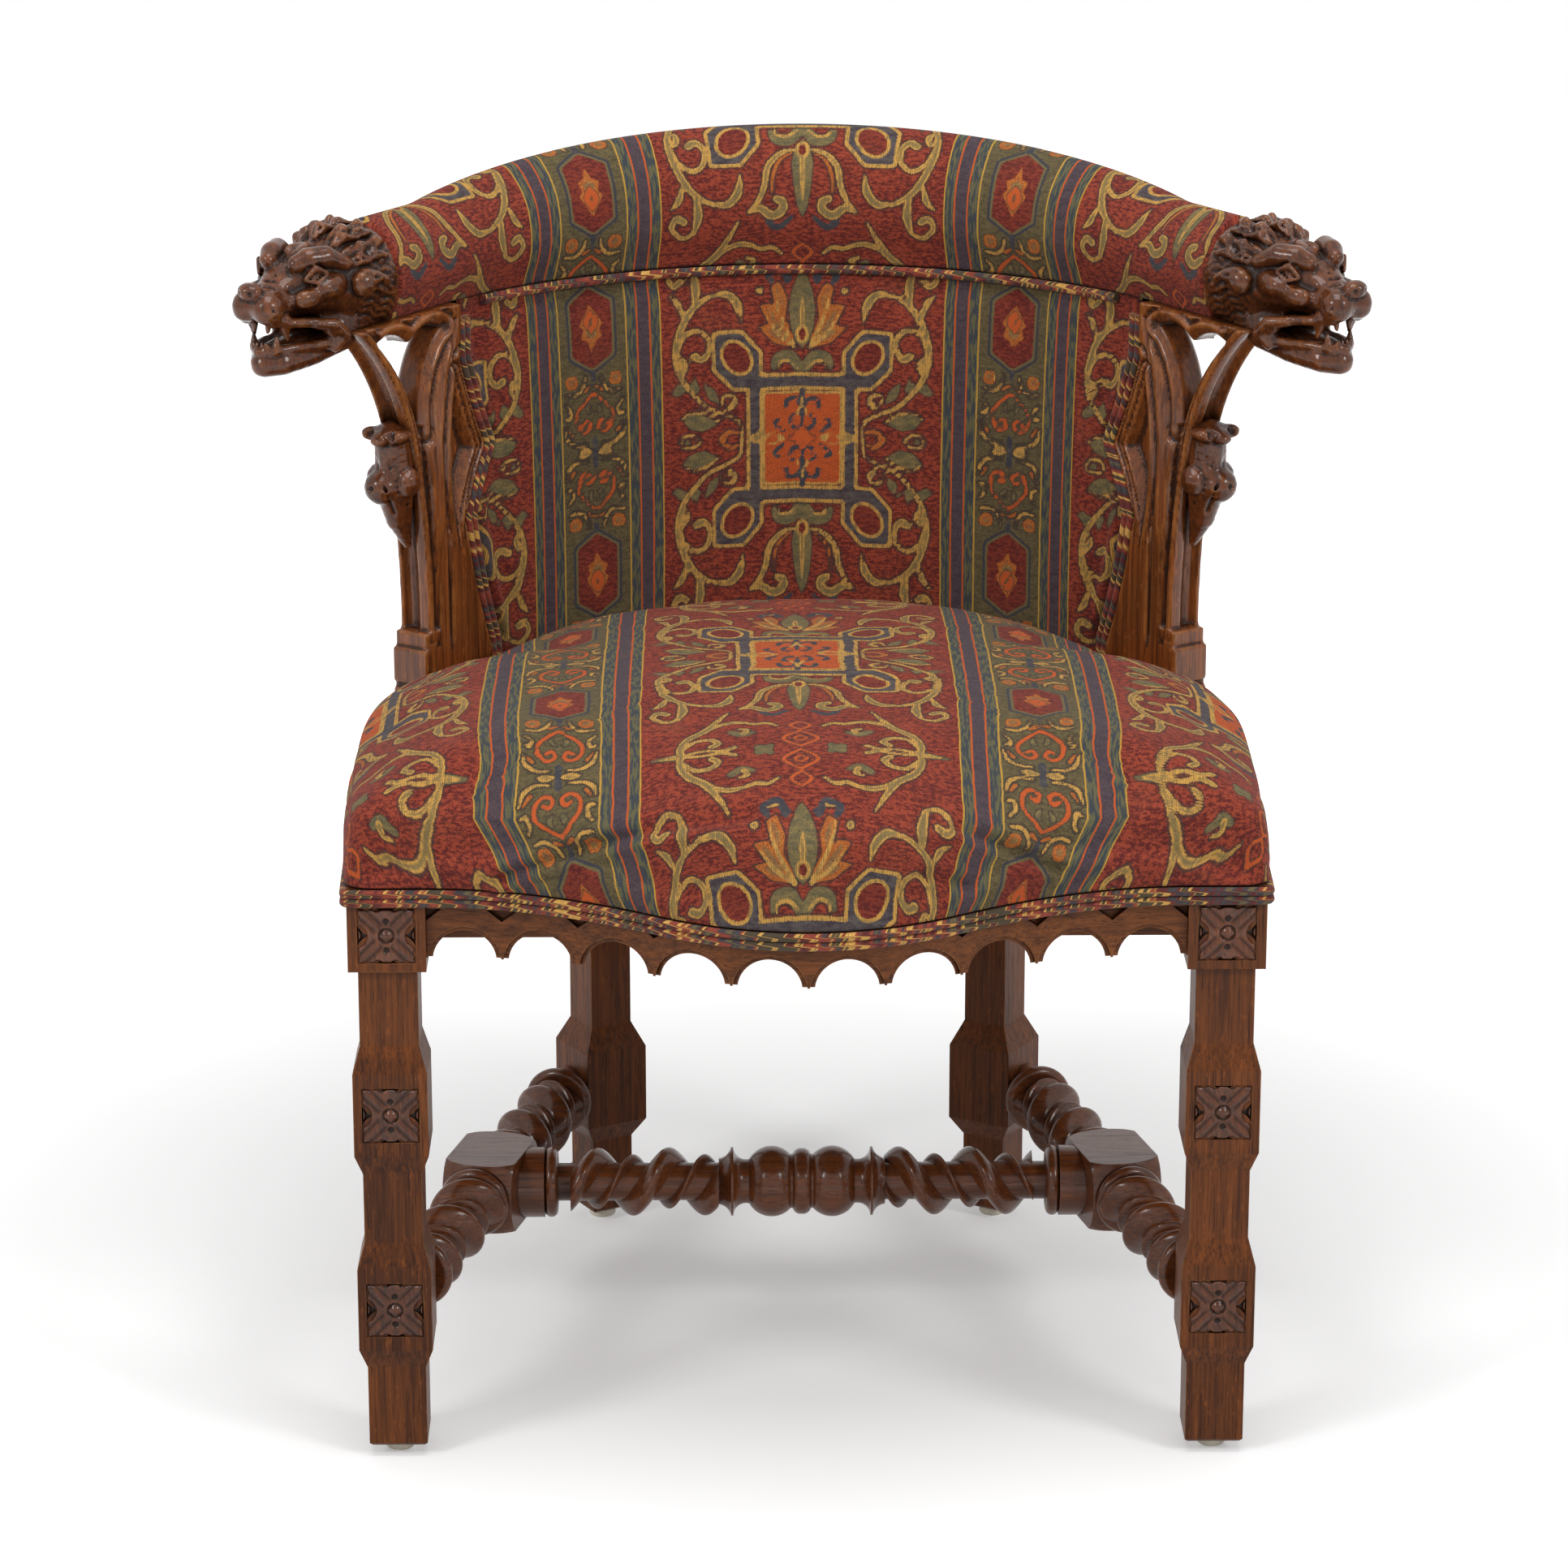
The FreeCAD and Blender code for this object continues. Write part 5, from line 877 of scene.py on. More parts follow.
# %% [markdown]
# ### The seat
# The seat is a deep crowned pad, pulled down over the front rail, with drag folds where the cloth turns
# round the corners of the bow. Rings of points shrink from its outline to its middle, joined as a square
# grid so that no pole is needed, and more rows run down the sides to the piping.

# %% Seat outline
RAIL_RADIUS = 296.0
PAD_OVERHANG = 3.5
LEG_OUT = 292.5
LEG_BACK = 50.0
HALF_FRONT = 242.5
BOW_DEPTH = 62.0
BOW_RADIUS = 200.0
PAD_CORNER = 16.0
HOLLOW_RADIUS = (HALF_FRONT ** 2 + BOW_DEPTH ** 2) / (2 * BOW_DEPTH) - BOW_RADIUS
ARM_FRONT = 66.5             # degrees: the seat narrows behind this, inside the arms and the back
ARM_CLEAR = 72.0
TUCKED_RADIUS = 277.2


def bow_y(x, end_y):
    """The serpentine front edge at a place across the chair."""
    x = np.abs(x)
    turn = HALF_FRONT * BOW_RADIUS / (BOW_RADIUS + HOLLOW_RADIUS)
    hollow = end_y - HOLLOW_RADIUS + np.sqrt(np.maximum(HOLLOW_RADIUS ** 2 - (x - HALF_FRONT) ** 2, 0))
    swell = end_y - BOW_DEPTH + BOW_RADIUS - np.sqrt(np.maximum(BOW_RADIUS ** 2 - x ** 2, 0))
    return np.where(x < turn, swell, np.where(x < HALF_FRONT, hollow, end_y))


def seat_outline(grow, corner, tucked):
    """Half outline of the seat: middle of the back, round the left side, to the middle of the front."""
    radius = RAIL_RADIUS + grow
    reach = math.hypot(LEG_OUT, LEG_BACK - TUB_Y)
    side = math.atan2(LEG_OUT, LEG_BACK - TUB_Y) - math.acos(RAIL_RADIUS / reach)
    turn = np.linspace(0, side, 240)
    far = np.full(turn.shape, radius)
    if tucked:
        far = TUCKED_RADIUS + (radius - TUCKED_RADIUS) * smoothstep(np.degrees(turn), ARM_FRONT, ARM_CLEAR)
    around = np.stack([-far * np.sin(turn), TUB_Y + far * np.cos(turn)], 1)
    way = np.array([-math.cos(side), -math.sin(side)])
    run = (-grow - around[-1, 1]) / way[1]
    edge = around[-1] + way * run
    straight = around[-1] + way * np.linspace(0.05, 0.9, 30)[:, None] * (run - corner)
    bend = np.linspace(0, math.pi / 2, 16)
    corner_arc = np.stack([edge[0] + corner - corner * np.cos(bend),
                           -grow + corner - corner * np.sin(bend)], 1)
    x = np.linspace(edge[0] + corner, 0, 160)
    front = np.stack([x, bow_y(x, -grow)], 1)
    return np.vstack([around, straight, corner_arc, front])


def with_mirror(half):
    """A half outline and its mirror image on the other side, as one line."""
    return np.vstack([half, (half * (-1, 1))[::-1][1:]])


def evenly(line, count, endpoint=True):
    """Evenly spaced points along a flat line, and the length to each."""
    length = np.concatenate([[0], np.cumsum(np.linalg.norm(np.diff(line, axis=0), axis=1))])
    at = np.linspace(0, length[-1], count, endpoint=endpoint)
    return np.stack([np.interp(at, length, line[:, k]) for k in (0, 1)], 1), at


# %% Seat cover
SEAT_RINGS = 32
SKIRT_ROWS = 9
RAIL_TOP = 395.0
SEAT_MIDDLE = np.array([0.0, 190.0])
CROWN_HEIGHT = 93.0
CROWN_ARCH = 26.0
CROWN_EDGE = 18.0
MEDALLION_Y = 193.0
MEDALLION_X = -4.0
BOW_DIP = 9.0
RIM_STEPS = 4                # outline points for each grid point on the rim
HEM_UP = 1.5                 # hem above the rail
SKIRT_BULGE = 0.012          # share by which the sides swell


def ring_step(i, j, k):
    """Place of a grid point on its square ring of 8 k steps, from the middle of the back."""
    if k == 0:
        return 0.0
    if j == k and i >= 0:
        return i
    if i == k:
        return 2 * k - j
    if j == -k:
        return 4 * k - i
    if i == -k:
        return 6 * k + j
    return 8 * k + i


def bow_dip(x, y):
    """How far the hem sags at the middle of the bow."""
    wave = (1 + math.cos(math.pi * min(abs(x) / HALF_FRONT, 1))) / 2
    return BOW_DIP * wave if y < 0 else 0.0


def crown(share):
    return RAIL_TOP + CROWN_HEIGHT - CROWN_ARCH * share ** 2 - CROWN_EDGE * share ** 10


def seat_cover():
    """Coarse points of the seat cover, its faces, and its place in the pattern."""
    rim_count = 8 * SEAT_RINGS
    outline = with_mirror(seat_outline(PAD_OVERHANG, PAD_CORNER, True))
    rim, _ = evenly(outline, rim_count * RIM_STEPS, endpoint=False)
    points, reach = [], []
    for j in range(-SEAT_RINGS, SEAT_RINGS + 1):
        for i in range(-SEAT_RINGS, SEAT_RINGS + 1):
            k = max(abs(i), abs(j))
            share = k / SEAT_RINGS
            place = ring_step(-i, j, k) / (8 * k) * rim_count * RIM_STEPS if k else 0
            edge = rim[int(round(place)) % len(rim)]
            flat = SEAT_MIDDLE + (edge - SEAT_MIDDLE) * share
            points.append((flat[0], flat[1], crown(share)))
            reach.append(0.0)
    side = 2 * SEAT_RINGS + 1
    faces = grid_faces(side, side)
    loop = [0] * rim_count
    for j in range(-SEAT_RINGS, SEAT_RINGS + 1):
        for i in range(-SEAT_RINGS, SEAT_RINGS + 1):
            if max(abs(i), abs(j)) == SEAT_RINGS:
                loop[int(ring_step(-i, j, SEAT_RINGS))] = (j + SEAT_RINGS) * side + i + SEAT_RINGS
    bottom, top = RAIL_TOP + HEM_UP, crown(1.0)
    last = loop
    for row in range(1, SKIRT_ROWS + 1):
        t = row / SKIRT_ROWS
        out = 1 + SKIRT_BULGE * math.sin(math.pi * min(t * 1.15, 1.0))
        made = []
        for n in range(rim_count):
            edge = SEAT_MIDDLE + (rim[n * RIM_STEPS] - SEAT_MIDDLE) * out
            made.append(len(points))
            low = bottom - bow_dip(*edge)
            points.append((edge[0], edge[1], top + (low - top) * t))
            reach.append((top - low) * t)
        for n in range(rim_count):
            m = (n + 1) % rim_count
            faces.append((last[n], made[n], made[m], last[m]))
        last = made
    return np.array(points), faces, np.array(reach), last


seat_points, seat_faces, seat_reach, seat_hem = seat_cover()
seat = piece("seat_cushion", metres(seat_points), seat_faces, tapestry_cloth)
outwards = seat_points[:, :2] - SEAT_MIDDLE
plan = np.maximum(np.linalg.norm(outwards, axis=1), 1e-6)
unit = outwards / plan[:, None]
lateral = np.where(unit[:, 1] < 0, 0.62 + 0.38 * unit[:, 0] ** 2, 1.0)
keep(seat, "p", seat_points[:, 0] + seat_reach * unit[:, 0] * lateral - MEDALLION_X)
keep(seat, "q", seat_points[:, 1] + seat_reach * unit[:, 1] - MEDALLION_Y)
print("seat cover", len(seat_points), "points")

# %% [markdown]
# After stuffing, the cover is refined and the folds are pressed in: two long drags run down from the
# crown to the corners of the bow, as the photograph shows, and a faint crease lies across the top. Then
# the pad is closed underneath and takes its place in the pattern.

# %% Stuff, refine and fold the seat
SEAT_PRESSURE = 3.0
SEAT_CAP = 0.006
FOLD_WIDTH = 3.4
DRAGS = (([(-195, 405), (-137, 429), (-88, 447), (-37, 456)], 4.6),
         ([(94, 446), (128, 427), (157, 412)], 4.2), ([(70, 420), (102, 408)], 2.6))
TOP_CREASE = ([(0, 143), (60, 141), (127, 146)], 0.8)
LIP_SHARE = 0.45             # height of the lip beside a fold, and its place in fold widths
LIP_PLACE = 2.2
LUMP_SIZE = 0.55


def fold(a, b, run, depth):
    """Depth of a pressed fold at places a, b, with a soft lip beside it."""
    path = smooth_curve(run, 3.0)
    near = np.full(len(a), 1e9)
    for u, v in path:
        near = np.minimum(near, np.hypot(a - u, b - v))
    valley = np.exp(-(near / FOLD_WIDTH) ** 2)
    lip = np.exp(-((near - LIP_PLACE * FOLD_WIDTH) / FOLD_WIDTH) ** 2)
    return depth * (valley - LIP_SHARE * lip)


def lumps(x, y, z, size):
    """The unevenness of hair stuffing, as a few crossed waves."""
    return size * (np.sin(x / 31 + 1.3) * np.sin(y / 27 + 0.4) + 0.6 * np.sin((x + y) / 17 + z / 19)
                   + 0.5 * np.sin((x - y) / 12 + 2.0) * np.sin(z / 14 + x / 40))


stuffed(seat, seat_hem, SEAT_PRESSURE, SEAT_CAP)
finer_seat = seat.modifiers.new("finer", "SUBSURF")
finer_seat.levels = finer_seat.render_levels = 2
settled(seat)
x, y, z = millimetres(points_of(seat)).T
facing = points_of(seat, "normal")
ahead = np.clip(-facing[:, 1] * 2 - 0.3, 0, 1) * (y < 30)
press = sum(fold(x, z, *drag) for drag in DRAGS) * ahead
press += fold(x, y, *TOP_CREASE) * (facing[:, 2] > 0.6)
press -= lumps(x, y, z, LUMP_SIZE) * smoothstep(z, RAIL_TOP + 4, RAIL_TOP + 30)
set_points(seat, points_of(seat) - facing * press[:, None] / 1000)
outward(seat, fill=True)
weave(seat, recall(seat, "p"), recall(seat, "q"))
in_place(seat, "tapestry", "seat_pad")

# %% [markdown]
# ### The back
# The back pad lines the tub between the arm panels. Its sides follow the cusped edge of the panels, so
# each row of its grid ends where the panel's edge and the two cords beside it leave room. Close columns
# at both sides let the face roll back into the piping.

# %% Back pad
PANEL_BACK = 37.0            # from the panel's inner edge to where it touches the tub
EDGE_ARCS = (((0, 455), (19, 512), (27, 548)), ((27, 548), (18, 570), (3, 596)),
             ((3, 596), (18, 628), (31, 662)))
CREST_BOTTOM = 700.0
FACE_LOW = 281.0
FACE_HIGH = 287.5
PAD_BACK = 291.3
PIPING_ROOM = 13.4
BACK_CROWN = 4.0
BACK_ROLL = 9.0
BACK_ROWS = 38
BACK_COLS = 58
BACK_MEDALLION = 576.0
BACK_PRESSURE = 1.6
BACK_CAP = 0.003
CLOTH_RADIUS = 283.0
CLOTH_ASIDE = 3.4


def arc_through(a, b, c, count=14):
    """Points on the circle through three points."""
    (ax, ay), (bx, by), (cx, cy) = a, b, c
    d = 2 * (ax * (by - cy) + bx * (cy - ay) + cx * (ay - by))
    sq = [u * u + v * v for u, v in (a, b, c)]
    ux = (sq[0] * (by - cy) + sq[1] * (cy - ay) + sq[2] * (ay - by)) / d
    uy = (sq[0] * (cx - bx) + sq[1] * (ax - cx) + sq[2] * (bx - ax)) / d
    turns = np.unwrap([math.atan2(v - uy, u - ux) for u, v in (a, b, c)])
    turn = np.linspace(turns[0], turns[2], count)
    radius = math.hypot(ax - ux, ay - uy)
    return np.stack([ux + radius * np.cos(turn), uy + radius * np.sin(turn)], 1)


EDGE = np.vstack([[(0, 380), (0, 454)]] + [arc_through(*run) for run in EDGE_ARCS] + [[(31, 664), (31, 720)]])


def edge_x(z):
    """How far forward the inner edge of the arm panel stands at a height."""
    return np.interp(z, EDGE[:, 1], EDGE[:, 0])


def tub(radius, angle, z):
    """A point of the tub by its radius, its angle in radians, positive to the left, and its height."""
    return np.stack([-radius * np.sin(angle), TUB_Y + radius * np.cos(angle), z], -1)


def side_steps(half, room, cols):
    """Places across a half row, in mm from its edge: close together where the face rolls back, then even."""
    near = np.array([0, 0.08, 0.25, 0.5, 0.8, 1.15]) * room
    return np.concatenate([near, np.linspace(1.6 * room, half, cols // 2 - len(near) + 1)])


def back_rows(low, high, rows, cols, trim, face, behind, roll):
    """A pad round the tub: rows of points that roll back to the given radius along all four edges."""
    points, angles, heights = [], [], []
    levels = np.concatenate([[low, low + 0.4], np.linspace(low + 2, high - 2, rows - 4), [high - 0.4, high]])
    for n, z in enumerate(levels):
        near = face(z)
        limit = math.radians(PANEL_ANGLE) - math.asin((PANEL_BACK + trim - edge_x(z)) / near)
        steps = side_steps(limit * near, roll, cols)
        from_edge = np.concatenate([steps, steps[::-1][1:]])
        angle = np.concatenate([limit - steps / near, -(limit - steps[::-1][1:] / near)])
        turn = np.clip(1 - from_edge / roll, 0, 1)
        radius = near + (behind - near) * (1 - np.sqrt(1 - turn ** 2))
        if n in (0, len(levels) - 1):
            radius[:] = behind
        points.append(tub(radius, angle, np.full(len(angle), z)))
        angles.append(angle)
        heights.append(np.full(len(angle), z))
    return np.vstack(points), np.concatenate(angles), np.concatenate(heights), len(levels), len(points[0])


def back_face(z):
    """Radius of the pad's face at a height."""
    t = (z - RAIL_TOP) / (CREST_BOTTOM - RAIL_TOP)
    return FACE_LOW + (FACE_HIGH - FACE_LOW) * t - BACK_CROWN * (1 - (2 * t - 1) ** 2)


def finer(grid, times):
    """More rows and columns between those of a grid, on smooth curves."""
    for axis in (0, 1):
        rows = np.moveaxis(grid, axis, 0)
        ends = np.concatenate([2 * rows[:1] - rows[1:2], rows, 2 * rows[-1:] - rows[-2:-1]])
        a, b, c, d = ends[:-3], ends[1:-2], ends[2:-1], ends[3:]
        steps = []
        for n in range(times):
            steps.append(through(a, b, c, d, n / times))
        mixed = np.stack(steps, 1).reshape(-1, *rows.shape[1:])
        grid = np.moveaxis(np.concatenate([mixed, rows[-1:]]), 0, axis)
    return grid


def tub_faces(rows, cols):
    """Faces of a tub pad: its grid, strips across its back from bottom to top, and a face along each side."""
    top = (rows - 1) * cols
    faces = grid_faces(rows, cols)
    faces += [(c, top + c, top + c + 1, c + 1) for c in range(1, cols - 2)]
    faces.append([1] + [r * cols for r in range(rows)] + [top + 1])
    faces.append([cols - 2] + [r * cols + cols - 1 for r in range(rows)] + [top + cols - 2])
    return faces


def stuffed_grid(name, grid, pins, pressure, cap, times):
    """A grid of points and pattern places, swelled by cloth pressure and made finer."""
    rows, cols = grid.shape[:2]
    cover = piece(name, metres(grid[..., :3].reshape(-1, 3)), grid_faces(rows, cols), tapestry_cloth)
    stuffed(cover, pins, pressure, cap)
    grid[..., :3] = millimetres(points_of(cover)).reshape(rows, cols, 3)
    bpy.data.objects.remove(cover)
    return finer(grid, times)


def rim_of(rows, cols):
    """Numbers of the points round a grid's edge."""
    return [r * cols + c for r in range(rows) for c in range(cols)
            if r in (0, rows - 1) or c in (0, cols - 1)]


def pad(name, grid, faces, node):
    """The finished pad of a grid of points and pattern places."""
    spots = grid.reshape(-1, 5)
    made = piece(name, metres(spots[:, :3]), faces, tapestry_cloth)
    outward(made)
    weave(made, spots[:, 3], spots[:, 4])
    in_place(made, "tapestry", node)


def patterned(points, angle, height, rows, cols):
    """Grid of points with their places in the pattern: arc length across and height up."""
    p = -angle * CLOTH_RADIUS - CLOTH_ASIDE
    q = height - BACK_MEDALLION
    return np.concatenate([points, p[:, None], q[:, None]], 1).reshape(rows, cols, 5)


BACK_LOW = RAIL_TOP + 5
back_grid = patterned(*back_rows(BACK_LOW, CREST_BOTTOM - 1, BACK_ROWS, BACK_COLS, PIPING_ROOM, back_face,
                                 PAD_BACK, BACK_ROLL))
back_rim = rim_of(*back_grid.shape[:2])
back_grid = stuffed_grid("back_cushion", back_grid, back_rim, BACK_PRESSURE, BACK_CAP, 3)
spots = back_grid[..., :3]
puff = lumps(back_grid[..., 3], spots[..., 1], spots[..., 2], 0.5)
spots[..., 1] -= puff * np.sin(np.linspace(0, np.pi, puff.shape[1]))
pad("back_cushion", back_grid, tub_faces(*back_grid.shape[:2]), "back_pad")

# %% [markdown]
# ### The outside back
# Behind, the same cloth is stretched over the frame from panel to panel. It stands only a few millimetres off
# the wood, so it is a thin tub pad that faces backwards.

# %% Outside back
OUTSIDE_NEAR = 307.3
OUTSIDE_FAR = 311.0
OUTSIDE_LOW = 381.5
OUTSIDE_ROWS = 46
OUTSIDE_COLS = 84
OUTSIDE_ROLL = 4.0
PANEL_GAP = 0.8
out_points, out_angle, out_height, out_rows, out_cols = back_rows(
    OUTSIDE_LOW, CREST_BOTTOM - 0.5, OUTSIDE_ROWS, OUTSIDE_COLS, PANEL_GAP, lambda z: OUTSIDE_FAR,
    OUTSIDE_NEAR, OUTSIDE_ROLL)
outside_grid = finer(patterned(out_points, -out_angle, out_height, out_rows, out_cols), 3)
pad("outside_back_cover", outside_grid, tub_faces(*outside_grid.shape[:2]), "outside_back")

# %% [markdown]
# ### The crest roll
# A fat roll of upholstery runs along the top from head to head, highest in the middle. Its section is
# drawn once and swept round the tub, then straight on along the arms.

# %% Crest roll
CREST_SECTION = ((287, 0), (277.5, 0.36), (283.7, 0.74), (308, 1), (330.9, 0.76), (338.5, 0.40), (329, 0))
CREST_HEIGHT = 95.0
CREST_FALL = 28.0
CREST_MIDDLE = 308.0
ARM_RUN = 61.0
CREST_PATTERN = -150.0       # place in the pattern at the lower inner edge
CREST_COLS = 92
CREST_ROWS = 34
TACKED_ROWS = 6              # rows under the roll that the stuffing can't move
CREST_PRESSURE = 1.2
CREST_CAP = 0.0025


def crest_section(height, count):
    """Points round the roll from its lower inner edge, and the length of cloth to each."""
    shape = smooth_curve([(r, share * height) for r, share in CREST_SECTION], 1.5)
    return evenly(np.vstack([shape, [(315, 0), (301, 0)], shape[:1]]), count)


def crest_grid():
    """Columns of points along the roll, each with its place in the pattern."""
    limit = math.radians(PANEL_ANGLE)
    ends = CREST_MIDDLE * limit + ARM_RUN
    rows = []
    for s in np.linspace(ends, -ends, CREST_COLS):
        angle = max(-limit, min(limit, s / CREST_MIDDLE))
        past = s - angle * CREST_MIDDLE
        section, cloth = crest_section(CREST_HEIGHT - CREST_FALL * (angle / limit) ** 2, CREST_ROWS)
        spots = tub(section[:, 0], angle, CREST_BOTTOM + section[:, 1])
        spots[:, 0] -= past * math.cos(angle)
        spots[:, 1] -= abs(past) * math.sin(abs(angle))
        p = np.full(CREST_ROWS, -angle * CLOTH_RADIUS - past - CLOTH_ASIDE)
        rows.append(np.concatenate([spots, p[:, None], (cloth + CREST_PATTERN)[:, None]], 1))
    return np.array(rows)


crest_points = crest_grid()
crest_pins = [c * CREST_ROWS + r for c in range(CREST_COLS) for r in range(CREST_ROWS)
              if r < 1 or r > CREST_ROWS - TACKED_ROWS or c in (0, CREST_COLS - 1)]
crest_points = stuffed_grid("crest_roll", crest_points, crest_pins, CREST_PRESSURE, CREST_CAP, 4)
crest_points = crest_points[:, :-1]
cols, rows = crest_points.shape[:2]
ends = [list(range(rows)), [(cols - 1) * rows + r for r in range(rows)]]
pad("crest_roll", crest_points, grid_faces(cols, rows, wrap_cols=True) + ends, "crest_pad")

# %% [markdown]
# ## Piping
# Double piping runs under the seat and down both sides of the back, and one cord lies under the crest
# roll. Each is a strip of the tapestry cut on the bias and sewn round a cord, so the pattern shows as
# short slanting stripes. Geometry Nodes sweeps a circle along the path and keeps the length along and the
# turn around for the finish.

# %% Piping finish
STRIPE = 9.0                 # mm between stripes, along the cord
SLANT = 11.0                 # mm along the cord for one turn round it
SEAM_DARK = rgb(40, 26, 26)
CORD_DUST = rgb(96, 70, 58)


def bias_cloth(name):
    cloth = Finish(name)
    along = cloth.node("ShaderNodeAttribute", {"attribute_name": "along"}, out="Fac") * 1000
    around = cloth.node("ShaderNodeAttribute", {"attribute_name": "around"}, out="Fac")
    slope = along + around * SLANT

    def uneven(x, y, scale, detail):
        return cloth.noise(cloth.node("ShaderNodeCombineXYZ", None, {"X": x, "Y": y}), scale, detail)

    patches = uneven(slope / STRIPE, along / 160, 1.0, 1.0)
    second = uneven(slope / STRIPE, along / 90 + 7, 1.7, 0.0)
    thread = uneven(slope * 1.6, around * 14, 1.0, 1.0)
    colour = cloth.blend(second.rise(0.4, 0.6), RED_DARK, RED_LIGHT)
    colour = cloth.blend(patches.rise(0.53, 0.56), colour, GOLD_LIGHT)
    colour = cloth.blend(patches.rise(0.59, 0.61), colour, OLIVE_DARK)
    colour = cloth.blend(1 - patches.rise(0.4, 0.43), colour, BLUE_YARN)
    colour = cloth.blend(1 - patches.rise(0.33, 0.36), colour, OLIVE_LIGHT)
    colour = cloth.blend((1 - thread.rise(0.3, 0.6)) * 0.5, colour, SEAM_DARK)
    colour = cloth.blend(0.15, colour, CORD_DUST)
    cloth.set(Base_Color=colour, Roughness=0.85, Normal=cloth.bump(thread, 0.0004, 0.7))
    cloth.set(Sheen_Weight=0.12, Specular_IOR_Level=0.25)
    return cloth.material


bias_tapestry = bias_cloth("bias_tapestry")
print("piping nodes", len(bias_tapestry.node_tree.nodes))


# %% Piping tree
class Growth(Graph):
    """A geometry tree with named inputs."""

    def __init__(self, name, **inputs):
        super().__init__(bpy.data.node_groups.new(name, "GeometryNodeTree"))
        for label, kind in inputs.items():
            self.tree.interface.new_socket(label, in_out="INPUT", socket_type="NodeSocket" + kind)
        self.tree.interface.new_socket("Geometry", in_out="OUTPUT", socket_type="NodeSocketGeometry")
        self.inputs = self.tree.nodes.new("NodeGroupInput").outputs

    def given(self, label):
        return Flow(self, self.inputs[label])

    def named(self, geometry, name, value):
        """The geometry with a value stored at its points."""
        return self.node("GeometryNodeStoreNamedAttribute", {"data_type": "FLOAT", "domain": "POINT"},
                         {"Geometry": geometry, "Name": name, "Value": value})

    def end(self, geometry):
        """Ends the tree with real copies in the given material."""
        real = self.node("GeometryNodeRealizeInstances", None, {0: geometry})
        done = self.node("GeometryNodeSetMaterial", None,
                         {"Geometry": real, "Material": self.given("Material")})
        self.put(self.tree.nodes.new("NodeGroupOutput").inputs[0], done)
        return self.tree


CORD_SIDES = 14
CORD_STEP = 0.0025           # metres between rings


def cord_tree():
    """A tree that sweeps a circle along every path."""
    cord = Growth("piping_cord", Path="Geometry", Radius="Float", Step="Float", Material="Material")
    curve = cord.node("GeometryNodeMeshToCurve", None, {"Mesh": cord.given("Path")})
    even = cord.node("GeometryNodeResampleCurve", {"mode": "LENGTH"},
                     {"Curve": curve, "Length": cord.given("Step")})
    measured = cord.named(even, "along", cord.node("GeometryNodeSplineParameter", out="Length"))
    circle = cord.node("GeometryNodeCurvePrimitiveCircle", None,
                       {"Resolution": CORD_SIDES, "Radius": cord.given("Radius")})
    turned = cord.named(circle, "around", cord.node("GeometryNodeSplineParameter", out="Factor"))
    swept = cord.node("GeometryNodeCurveToMesh", None,
                      {"Curve": measured, "Profile Curve": turned, "Fill Caps": True})
    return cord.end(cord.node("GeometryNodeSetShadeSmooth", None, {0: swept}))


CORD_TREE = cord_tree()


def grown(made, tree, **inputs):
    """The object as a geometry tree makes it. A modifier knows an input by its identifier, not its name."""
    step = made.modifiers.new(tree.name, "NODES")
    step.node_group = tree
    for item in tree.interface.items_tree:
        if item.in_out == "INPUT" and item.name in inputs:
            step[item.identifier] = inputs[item.name]
    return settled(made)


def cords(name, paths, radius, nodes):
    """Cords along open paths in millimetres, as one piece."""
    points, edges = [], []
    for path in paths:
        start = len(points)
        points += metres(path).tolist()
        edges += [(start + n, start + n + 1) for n in range(len(path) - 1)]
    mesh = bpy.data.meshes.new(name)
    mesh.from_pydata(points, edges, [])
    made = linked(name, mesh)
    grown(made, CORD_TREE, Radius=radius / 1000, Step=CORD_STEP, Material=bias_tapestry)
    outward(made)
    lengths = [float(np.linalg.norm(np.diff(np.asarray(path), axis=0), axis=1).sum()) for path in paths]
    print(name, "cord lengths in mm", [round(length) for length in lengths])
    return in_place(made, "tapestry", *nodes)


# %% Lay the piping
CORD_RADIUS = 2.8
CREST_CORD_RADIUS = 3.2
SEAT_CORD_END = 67.1         # degrees from the middle of the back
SEAT_CORD_CORNER = 3.2
SEAT_CORD_HEIGHTS = (392.2, 386.4)
CREST_CORD_END = 49.7
CREST_CORD_PLACE = (284.0, 696.5)
CREST_CORD_POINTS = 160
BACK_CORD_ASIDE = (-3.1, -9.3)
BACK_CORD_HEIGHTS = np.concatenate([np.linspace(402, 546, 40), np.linspace(548, 690, 44)])
PANEL_FACE = 276.5           # radius of the panel's inner face where it touches the tub


def seat_cord_path(z):
    """Along the lower edge of the seat cover, from one arm round the front to the other."""
    outline = seat_outline(CORD_RADIUS + 0.15, SEAT_CORD_CORNER, False)
    turn = np.degrees(np.arctan2(-outline[:, 0], outline[:, 1] - TUB_Y))
    return [(x, y, z - bow_dip(x, y)) for x, y in with_mirror(outline[turn >= SEAT_CORD_END])]


def board_to_chair(spots):
    """Points in the left arm panel's own frame: x forward, y inward from its face, z up."""
    turn = math.radians(PANEL_ANGLE)
    out = PANEL_FACE - spots[:, 1]
    ahead = spots[:, 0] - PANEL_BACK
    return np.stack([-out * math.sin(turn) - ahead * math.cos(turn),
                     TUB_Y + out * math.cos(turn) - ahead * math.sin(turn), spots[:, 2]], 1)


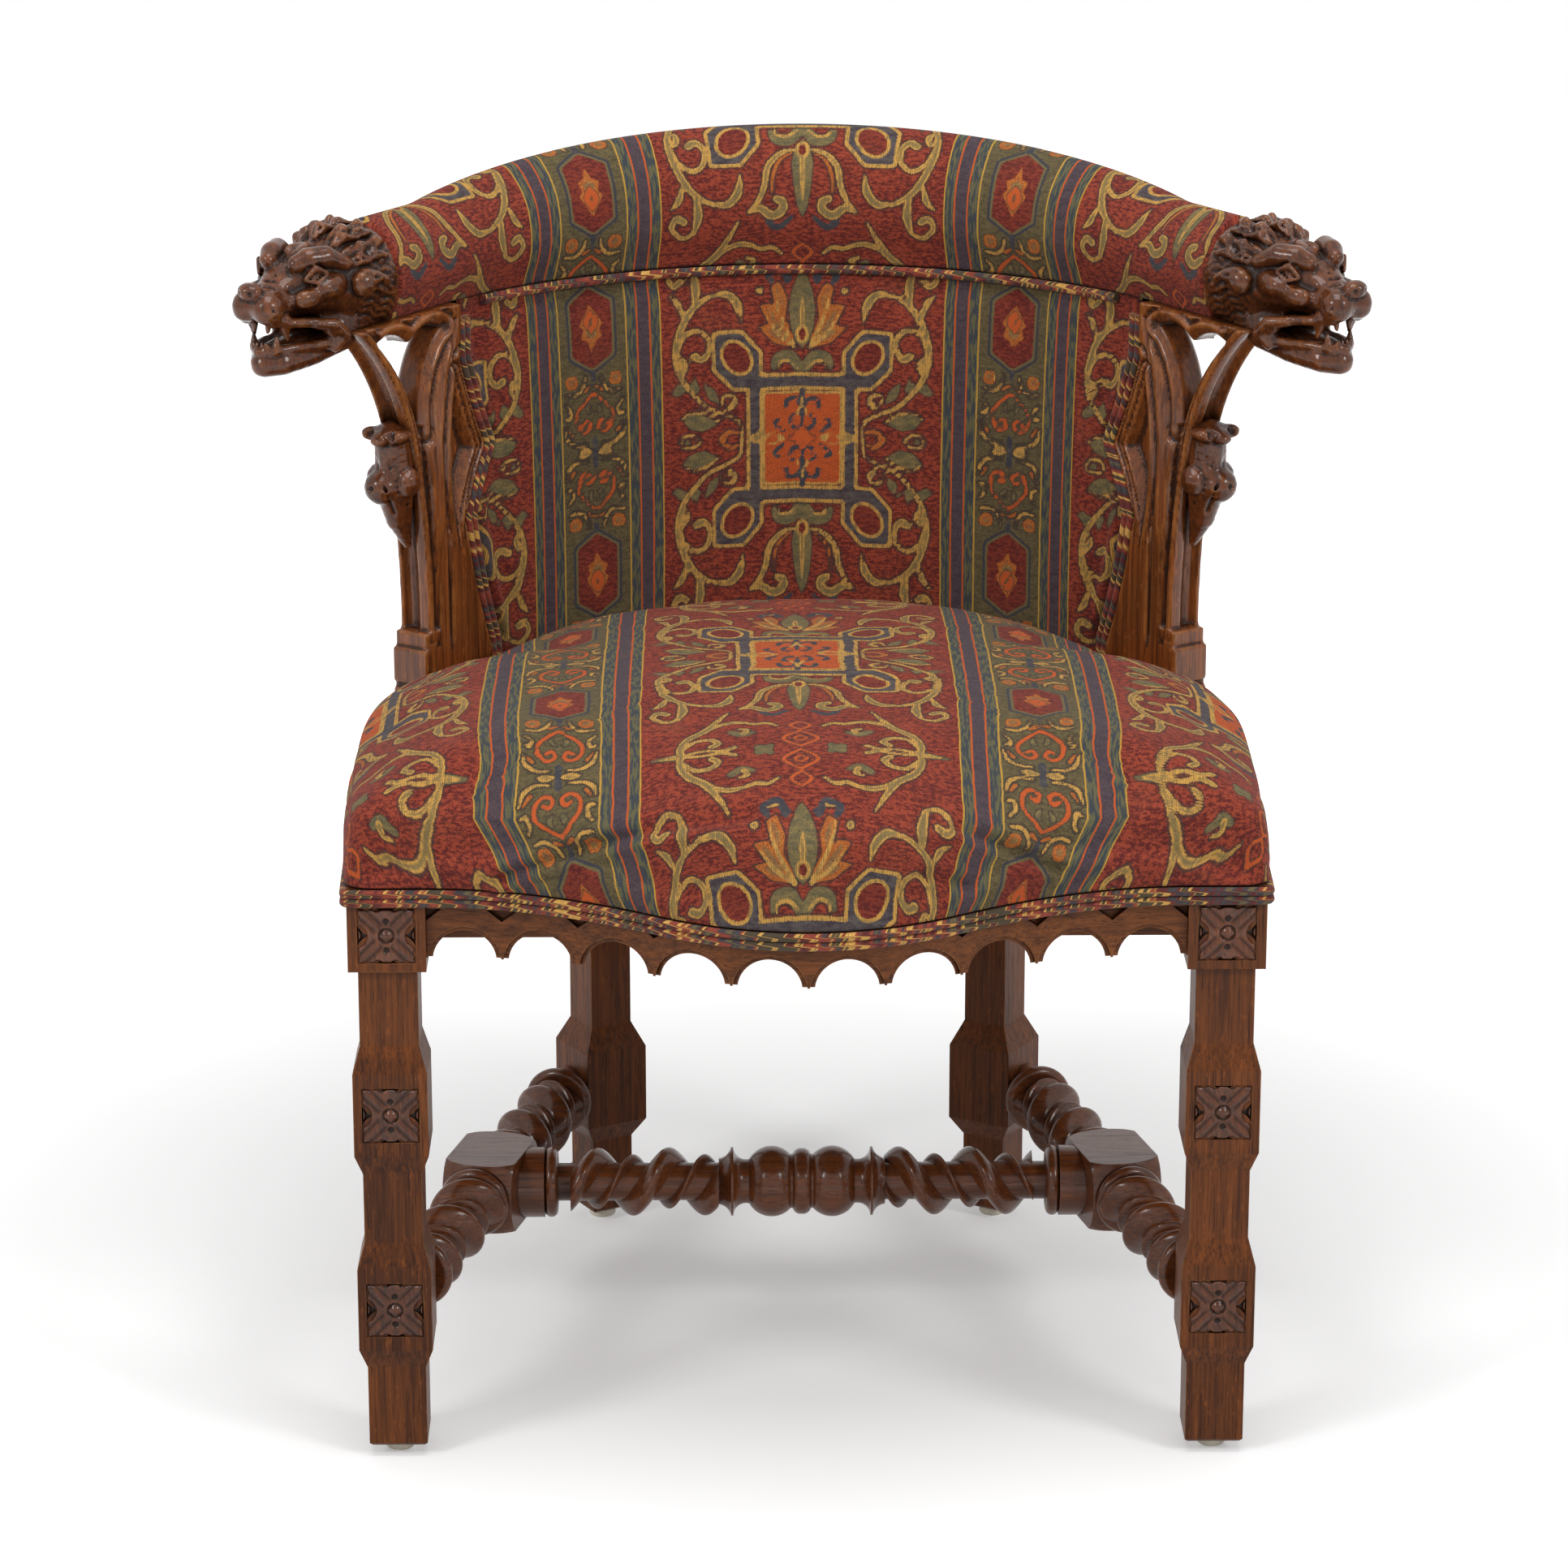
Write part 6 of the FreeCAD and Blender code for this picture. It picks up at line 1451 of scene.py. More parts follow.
def back_cord_path(aside, side):
    """Down the inner edge of an arm panel, the left one for side 1 and the right one for -1."""
    inward = np.full(len(BACK_CORD_HEIGHTS), -CORD_RADIUS - 0.3)
    path = np.stack([edge_x(BACK_CORD_HEIGHTS) + aside, inward, BACK_CORD_HEIGHTS], 1)
    return board_to_chair(path) * (side, 1, 1)


crest_turn = np.radians(np.linspace(CREST_CORD_END, -CREST_CORD_END, CREST_CORD_POINTS))
crest_radius, crest_z = (np.full(CREST_CORD_POINTS, value) for value in CREST_CORD_PLACE)
cords("seat_welt", [seat_cord_path(z) for z in SEAT_CORD_HEIGHTS], CORD_RADIUS, ["seat_piping"])
cords("crest_welt", [tub(crest_radius, crest_turn, crest_z)], CREST_CORD_RADIUS, ["crest_piping"])
for side, word in ((1, "left"), (-1, "right")):
    cords("back_welt_" + word, [back_cord_path(aside, side) for aside in BACK_CORD_ASIDE], CORD_RADIUS,
          ["back_piping_" + word])

# %% [markdown]
# ## Under the seat
# Webbing is woven over the rails, four straps each way, and hessian covers it. Behind the back pad another
# hessian sheet is stretched. They are seen only from below, but a chair without them would be hollow.

# %% Hessian finish
hessian = Finish("hessian")
thread_x = hessian.noise(hessian.place(stretch=(1, 0.06, 1)), 900.0, 2.0)
thread_y = hessian.noise(hessian.place(stretch=(0.06, 1, 1)), 900.0, 2.0)
jute = hessian.blend((thread_x + thread_y).rise(0.8, 1.25), rgb(112, 88, 58), rgb(176, 148, 104))
hessian.set(Base_Color=jute, Roughness=0.92, Normal=hessian.bump(thread_x + thread_y, 0.0008, 0.8))

# %% Webbing and hessian
STRAP_WIDTH = 50.0
STRAP_THICK = 1.6
STRAP_STEP = 92.0
STRAPS = 4
STRAP_POINTS = 70
DECK_RADIUS = 273.2          # where the straps end on the curved rail
SELVEDGE = (-0.5, -0.49, -0.46, -0.3, 0, 0.3, 0.46, 0.49, 0.5)


def slab(name, grid, thick, nodes):
    """A thin closed sheet from a grid of points on its lower face."""
    rows, cols = grid.shape[:2]
    made = piece(name, metres(grid.reshape(-1, 3)), grid_faces(rows, cols), hessian.material)
    shell = made.modifiers.new("thickness", "SOLIDIFY")
    shell.thickness = thick / 1000
    shell.offset = 1.0
    settled(made)
    return in_place(made, "hessian", *nodes)


deck_low, deck_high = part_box("seat_webbing")
deck_start = (deck_low.y - FRONT_Y) * 1000
deck_end = (deck_high.y - FRONT_Y) * 1000
middle_y = (deck_start + deck_end) / 2
across_strap = np.array(SELVEDGE) * STRAP_WIDTH


def strap_reach(aside):
    """How far a strap runs before it meets the curved rail."""
    return math.sqrt(DECK_RADIUS ** 2 - (abs(aside) + STRAP_WIDTH / 2) ** 2)


for n in range(STRAPS):
    aside = (n - (STRAPS - 1) / 2) * STRAP_STEP
    for way in (0, 1):
        if way == 0:
            along_strap = np.linspace(deck_start, TUB_Y + strap_reach(aside), STRAP_POINTS)
            v, u = np.meshgrid(along_strap, across_strap + aside, indexing="ij")
            spots = np.stack([u, v, np.full(u.shape, RAIL_TOP + 0.1)], -1)
        else:
            reach = strap_reach(middle_y + aside - TUB_Y)
            along_strap = np.linspace(-reach, reach, STRAP_POINTS)
            u, v = np.meshgrid(along_strap, across_strap + middle_y + aside, indexing="ij")
            spots = np.stack([u, v, np.full(u.shape, RAIL_TOP + STRAP_THICK)], -1)[:, ::-1]
        slab("webbing_%d%d" % (way, n), spots, STRAP_THICK - 0.1, ["seat_webbing"])

# %% Hessian sheets
HESSIAN_RADIUS = 273.0
HESSIAN_POINTS = 61
LINING_ANGLE = 48.9          # degrees
LINING_RADIUS = 292.9
LINING_LOW = 396.0
LINING_HIGH = 699.0

cloth_low, cloth_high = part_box("seat_canvas")
turn = np.linspace(-1, 1, HESSIAN_POINTS)
side_x, side_y = np.meshgrid(turn, turn)
disc_x = side_x * np.sqrt(1 - side_y ** 2 / 2) * HESSIAN_RADIUS
disc_y = TUB_Y + side_y * np.sqrt(1 - side_x ** 2 / 2) * HESSIAN_RADIUS
disc_y = np.maximum(disc_y, (cloth_low.y - FRONT_Y) * 1000 + (disc_y - TUB_Y + HESSIAN_RADIUS) * 0.02)
disc = np.stack([disc_x, disc_y, np.full(disc_x.shape, cloth_low.z * 1000)], -1)
deck = slab("seat_hessian", disc, 0.9, ["seat_canvas"])
deck_area = sum(face.area for face in deck.data.polygons) / 2

turn, up = np.meshgrid(np.radians(np.linspace(LINING_ANGLE, -LINING_ANGLE, 80)),
                       np.linspace(LINING_LOW, LINING_HIGH, 40))
lining = slab("back_hessian", tub(np.full(turn.shape, LINING_RADIUS), turn, up), 0.8, ["back_canvas"])
print("under the seat done")

# %% [markdown]
# ## Carving in clay
# Carved forms flow into each other, which is hard to do with faces and easy with distances: every form is
# a formula for how far a point lies from it, forms are joined or cut with a soft minimum, and the surface
# is found where the distance is zero. `Clay` keeps the distance on a grid of points, and `carved` walks
# the grid once, putting one mesh point in every cell that the surface crosses.


# %% Clay
class Clay:
    """A block of points with the distance to the solid so far, in millimetres."""

    EMPTY = 60.0             # distance before anything is added

    def __init__(self, low, high, cell):
        axes = [np.arange(a, b + cell, cell) for a, b in zip(low, high)]
        self.low, self.cell = np.array(low, float), cell
        self.x, self.y, self.z = np.meshgrid(*axes, indexing="ij")
        self.field = np.full(self.x.shape, self.EMPTY)

    def add(self, form, soft=3.0):
        """Joins a form on, with a fillet as wide as soft."""
        blend = np.clip(0.5 + 0.5 * (form - self.field) / soft, 0, 1)
        self.field = form * (1 - blend) + self.field * blend - soft * blend * (1 - blend)

    def cut(self, form, soft=1.5):
        """Takes a form away, with the edge softened."""
        blend = np.clip(0.5 - 0.5 * (self.field + form) / soft, 0, 1)
        self.field = self.field * (1 - blend) - form * blend + soft * blend * (1 - blend)

    def ball(self, centre, radii, twins=False):
        """An egg, or two eggs on both sides of the middle."""
        y = np.abs(self.y) if twins else self.y
        p = [(v - c) / r for v, c, r in zip((self.x, y, self.z), centre, radii)]
        near = np.sqrt(sum(v * v for v in p))
        steep = np.sqrt(sum((v / r) ** 2 for v, r in zip(p, radii)))
        return near * (near - 1) / np.maximum(steep, 1e-6)

    def rod(self, points, radii, twins=False):
        """A bent rod through points, as thick at each as its radius says."""
        y = np.abs(self.y) if twins else self.y
        best = np.full(self.x.shape, self.EMPTY)
        for a, b, ra, rb in zip(points, points[1:], radii, radii[1:]):
            way = [q - p for p, q in zip(a, b)]
            size = sum(w * w for w in way)
            off = (self.x - a[0], y - a[1], self.z - a[2])
            t = np.clip(sum(o * w for o, w in zip(off, way)) / size, 0, 1)
            gap = np.sqrt(sum((o - w * t) ** 2 for o, w in zip(off, way)))
            best = np.minimum(best, gap - ra - (rb - ra) * t)
        return best


def carved(clay):
    """Points in the clay's own millimetres and faces of the surface where the distance is zero."""
    field = clay.field
    cells = tuple(n - 1 for n in field.shape)
    total, count = np.zeros(cells + (3,)), np.zeros(cells)
    for axis in range(3):
        others = [k for k in range(3) if k != axis]
        for a in (0, 1):
            for b in (0, 1):
                start = [0, 0, 0]
                start[others[0]], start[others[1]] = a, b
                end = list(start)
                end[axis] = 1
                f0 = field[tuple(slice(s, s + n) for s, n in zip(start, cells))]
                f1 = field[tuple(slice(s, s + n) for s, n in zip(end, cells))]
                cross = (f0 < 0) != (f1 < 0)
                share = f0[cross] / (f0[cross] - f1[cross])
                total[cross, axis] += share
                total[cross, others[0]] += a
                total[cross, others[1]] += b
                count[cross] += 1
    live = count > 0
    number = np.full(cells, -1)
    number[live] = np.arange(live.sum())
    spots = clay.low + (np.argwhere(live) + total[live] / count[live][:, None]) * clay.cell
    inside = field < 0
    quads = []
    for axis in range(3):
        u, v = [(axis + 1) % 3, (axis + 2) % 3]
        near = [slice(0, None)] * 3
        far = [slice(0, None)] * 3
        near[axis], far[axis] = slice(0, -1), slice(1, None)
        for k in (u, v):
            near[k] = far[k] = slice(1, -1)
        before, after = inside[tuple(near)], inside[tuple(far)]
        at = np.argwhere(before != after)
        at[:, u] += 1
        at[:, v] += 1
        corners = []
        for du, dv in ((-1, -1), (0, -1), (0, 0), (-1, 0)):
            place = at.copy()
            place[:, u] += du
            place[:, v] += dv
            corners.append(number[tuple(place.T)])
        quad = np.stack(corners, 1)
        flip = ~before[before != after]
        quad[flip] = quad[flip][:, ::-1]
        quads.append(quad)
    return spots, np.vstack(quads)


def eased(spots, quads, turns=2):
    """Points moved a little towards the middle of their neighbours, to take off the grid's steps."""
    edges = np.vstack([quads[:, (k, (k + 1) % 4)] for k in range(4)])
    for _ in range(turns):
        total, count = np.zeros(spots.shape), np.zeros(len(spots))
        np.add.at(total, edges[:, 0], spots[edges[:, 1]])
        np.add.at(count, edges[:, 0], 1)
        spots = spots * 0.5 + total / np.maximum(count, 1)[:, None] * 0.5
    return spots


def hollows(clay, spots, turns=4, gain=2.0):
    """How much each point lies in a hollow, up to 1, or on a ridge, down to -1."""
    sharp = clay.field.clip(-6, 6)
    soft = sharp
    for _ in range(turns):
        for axis in range(3):
            soft = (np.roll(soft, 1, axis) + 2 * soft + np.roll(soft, -1, axis)) / 4
    at = tuple(np.rint((spots - clay.low) / clay.cell).astype(int).T)
    return np.clip((sharp[at] - soft[at]) * gain, -1, 1)


def carved_pair(name, clay, to_chair, node, material):
    """The carving on the left side and its mirror image on the right."""
    spots, quads = carved(clay)
    print(name, len(quads), "faces on each side")
    left = to_chair(eased(spots, quads))
    depths = hollows(clay, spots)
    for word, side in (("left", 1), ("right", -1)):
        points = left * (side, 1, 1)
        faces = quads if side > 0 else quads[:, ::-1]
        made = piece(name + "_" + word, metres(points), faces.tolist(), material)
        # sunk darkens the hollows as painted shade and makes the ridges paler as wear
        keep(made, "sunk", depths)
        in_place(made, "oak", node + "_" + word)


# %% [markdown]
# ### The beast heads
# Each arm ends in a snarling lion-like head. The carver worked out from the big forms to the small: neck,
# skull and muzzle first, then brows, cheeks and jaw, then the mouth is hollowed, and last come teeth,
# eyes, curls and the chisel marks of the fur. The head looks out along the arm, x from the neck to the
# nose, and is the same on both sides of its middle.

# %% Beast head
HEAD_CELL = 1.2
head = Clay((-6, -48, -54), (128, 48, 54), HEAD_CELL)
BIG_FORMS = (
    ((10, 0, 1), (36, 34, 35), 4), ((34, 0, 6), (30, 33, 30), 8), ((62, 0, 9), (30, 26, 20), 8),
    ((90, 0, 4), (24, 17, 13), 7), ((40, 0, -24), (32, 25, 16), 8),
)
for centre, radii, soft in BIG_FORMS:
    head.add(head.ball(centre, radii), soft)
head.add(head.ball((105, 9, 2.5), (11, 10, 11.5), True), 4)
head.add(head.ball((112, 0, 15), (7.5, 9, 6)), 1.5)
head.add(head.rod([(79, 12, 27), (71, 16, 29), (60, 21, 29), (46, 25, 22)], (6, 8, 7.5, 5), True), 3)
head.add(head.ball((66, 0, 33), (13, 7, 6)), 3)
head.add(head.ball((79, 21, 6), (11, 7, 8), True), 4)
head.add(head.ball((62, 26, 10), (12, 7, 8), True), 4)
head.cut(head.rod([(90, 21, -3), (72, 28, 0), (56, 32, 4)], (1, 1.8, 1), True), 3)
head.cut(head.rod([(92, 0, 25), (74, 0, 34), (52, 0, 43)], (2.5, 4, 3)), 6)
head.cut(head.rod([(88, 15, 12), (80, 22, 15), (62, 29, 21)], (1.5, 2.5, 1.5), True), 5)
head.add(head.rod([(46, 15, -31), (70, 13, -35), (95, 8, -36), (103, 0, -36)], (9, 8, 8.5, 9), True), 5)
head.add(head.ball((74, 0, -37), (34, 15, 6)), 5)
print("head roughed out of", head.field.size, "points")

# %% Mouth, teeth and tongue
MOUTH_CORNER = 57.0
MOUTH_LENGTH = 38.0
HALF_GAPE = 7.4
gape = np.clip((head.x - MOUTH_CORNER) / MOUTH_LENGTH, 0, 1)
middle = -16 - (100 - head.x) * 0.17
mouth = np.maximum(np.abs(head.z - middle) - HALF_GAPE * np.sqrt(gape), MOUTH_CORNER - head.x)
head.cut(mouth, 2.5)
head.cut(head.ball((72, 0, -19), (34, 14, 10)), 3)
upper_lip = [(105, 11, -6.5), (91, 17.5, -9), (79, 21, -11), (68, 24, -15), (60, 26, -24)]
lower_lip = [(108, 0, -27), (102, 9, -26.5), (87, 15, -27), (72, 19, -28.5), (61, 25, -28)]
head.add(head.rod(upper_lip, (3.2, 3.4, 3.6, 4, 4), True), 4)
head.add(head.rod(lower_lip, (3.2, 3.4, 3.4, 3.4, 3.6), True), 3)
head.add(head.ball((78, 0, -27), (27, 9.5, 4.5)), 2)
head.cut(head.rod([(100, 0, -22), (64, 0, -21)], (1.0, 1.2)), 1.5)
head.add(head.rod([(97, 13.5, -6), (95, 14.5, -20)], (5.4, 1.3), True), 1)
head.add(head.rod([(103, 6, -9), (104, 6, -13.5)], (2.4, 1.6), True), 0.8)
head.add(head.rod([(101, 9.5, -26), (100, 10.5, -17)], (3.4, 1.2), True), 1)
for aside in (2.2, 5.8):
    head.add(head.rod([(106, aside, -26), (106, aside, -21.5)], (2.0, 1.5), True), 0.6)
print("mouth cut and teeth set")

# %% Eyes, nose, ears and mane
head.cut(head.ball((73, 23.5, 20.5), (8, 6.5, 6), True), 2)
head.add(head.ball((71.5, 20, 20.5), (6, 5.4, 5.4), True), 0.6)
head.cut(head.ball((74.5, 25.2, 21), (2.0, 2.4, 2.0), True), 0.5)
head.add(head.rod([(80, 20.5, 18), (74, 25, 25), (65, 27, 20)], (1.6, 2.2, 1.4), True), 0.8)
head.add(head.rod([(80, 20.5, 17), (73, 25.5, 14.8), (65, 27, 19)], (1.3, 1.8, 1.2), True), 0.8)
head.cut(head.ball((118.5, 5, 14.5), (3.4, 2.8, 2.6), True), 1)
head.cut(head.rod([(121, 0, 14), (118.5, 0, -4)], (1.0, 1.2)), 1.5)
for back, level in ((99, 15.5), (92.5, 16.5), (86, 17.5)):
    head.cut(head.rod([(back - 2, 9, level - 3), (back, 0, level + 1.5)], (0.8, 1.0), True), 2)
for back, up in ((104, 3), (98, 1), (103, -2)):
    head.cut(head.ball((back + 5, 17.5, up), (1.0, 1.6, 1.0), True), 0.8)
head.add(head.rod([(76, 25, -12), (63, 29, -15), (55, 29.5, -24), (62, 26, -32)], (2.6, 4, 4.2, 3), True), 3)
head.add(head.ball((38, 34, 8), (10, 8, 9.5), True), 1)
head.add(head.rod([(34, 35, 12), (24, 36.5, 5), (13, 36, -4)], (5, 6, 2.5), True), 1.5)
head.cut(head.rod([(27, 42, 4), (19, 41.5, -2)], (4.4, 2.6), True), 1)
for n, turn in enumerate(np.radians(np.linspace(0, 60, 5))):
    s, c = math.sin(turn), math.cos(turn)
    sway = 2.5 if n % 2 else -1.5
    front = 46 - 5 * (n % 2)
    for reach, shift in ((front, 0), (front - 15, 5)):
        lock = [(reach, 30 * s, 5 + 31 * c), (reach - 9, 35 * s + sway, 4 + 36.5 * c),
                (reach - 20, 35 * s - sway, 3 + 35 * c)]
        parting = [(reach - 3, 34 * s + shift * 0.3, 5 + 36 * c), (reach - 17, 38 * s, 3 + 39.5 * c)]
        head.add(head.rod(lock, (2.0, 4.4, 1.6), n > 0), 1.6)
        head.cut(head.rod(parting, (0.6, 0.9), n > 0), 1.2)
print("face and mane carved")

# %% Fur and chisel marks
rough = np.sin(head.x * 0.9 + np.sin(head.z * 0.35) * 2.2 + np.abs(head.y) * 0.8)
fine = np.sin(head.z * 1.15 - head.x * 0.55 + np.sin(head.x * 0.4) * 1.6)
on_neck = np.clip((44 - head.x) / 10, 0, 1) * np.clip((24 - head.z) / 10, 0, 1)
on_crown = np.clip((48 - head.x) / 6, 0, 1) * np.clip((head.z - 10) / 8, 0, 1)
strands = np.sin(np.arctan2(head.y, head.z) * 46 + np.sin(head.x * 0.22) * 2.4)
head.field += 0.55 * fine * on_neck + 0.4 * strands * on_crown + 0.10 * rough
HEAD_TURN = math.radians(5.0)
HEAD_PITCH = math.radians(4.0)
HEAD_Z = 728.5
NECK_GAP = 0.2               # between the sawn end of the neck and the arm
stop = np.cos(HEAD_TURN) * head.x - np.sin(HEAD_TURN) * head.y
head.field = np.maximum(head.field, NECK_GAP - stop)


def head_to_chair(spots):
    """Points of the left head, turned outwards and nodding a little, on the end of the arm."""
    panel = math.radians(PANEL_ANGLE)
    forward = np.array([-math.cos(panel), -math.sin(panel), 0])
    outside = np.array([-math.sin(panel), math.cos(panel), 0])
    up = np.array([0, 0, 1.0])
    level = forward * math.cos(HEAD_TURN) + outside * math.sin(HEAD_TURN)
    x_axis = level * math.cos(HEAD_PITCH) - up * math.sin(HEAD_PITCH)
    y_axis = np.cross(up, level)
    z_axis = np.cross(x_axis, y_axis)
    origin = np.array([0, TUB_Y, HEAD_Z]) + outside * CREST_MIDDLE + forward * ARM_RUN
    return origin + spots[:, :1] * x_axis + spots[:, 1:2] * y_axis + spots[:, 2:] * z_axis


carved_pair("carved_head", head, head_to_chair, "beast_head", oak_carved)

# %% [markdown]
# ### The arm panels
# Each panel is a pierced board with Gothic mouldings: a nose, hollow and roll run down its front edge,
# the opening and the sunk spandrel have sloping sides, and fine grooves follow them. All of these are
# depths that depend only on the distance from an outline, so four outlines drawn on the board give every
# moulding.

# %% Arm panel
BOARD_CELL = 1.25
BOARD_THICK = 28.0
FRONT_ARCS = (((74, 455), (76, 540), (88, 612)), ((88, 612), (109.6, 661), (146, 700)))
OPENING_ARCS = (((77, 620), (94, 657), (121, 688)), ((121, 688), (103.5, 690.5), (86, 682)),
                ((86, 682), (68, 690.5), (50, 688)), ((50, 688), (70, 662), (77, 620)))
SUNK_ARCS = (((38, 655), (27, 628), (14, 597)), ((14, 597), (30, 566), (36, 524)),
             ((36, 524), (46, 598), (38, 655)))
FOOT_Z = 366.0
FRONT_X = 74.0               # front of the board at its foot
BOARD_TOP = 700.2

board = Clay((-4, -33, 362), (150, 6, 703), BOARD_CELL)
flat_x, flat_z = board.x[:, 0, :], board.z[:, 0, :]
front_line = np.vstack([arc_through(*run) for run in FRONT_ARCS])
inner_line = np.vstack([arc_through(*run) for run in EDGE_ARCS])
outline = np.vstack([[(0, FOOT_Z), (FRONT_X, FOOT_Z)], front_line, [(146, BOARD_TOP), (31, BOARD_TOP)],
                     inner_line[::-1]])
opening = np.vstack([arc_through(*run)[:-1] for run in OPENING_ARCS])
sinking = np.vstack([arc_through(*run)[:-1] for run in SUNK_ARCS])
in_board = polygon_distance(flat_x, flat_z, outline)
in_opening = polygon_distance(flat_x, flat_z, opening)
in_sinking = polygon_distance(flat_x, flat_z, sinking)


def line_distance(points):
    """How far each place on the board lies from a line of points."""
    best = np.full(flat_x.shape, 1e9)
    for (ax, az), (bx, bz) in zip(points, points[1:]):
        ex, ez = bx - ax, bz - az
        t = np.clip(((flat_x - ax) * ex + (flat_z - az) * ez) / max(ex * ex + ez * ez, 1e-9), 0, 1)
        best = np.minimum(best, np.hypot(flat_x - ax - ex * t, flat_z - az - ez * t))
    return best


def groove(distance, deep, wide, away=0.0):
    """Depth of a round groove that runs at a distance from a line."""
    return deep * np.exp(-((distance - away) / wide) ** 2)


print("panel drawn on", flat_x.shape, "places")

# %% Mouldings of the panel
MOULDING = ((0, 3.6), (1.6, 1.2), (4.0, 0.4), (5.6, 1.4), (7.0, 4.2), (9.0, 4.8), (10.8, 3.4), (12.4, 0.6),
            (14, 0))         # distance from the front edge and depth
MOULDING_FOOT = 470.0
OPENING_SLOPE = 5.5
SINKING_DEPTH = 9.5
INNER_ROUND = 4.5
LONG_GROOVES = (([(64, 456), (66, 520), (70, 580), (76, 622)], 6.5, 1.9),
                ([(48, 456), (49, 540), (53, 600), (51, 640), (38, 690)], 4.2, 1.8))
MULLION = ((60, 500), (59, 560), (61, 610), (55, 650), (42, 690))

to_front = line_distance(np.vstack([[(FRONT_X, MOULDING_FOOT)], front_line]))
to_inner = line_distance(inner_line)
above = smoothstep(flat_z, 520, 560)
low_down = smoothstep(flat_z, 456, 474)
into_round = np.maximum(INNER_ROUND - to_inner, 0)
depth = np.maximum.reduce([
    np.interp(to_front, *zip(*MOULDING)) * (flat_z > MOULDING_FOOT),
    np.clip(OPENING_SLOPE - in_opening, 0, OPENING_SLOPE),
    np.clip(-in_sinking * 1.1, 0, SINKING_DEPTH),
    INNER_ROUND - np.sqrt(np.maximum(INNER_ROUND ** 2 - into_round ** 2, 0)),
    groove(in_opening, 4.6, 2.0, 10.5) * above * (to_front > 12),
    groove(in_sinking, 3.4, 1.7, 5.2) * above,
    groove(to_inner, 3.0, 1.6, 9.0) * above,
    *(groove(line_distance(line), deep, wide) * low_down for line, deep, wide in LONG_GROOVES),
])
clear_of_both = smoothstep(in_opening, 3, 7) * smoothstep(in_sinking, 1, 4)
depth = depth - groove(line_distance(MULLION), 3.0, 3.6) * above * clear_of_both
depth = depth[:, None, :]
print("deepest moulding", round(float(depth.max()), 1), "mm")

# %% Cut out the panel
ROUND = 1.6
NOSE = (-17.0, 6.5)          # place across the thickness and radius of the hollow beside the nose
NOSE_FOOT = 478.0
LAP_RADIUS = 296.2           # the foot is cut back to this round the seat rail, up to the rail's top
LAP_TOP = 395.1


def soft_most(a, b, soft):
    """The greater of two distances, with the edge softened."""
    blend = np.clip(0.5 - 0.5 * (b - a) / soft, 0, 1)
    return b * (1 - blend) + a * blend + soft * blend * (1 - blend)


slab_field = soft_most(board.y + depth, -BOARD_THICK + np.maximum(depth, 0) - board.y, ROUND)
slab_field = soft_most(slab_field, in_board[:, None, :], ROUND)
board.field = soft_most(slab_field, -in_opening[:, None, :], ROUND)


def block(x0, x1, y0, y1, z0, z1):
    """Distance to a squared block."""
    sides = ((board.x, x0, x1), (board.y, y0, y1), (board.z, z0, z1))
    return np.maximum.reduce([np.maximum(low - v, v - high) for v, low, high in sides])


nosing = np.hypot(to_front[:, None, :], board.y - NOSE[0])
board.cut(np.maximum(nosing - NOSE[1], NOSE_FOOT - board.z), 2.0)
board.add(block(56, 80, -28, 0, FOOT_Z, 466), 1.0)
board.add(block(56, 77.5, -27, -1, FOOT_Z, NOSE_FOOT), 2.0)
board.cut(block(78.5, 90, -40, 10, 438, 441), 1.5)
from_tub = np.hypot(PANEL_FACE - board.y, board.x - PANEL_BACK)
board.cut(np.maximum(from_tub - LAP_RADIUS, board.z - LAP_TOP), 0.4)
carved_pair("carved_panel", board, board_to_chair, "arm_panel", oak_panel)

# %% [markdown]
# ### The crockets
# Half way up each front edge a leaf curls over into a ball, with a scalloped lip above it. It is the same
# clay as before, and is drawn in the panel's own frame, so it lands on the panel's edge.

# %% Crocket
LEAF_CELL = 1.0
MID_Y = -15.5                # middle of the board's thickness
leaf = Clay((62, -46, 526), (124, 14, 630), LEAF_CELL)
stem = [(78, MID_Y, 540), (87, MID_Y, 560), (91, MID_Y, 580), (91, MID_Y, 600), (93, MID_Y, 617)]
leaf.add(leaf.rod(stem, (3, 9, 13, 13, 12)), 2)
leaf.add(leaf.ball((100, MID_Y - 4, 584), (12, 12, 12)), 3)
leaf.add(leaf.ball((97, MID_Y, 621), (13, 18, 4.6)), 3)
for side in (-1, 1):
    leaf.add(leaf.ball((92, MID_Y + side * 13, 588), (9, 7, 10)), 2)
    leaf.cut(leaf.rod([(103, MID_Y + side * 5, 598), (108, MID_Y + side * 6, 622)], (1.2, 1.6)), 2)
    leaf.cut(leaf.ball((106, MID_Y + side * 9, 601), (6, 5, 5)), 1.5)
    leaf.cut(leaf.ball((101, MID_Y + side * 18, 600), (6, 6, 7)), 2)
    leaf.add(leaf.ball((102, MID_Y + side * 11, 621), (5.5, 6, 4.4)), 3)
    leaf.cut(leaf.ball((101, MID_Y + side * 16, 579), (3.4, 3.4, 3.2)), 1.0)
    leaf.cut(leaf.ball((108, MID_Y + side * 9, 624), (5, 3, 7)), 2)
    leaf.cut(leaf.rod([(86, MID_Y + side * 9, 548), (92, MID_Y + side * 12, 572)], (1.0, 1.6)), 1.5)
leaf.cut(leaf.rod([(97, MID_Y + 4, 566), (112, MID_Y + 4, 594)], (0.8, 1.4)), 1.5)
leaf.add(leaf.ball((108, MID_Y, 618), (5, 6, 4)), 2)
leaf.cut(leaf.ball((112, MID_Y - 5, 585), (2.4, 2.4, 2.4)), 0.6)
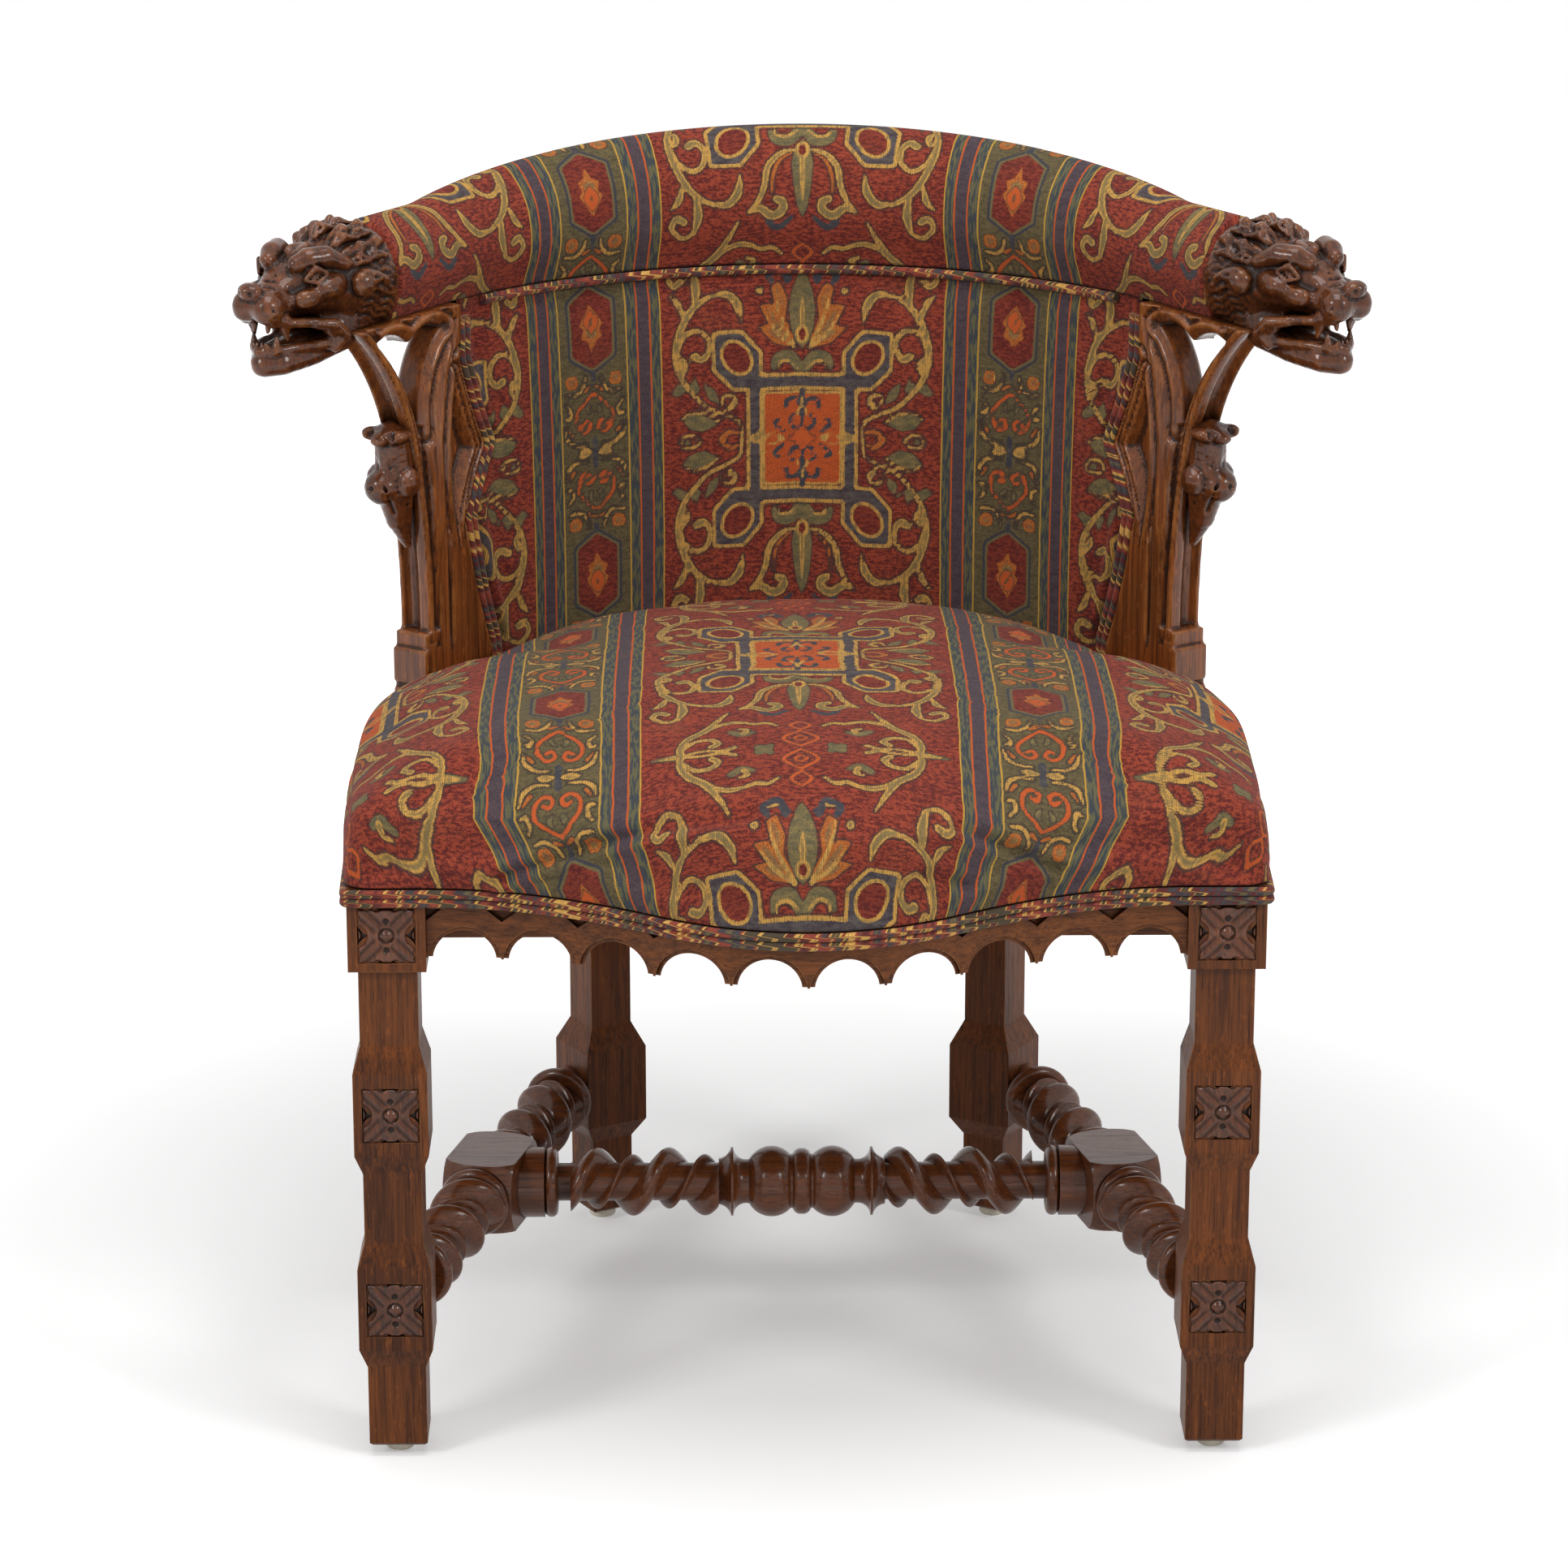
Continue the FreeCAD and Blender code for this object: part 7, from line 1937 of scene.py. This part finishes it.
leaf.field += 0.12 * np.sin(leaf.z * 1.3 + np.sin(leaf.y * 0.5) * 2)
carved_pair("carved_crocket", leaf, board_to_chair, "arm_crocket", oak_carved)

# %% [markdown]
# ### Carved squares on the legs
# Six squares, three on each front leg, hold a flower of four scalloped leaves round a bead. One is drawn as a
# height over the face of the leg, below 0 where the ground is cut away, and Geometry Nodes puts a copy on
# each block. Six separate carvings would only repeat the same points.

# %% One carved square
TILE = 36.6
TILE_STEPS = 72
LEAF_FACE = 0.7
BORDER = 0.7
SHALLOW, DEEP = -0.58, -2.45
BEAD = 4.0
BEAD_SUNK = 1.6
BEAD_GROOVE = 0.7

tile_line = np.linspace(-TILE / 2, TILE / 2, TILE_STEPS)
u, v = np.meshgrid(tile_line, tile_line)
diagonal = (np.abs(u) + np.abs(v)) / math.sqrt(2)
aside = (np.abs(u) - np.abs(v)) / math.sqrt(2)
rib = np.exp(-(aside / 1.2) ** 2) * smoothstep(diagonal, 4, 6)
beside = np.exp(-((np.abs(aside) - 3.2) / 1.3) ** 2) * smoothstep(diagonal, 5, 8)
face = LEAF_FACE + 0.7 * rib - 0.7 * beside
far_u, far_v = np.abs(u), np.abs(v)
from_side = np.hypot(far_u - 21.0, v)
moon = np.maximum(from_side - 8.8, 4.6 - from_side)
holes = np.hypot(u, far_v - 9.6) - 2.1
notches = np.hypot(far_u - 5.6, far_v - 19.4) - 3.3
scallops = np.minimum(np.hypot(far_u - 19.2, far_v - 12.2), np.hypot(far_u - 11.8, far_v - 19.2)) - 2.4
border = np.minimum(TILE / 2 - far_u, TILE / 2 - far_v) - BORDER
ground = np.minimum.reduce([moon, holes, notches, scallops, border])
in_ground = smoothstep(-ground, -0.5, 0.7)
floor_level = np.where(np.minimum(moon, border) < 0.6, DEEP, SHALLOW)
height = face + (floor_level - face) * in_ground
centre = np.hypot(u, v)
round_bead = np.abs(centre - BEAD - BEAD_GROOVE) < BEAD_GROOVE
height = np.where(round_bead, SHALLOW, height)
dome = np.sqrt(np.maximum(BEAD ** 2 - centre ** 2, 0)) - BEAD_SUNK
height = np.where(centre < BEAD, np.maximum(height, dome), height)
tile_points = np.stack([u, -height, v], -1).reshape(-1, 3) / 1000
tile = piece("carved_tile", tile_points, grid_faces(TILE_STEPS, TILE_STEPS), oak_carved)
# sunk darkens the cut-away ground and the grooves as painted shade
keep(tile, "sunk", np.maximum(in_ground, 0.5 * np.maximum(beside, round_bead)).ravel())
print("carved square from", round(float(height.min()), 2), "to", round(float(height.max()), 2), "mm")

# %% Copies on the six blocks
LEG_MIDDLE = 267.5
BLOCKS = ((1.0, 106.0), (1.0, 241.0), (0.0, 363.5))    # how far back the face stands, and height
SQUARES = [(side * LEG_MIDDLE, back, z) for side in (-1, 1) for back, z in BLOCKS]
spread = Growth("carved_squares", Places="Geometry", Tile="Object", Material="Material")
source = spread.node("GeometryNodeObjectInfo", None, {"Object": spread.given("Tile")}, out="Geometry")
copies = spread.node("GeometryNodeInstanceOnPoints", None,
                     {"Points": spread.given("Places"), "Instance": source})
square_tree = spread.end(copies)
places = bpy.data.meshes.new("leg_carving")
places.from_pydata(metres(SQUARES).tolist(), [], [])
leg_carving = grown(linked("leg_carving", places), square_tree, Tile=tile, Material=oak_carved)
bpy.data.objects.remove(tile)
in_place(leg_carving, "oak")

# %% [markdown]
# ## Studio
# The photograph is a cut-out on white with soft crossing shadows, so two large soft lamps stand at the front
# left and right, a third hangs above, and the world adds a little fill. The floor takes the shadows. Its
# whiteness for the camera comes from Light Path, so no extra light falls on the chair.

# %% Lamps, world and floor
LAMPS = (("lamp_left", (-2300, -1700, 2100), 0.8, 32.0), ("lamp_right", (2300, -1700, 2100), 0.8, 32.0),
         ("lamp_top", (0, -300, 3000), 1.6, 36.0))
AIM = (0, 150, 420)
WORLD_FILL = 0.42
FLOOR_SIZE = 9.0             # metres
NEAR_GLOW = 0.28
FAR_GLOW = 1.0
GLOW_FROM = 0.45             # metres from the middle of the floor
GLOW_TO = 1.6
SEEN_RAYS = ("Is Camera Ray", "Is Glossy Ray", "Is Transmission Ray")


def soft_lamp(name, place, side, power):
    """A square lamp that points at the chair."""
    light = bpy.data.lights.new(name, "AREA")
    light.size = side
    light.energy = power
    lamp = linked(name, light)
    lamp.location = metres(place)
    aim = Vector(metres(AIM)) - lamp.location
    lamp.rotation_euler = aim.to_track_quat("-Z", "Y").to_euler()


for lamp_values in LAMPS:
    soft_lamp(*lamp_values)


def seen(finish):
    """1 for rays from the camera and those that gloss or glass sends on, and 0 for light on the chair."""
    rays = [finish.node("ShaderNodeLightPath", out=ray) for ray in SEEN_RAYS]
    return rays[0].most(rays[1]).most(rays[2])


sky = Finish("studio", "worlds", "Background")
sky.set(Color=(1, 1, 1, 1), Strength=seen(sky) * (1 - WORLD_FILL) + WORLD_FILL)
bpy.context.scene.world = sky.material

paper = Finish("studio_floor")
spot = paper.node("ShaderNodeNewGeometry", out="Position")
away = paper.node("ShaderNodeVectorMath", {"operation": "LENGTH"}, {0: spot}, out="Value")
near, far = [(grey, grey, grey, 1) for grey in (NEAR_GLOW, FAR_GLOW)]
glow = paper.blend(seen(paper), (0, 0, 0, 1), paper.blend(away.rise(GLOW_FROM, GLOW_TO), near, far))
paper.set(Base_Color=(0.8, 0.8, 0.8, 1), Roughness=0.9, Emission_Color=glow, Emission_Strength=1.0)
paper.set(Specular_IOR_Level=0.0)
half = FLOOR_SIZE / 2
floor_corners = [(-half, -half, 0), (half, -half, 0), (half, half, 0), (-half, half, 0)]
floor = piece("studio_floor", floor_corners, [(0, 1, 2, 3)], paper.material)
floor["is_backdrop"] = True
print("lamps", len(LAMPS))

# %% [markdown]
# ## The size
# Fabric may stand a little proud of the CAD solids, so both boxes are printed side by side. Fabric may
# stand a little proud of the CAD solids, but the chair must not grow.

# %% Sizes and finish
SEEN_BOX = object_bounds()
sizes = {"cad": [list(corner) for corner in CAD_BOX], "visual": [list(corner) for corner in SEEN_BOX]}
print("cad", sizes["cad"], "visual", sizes["visual"])
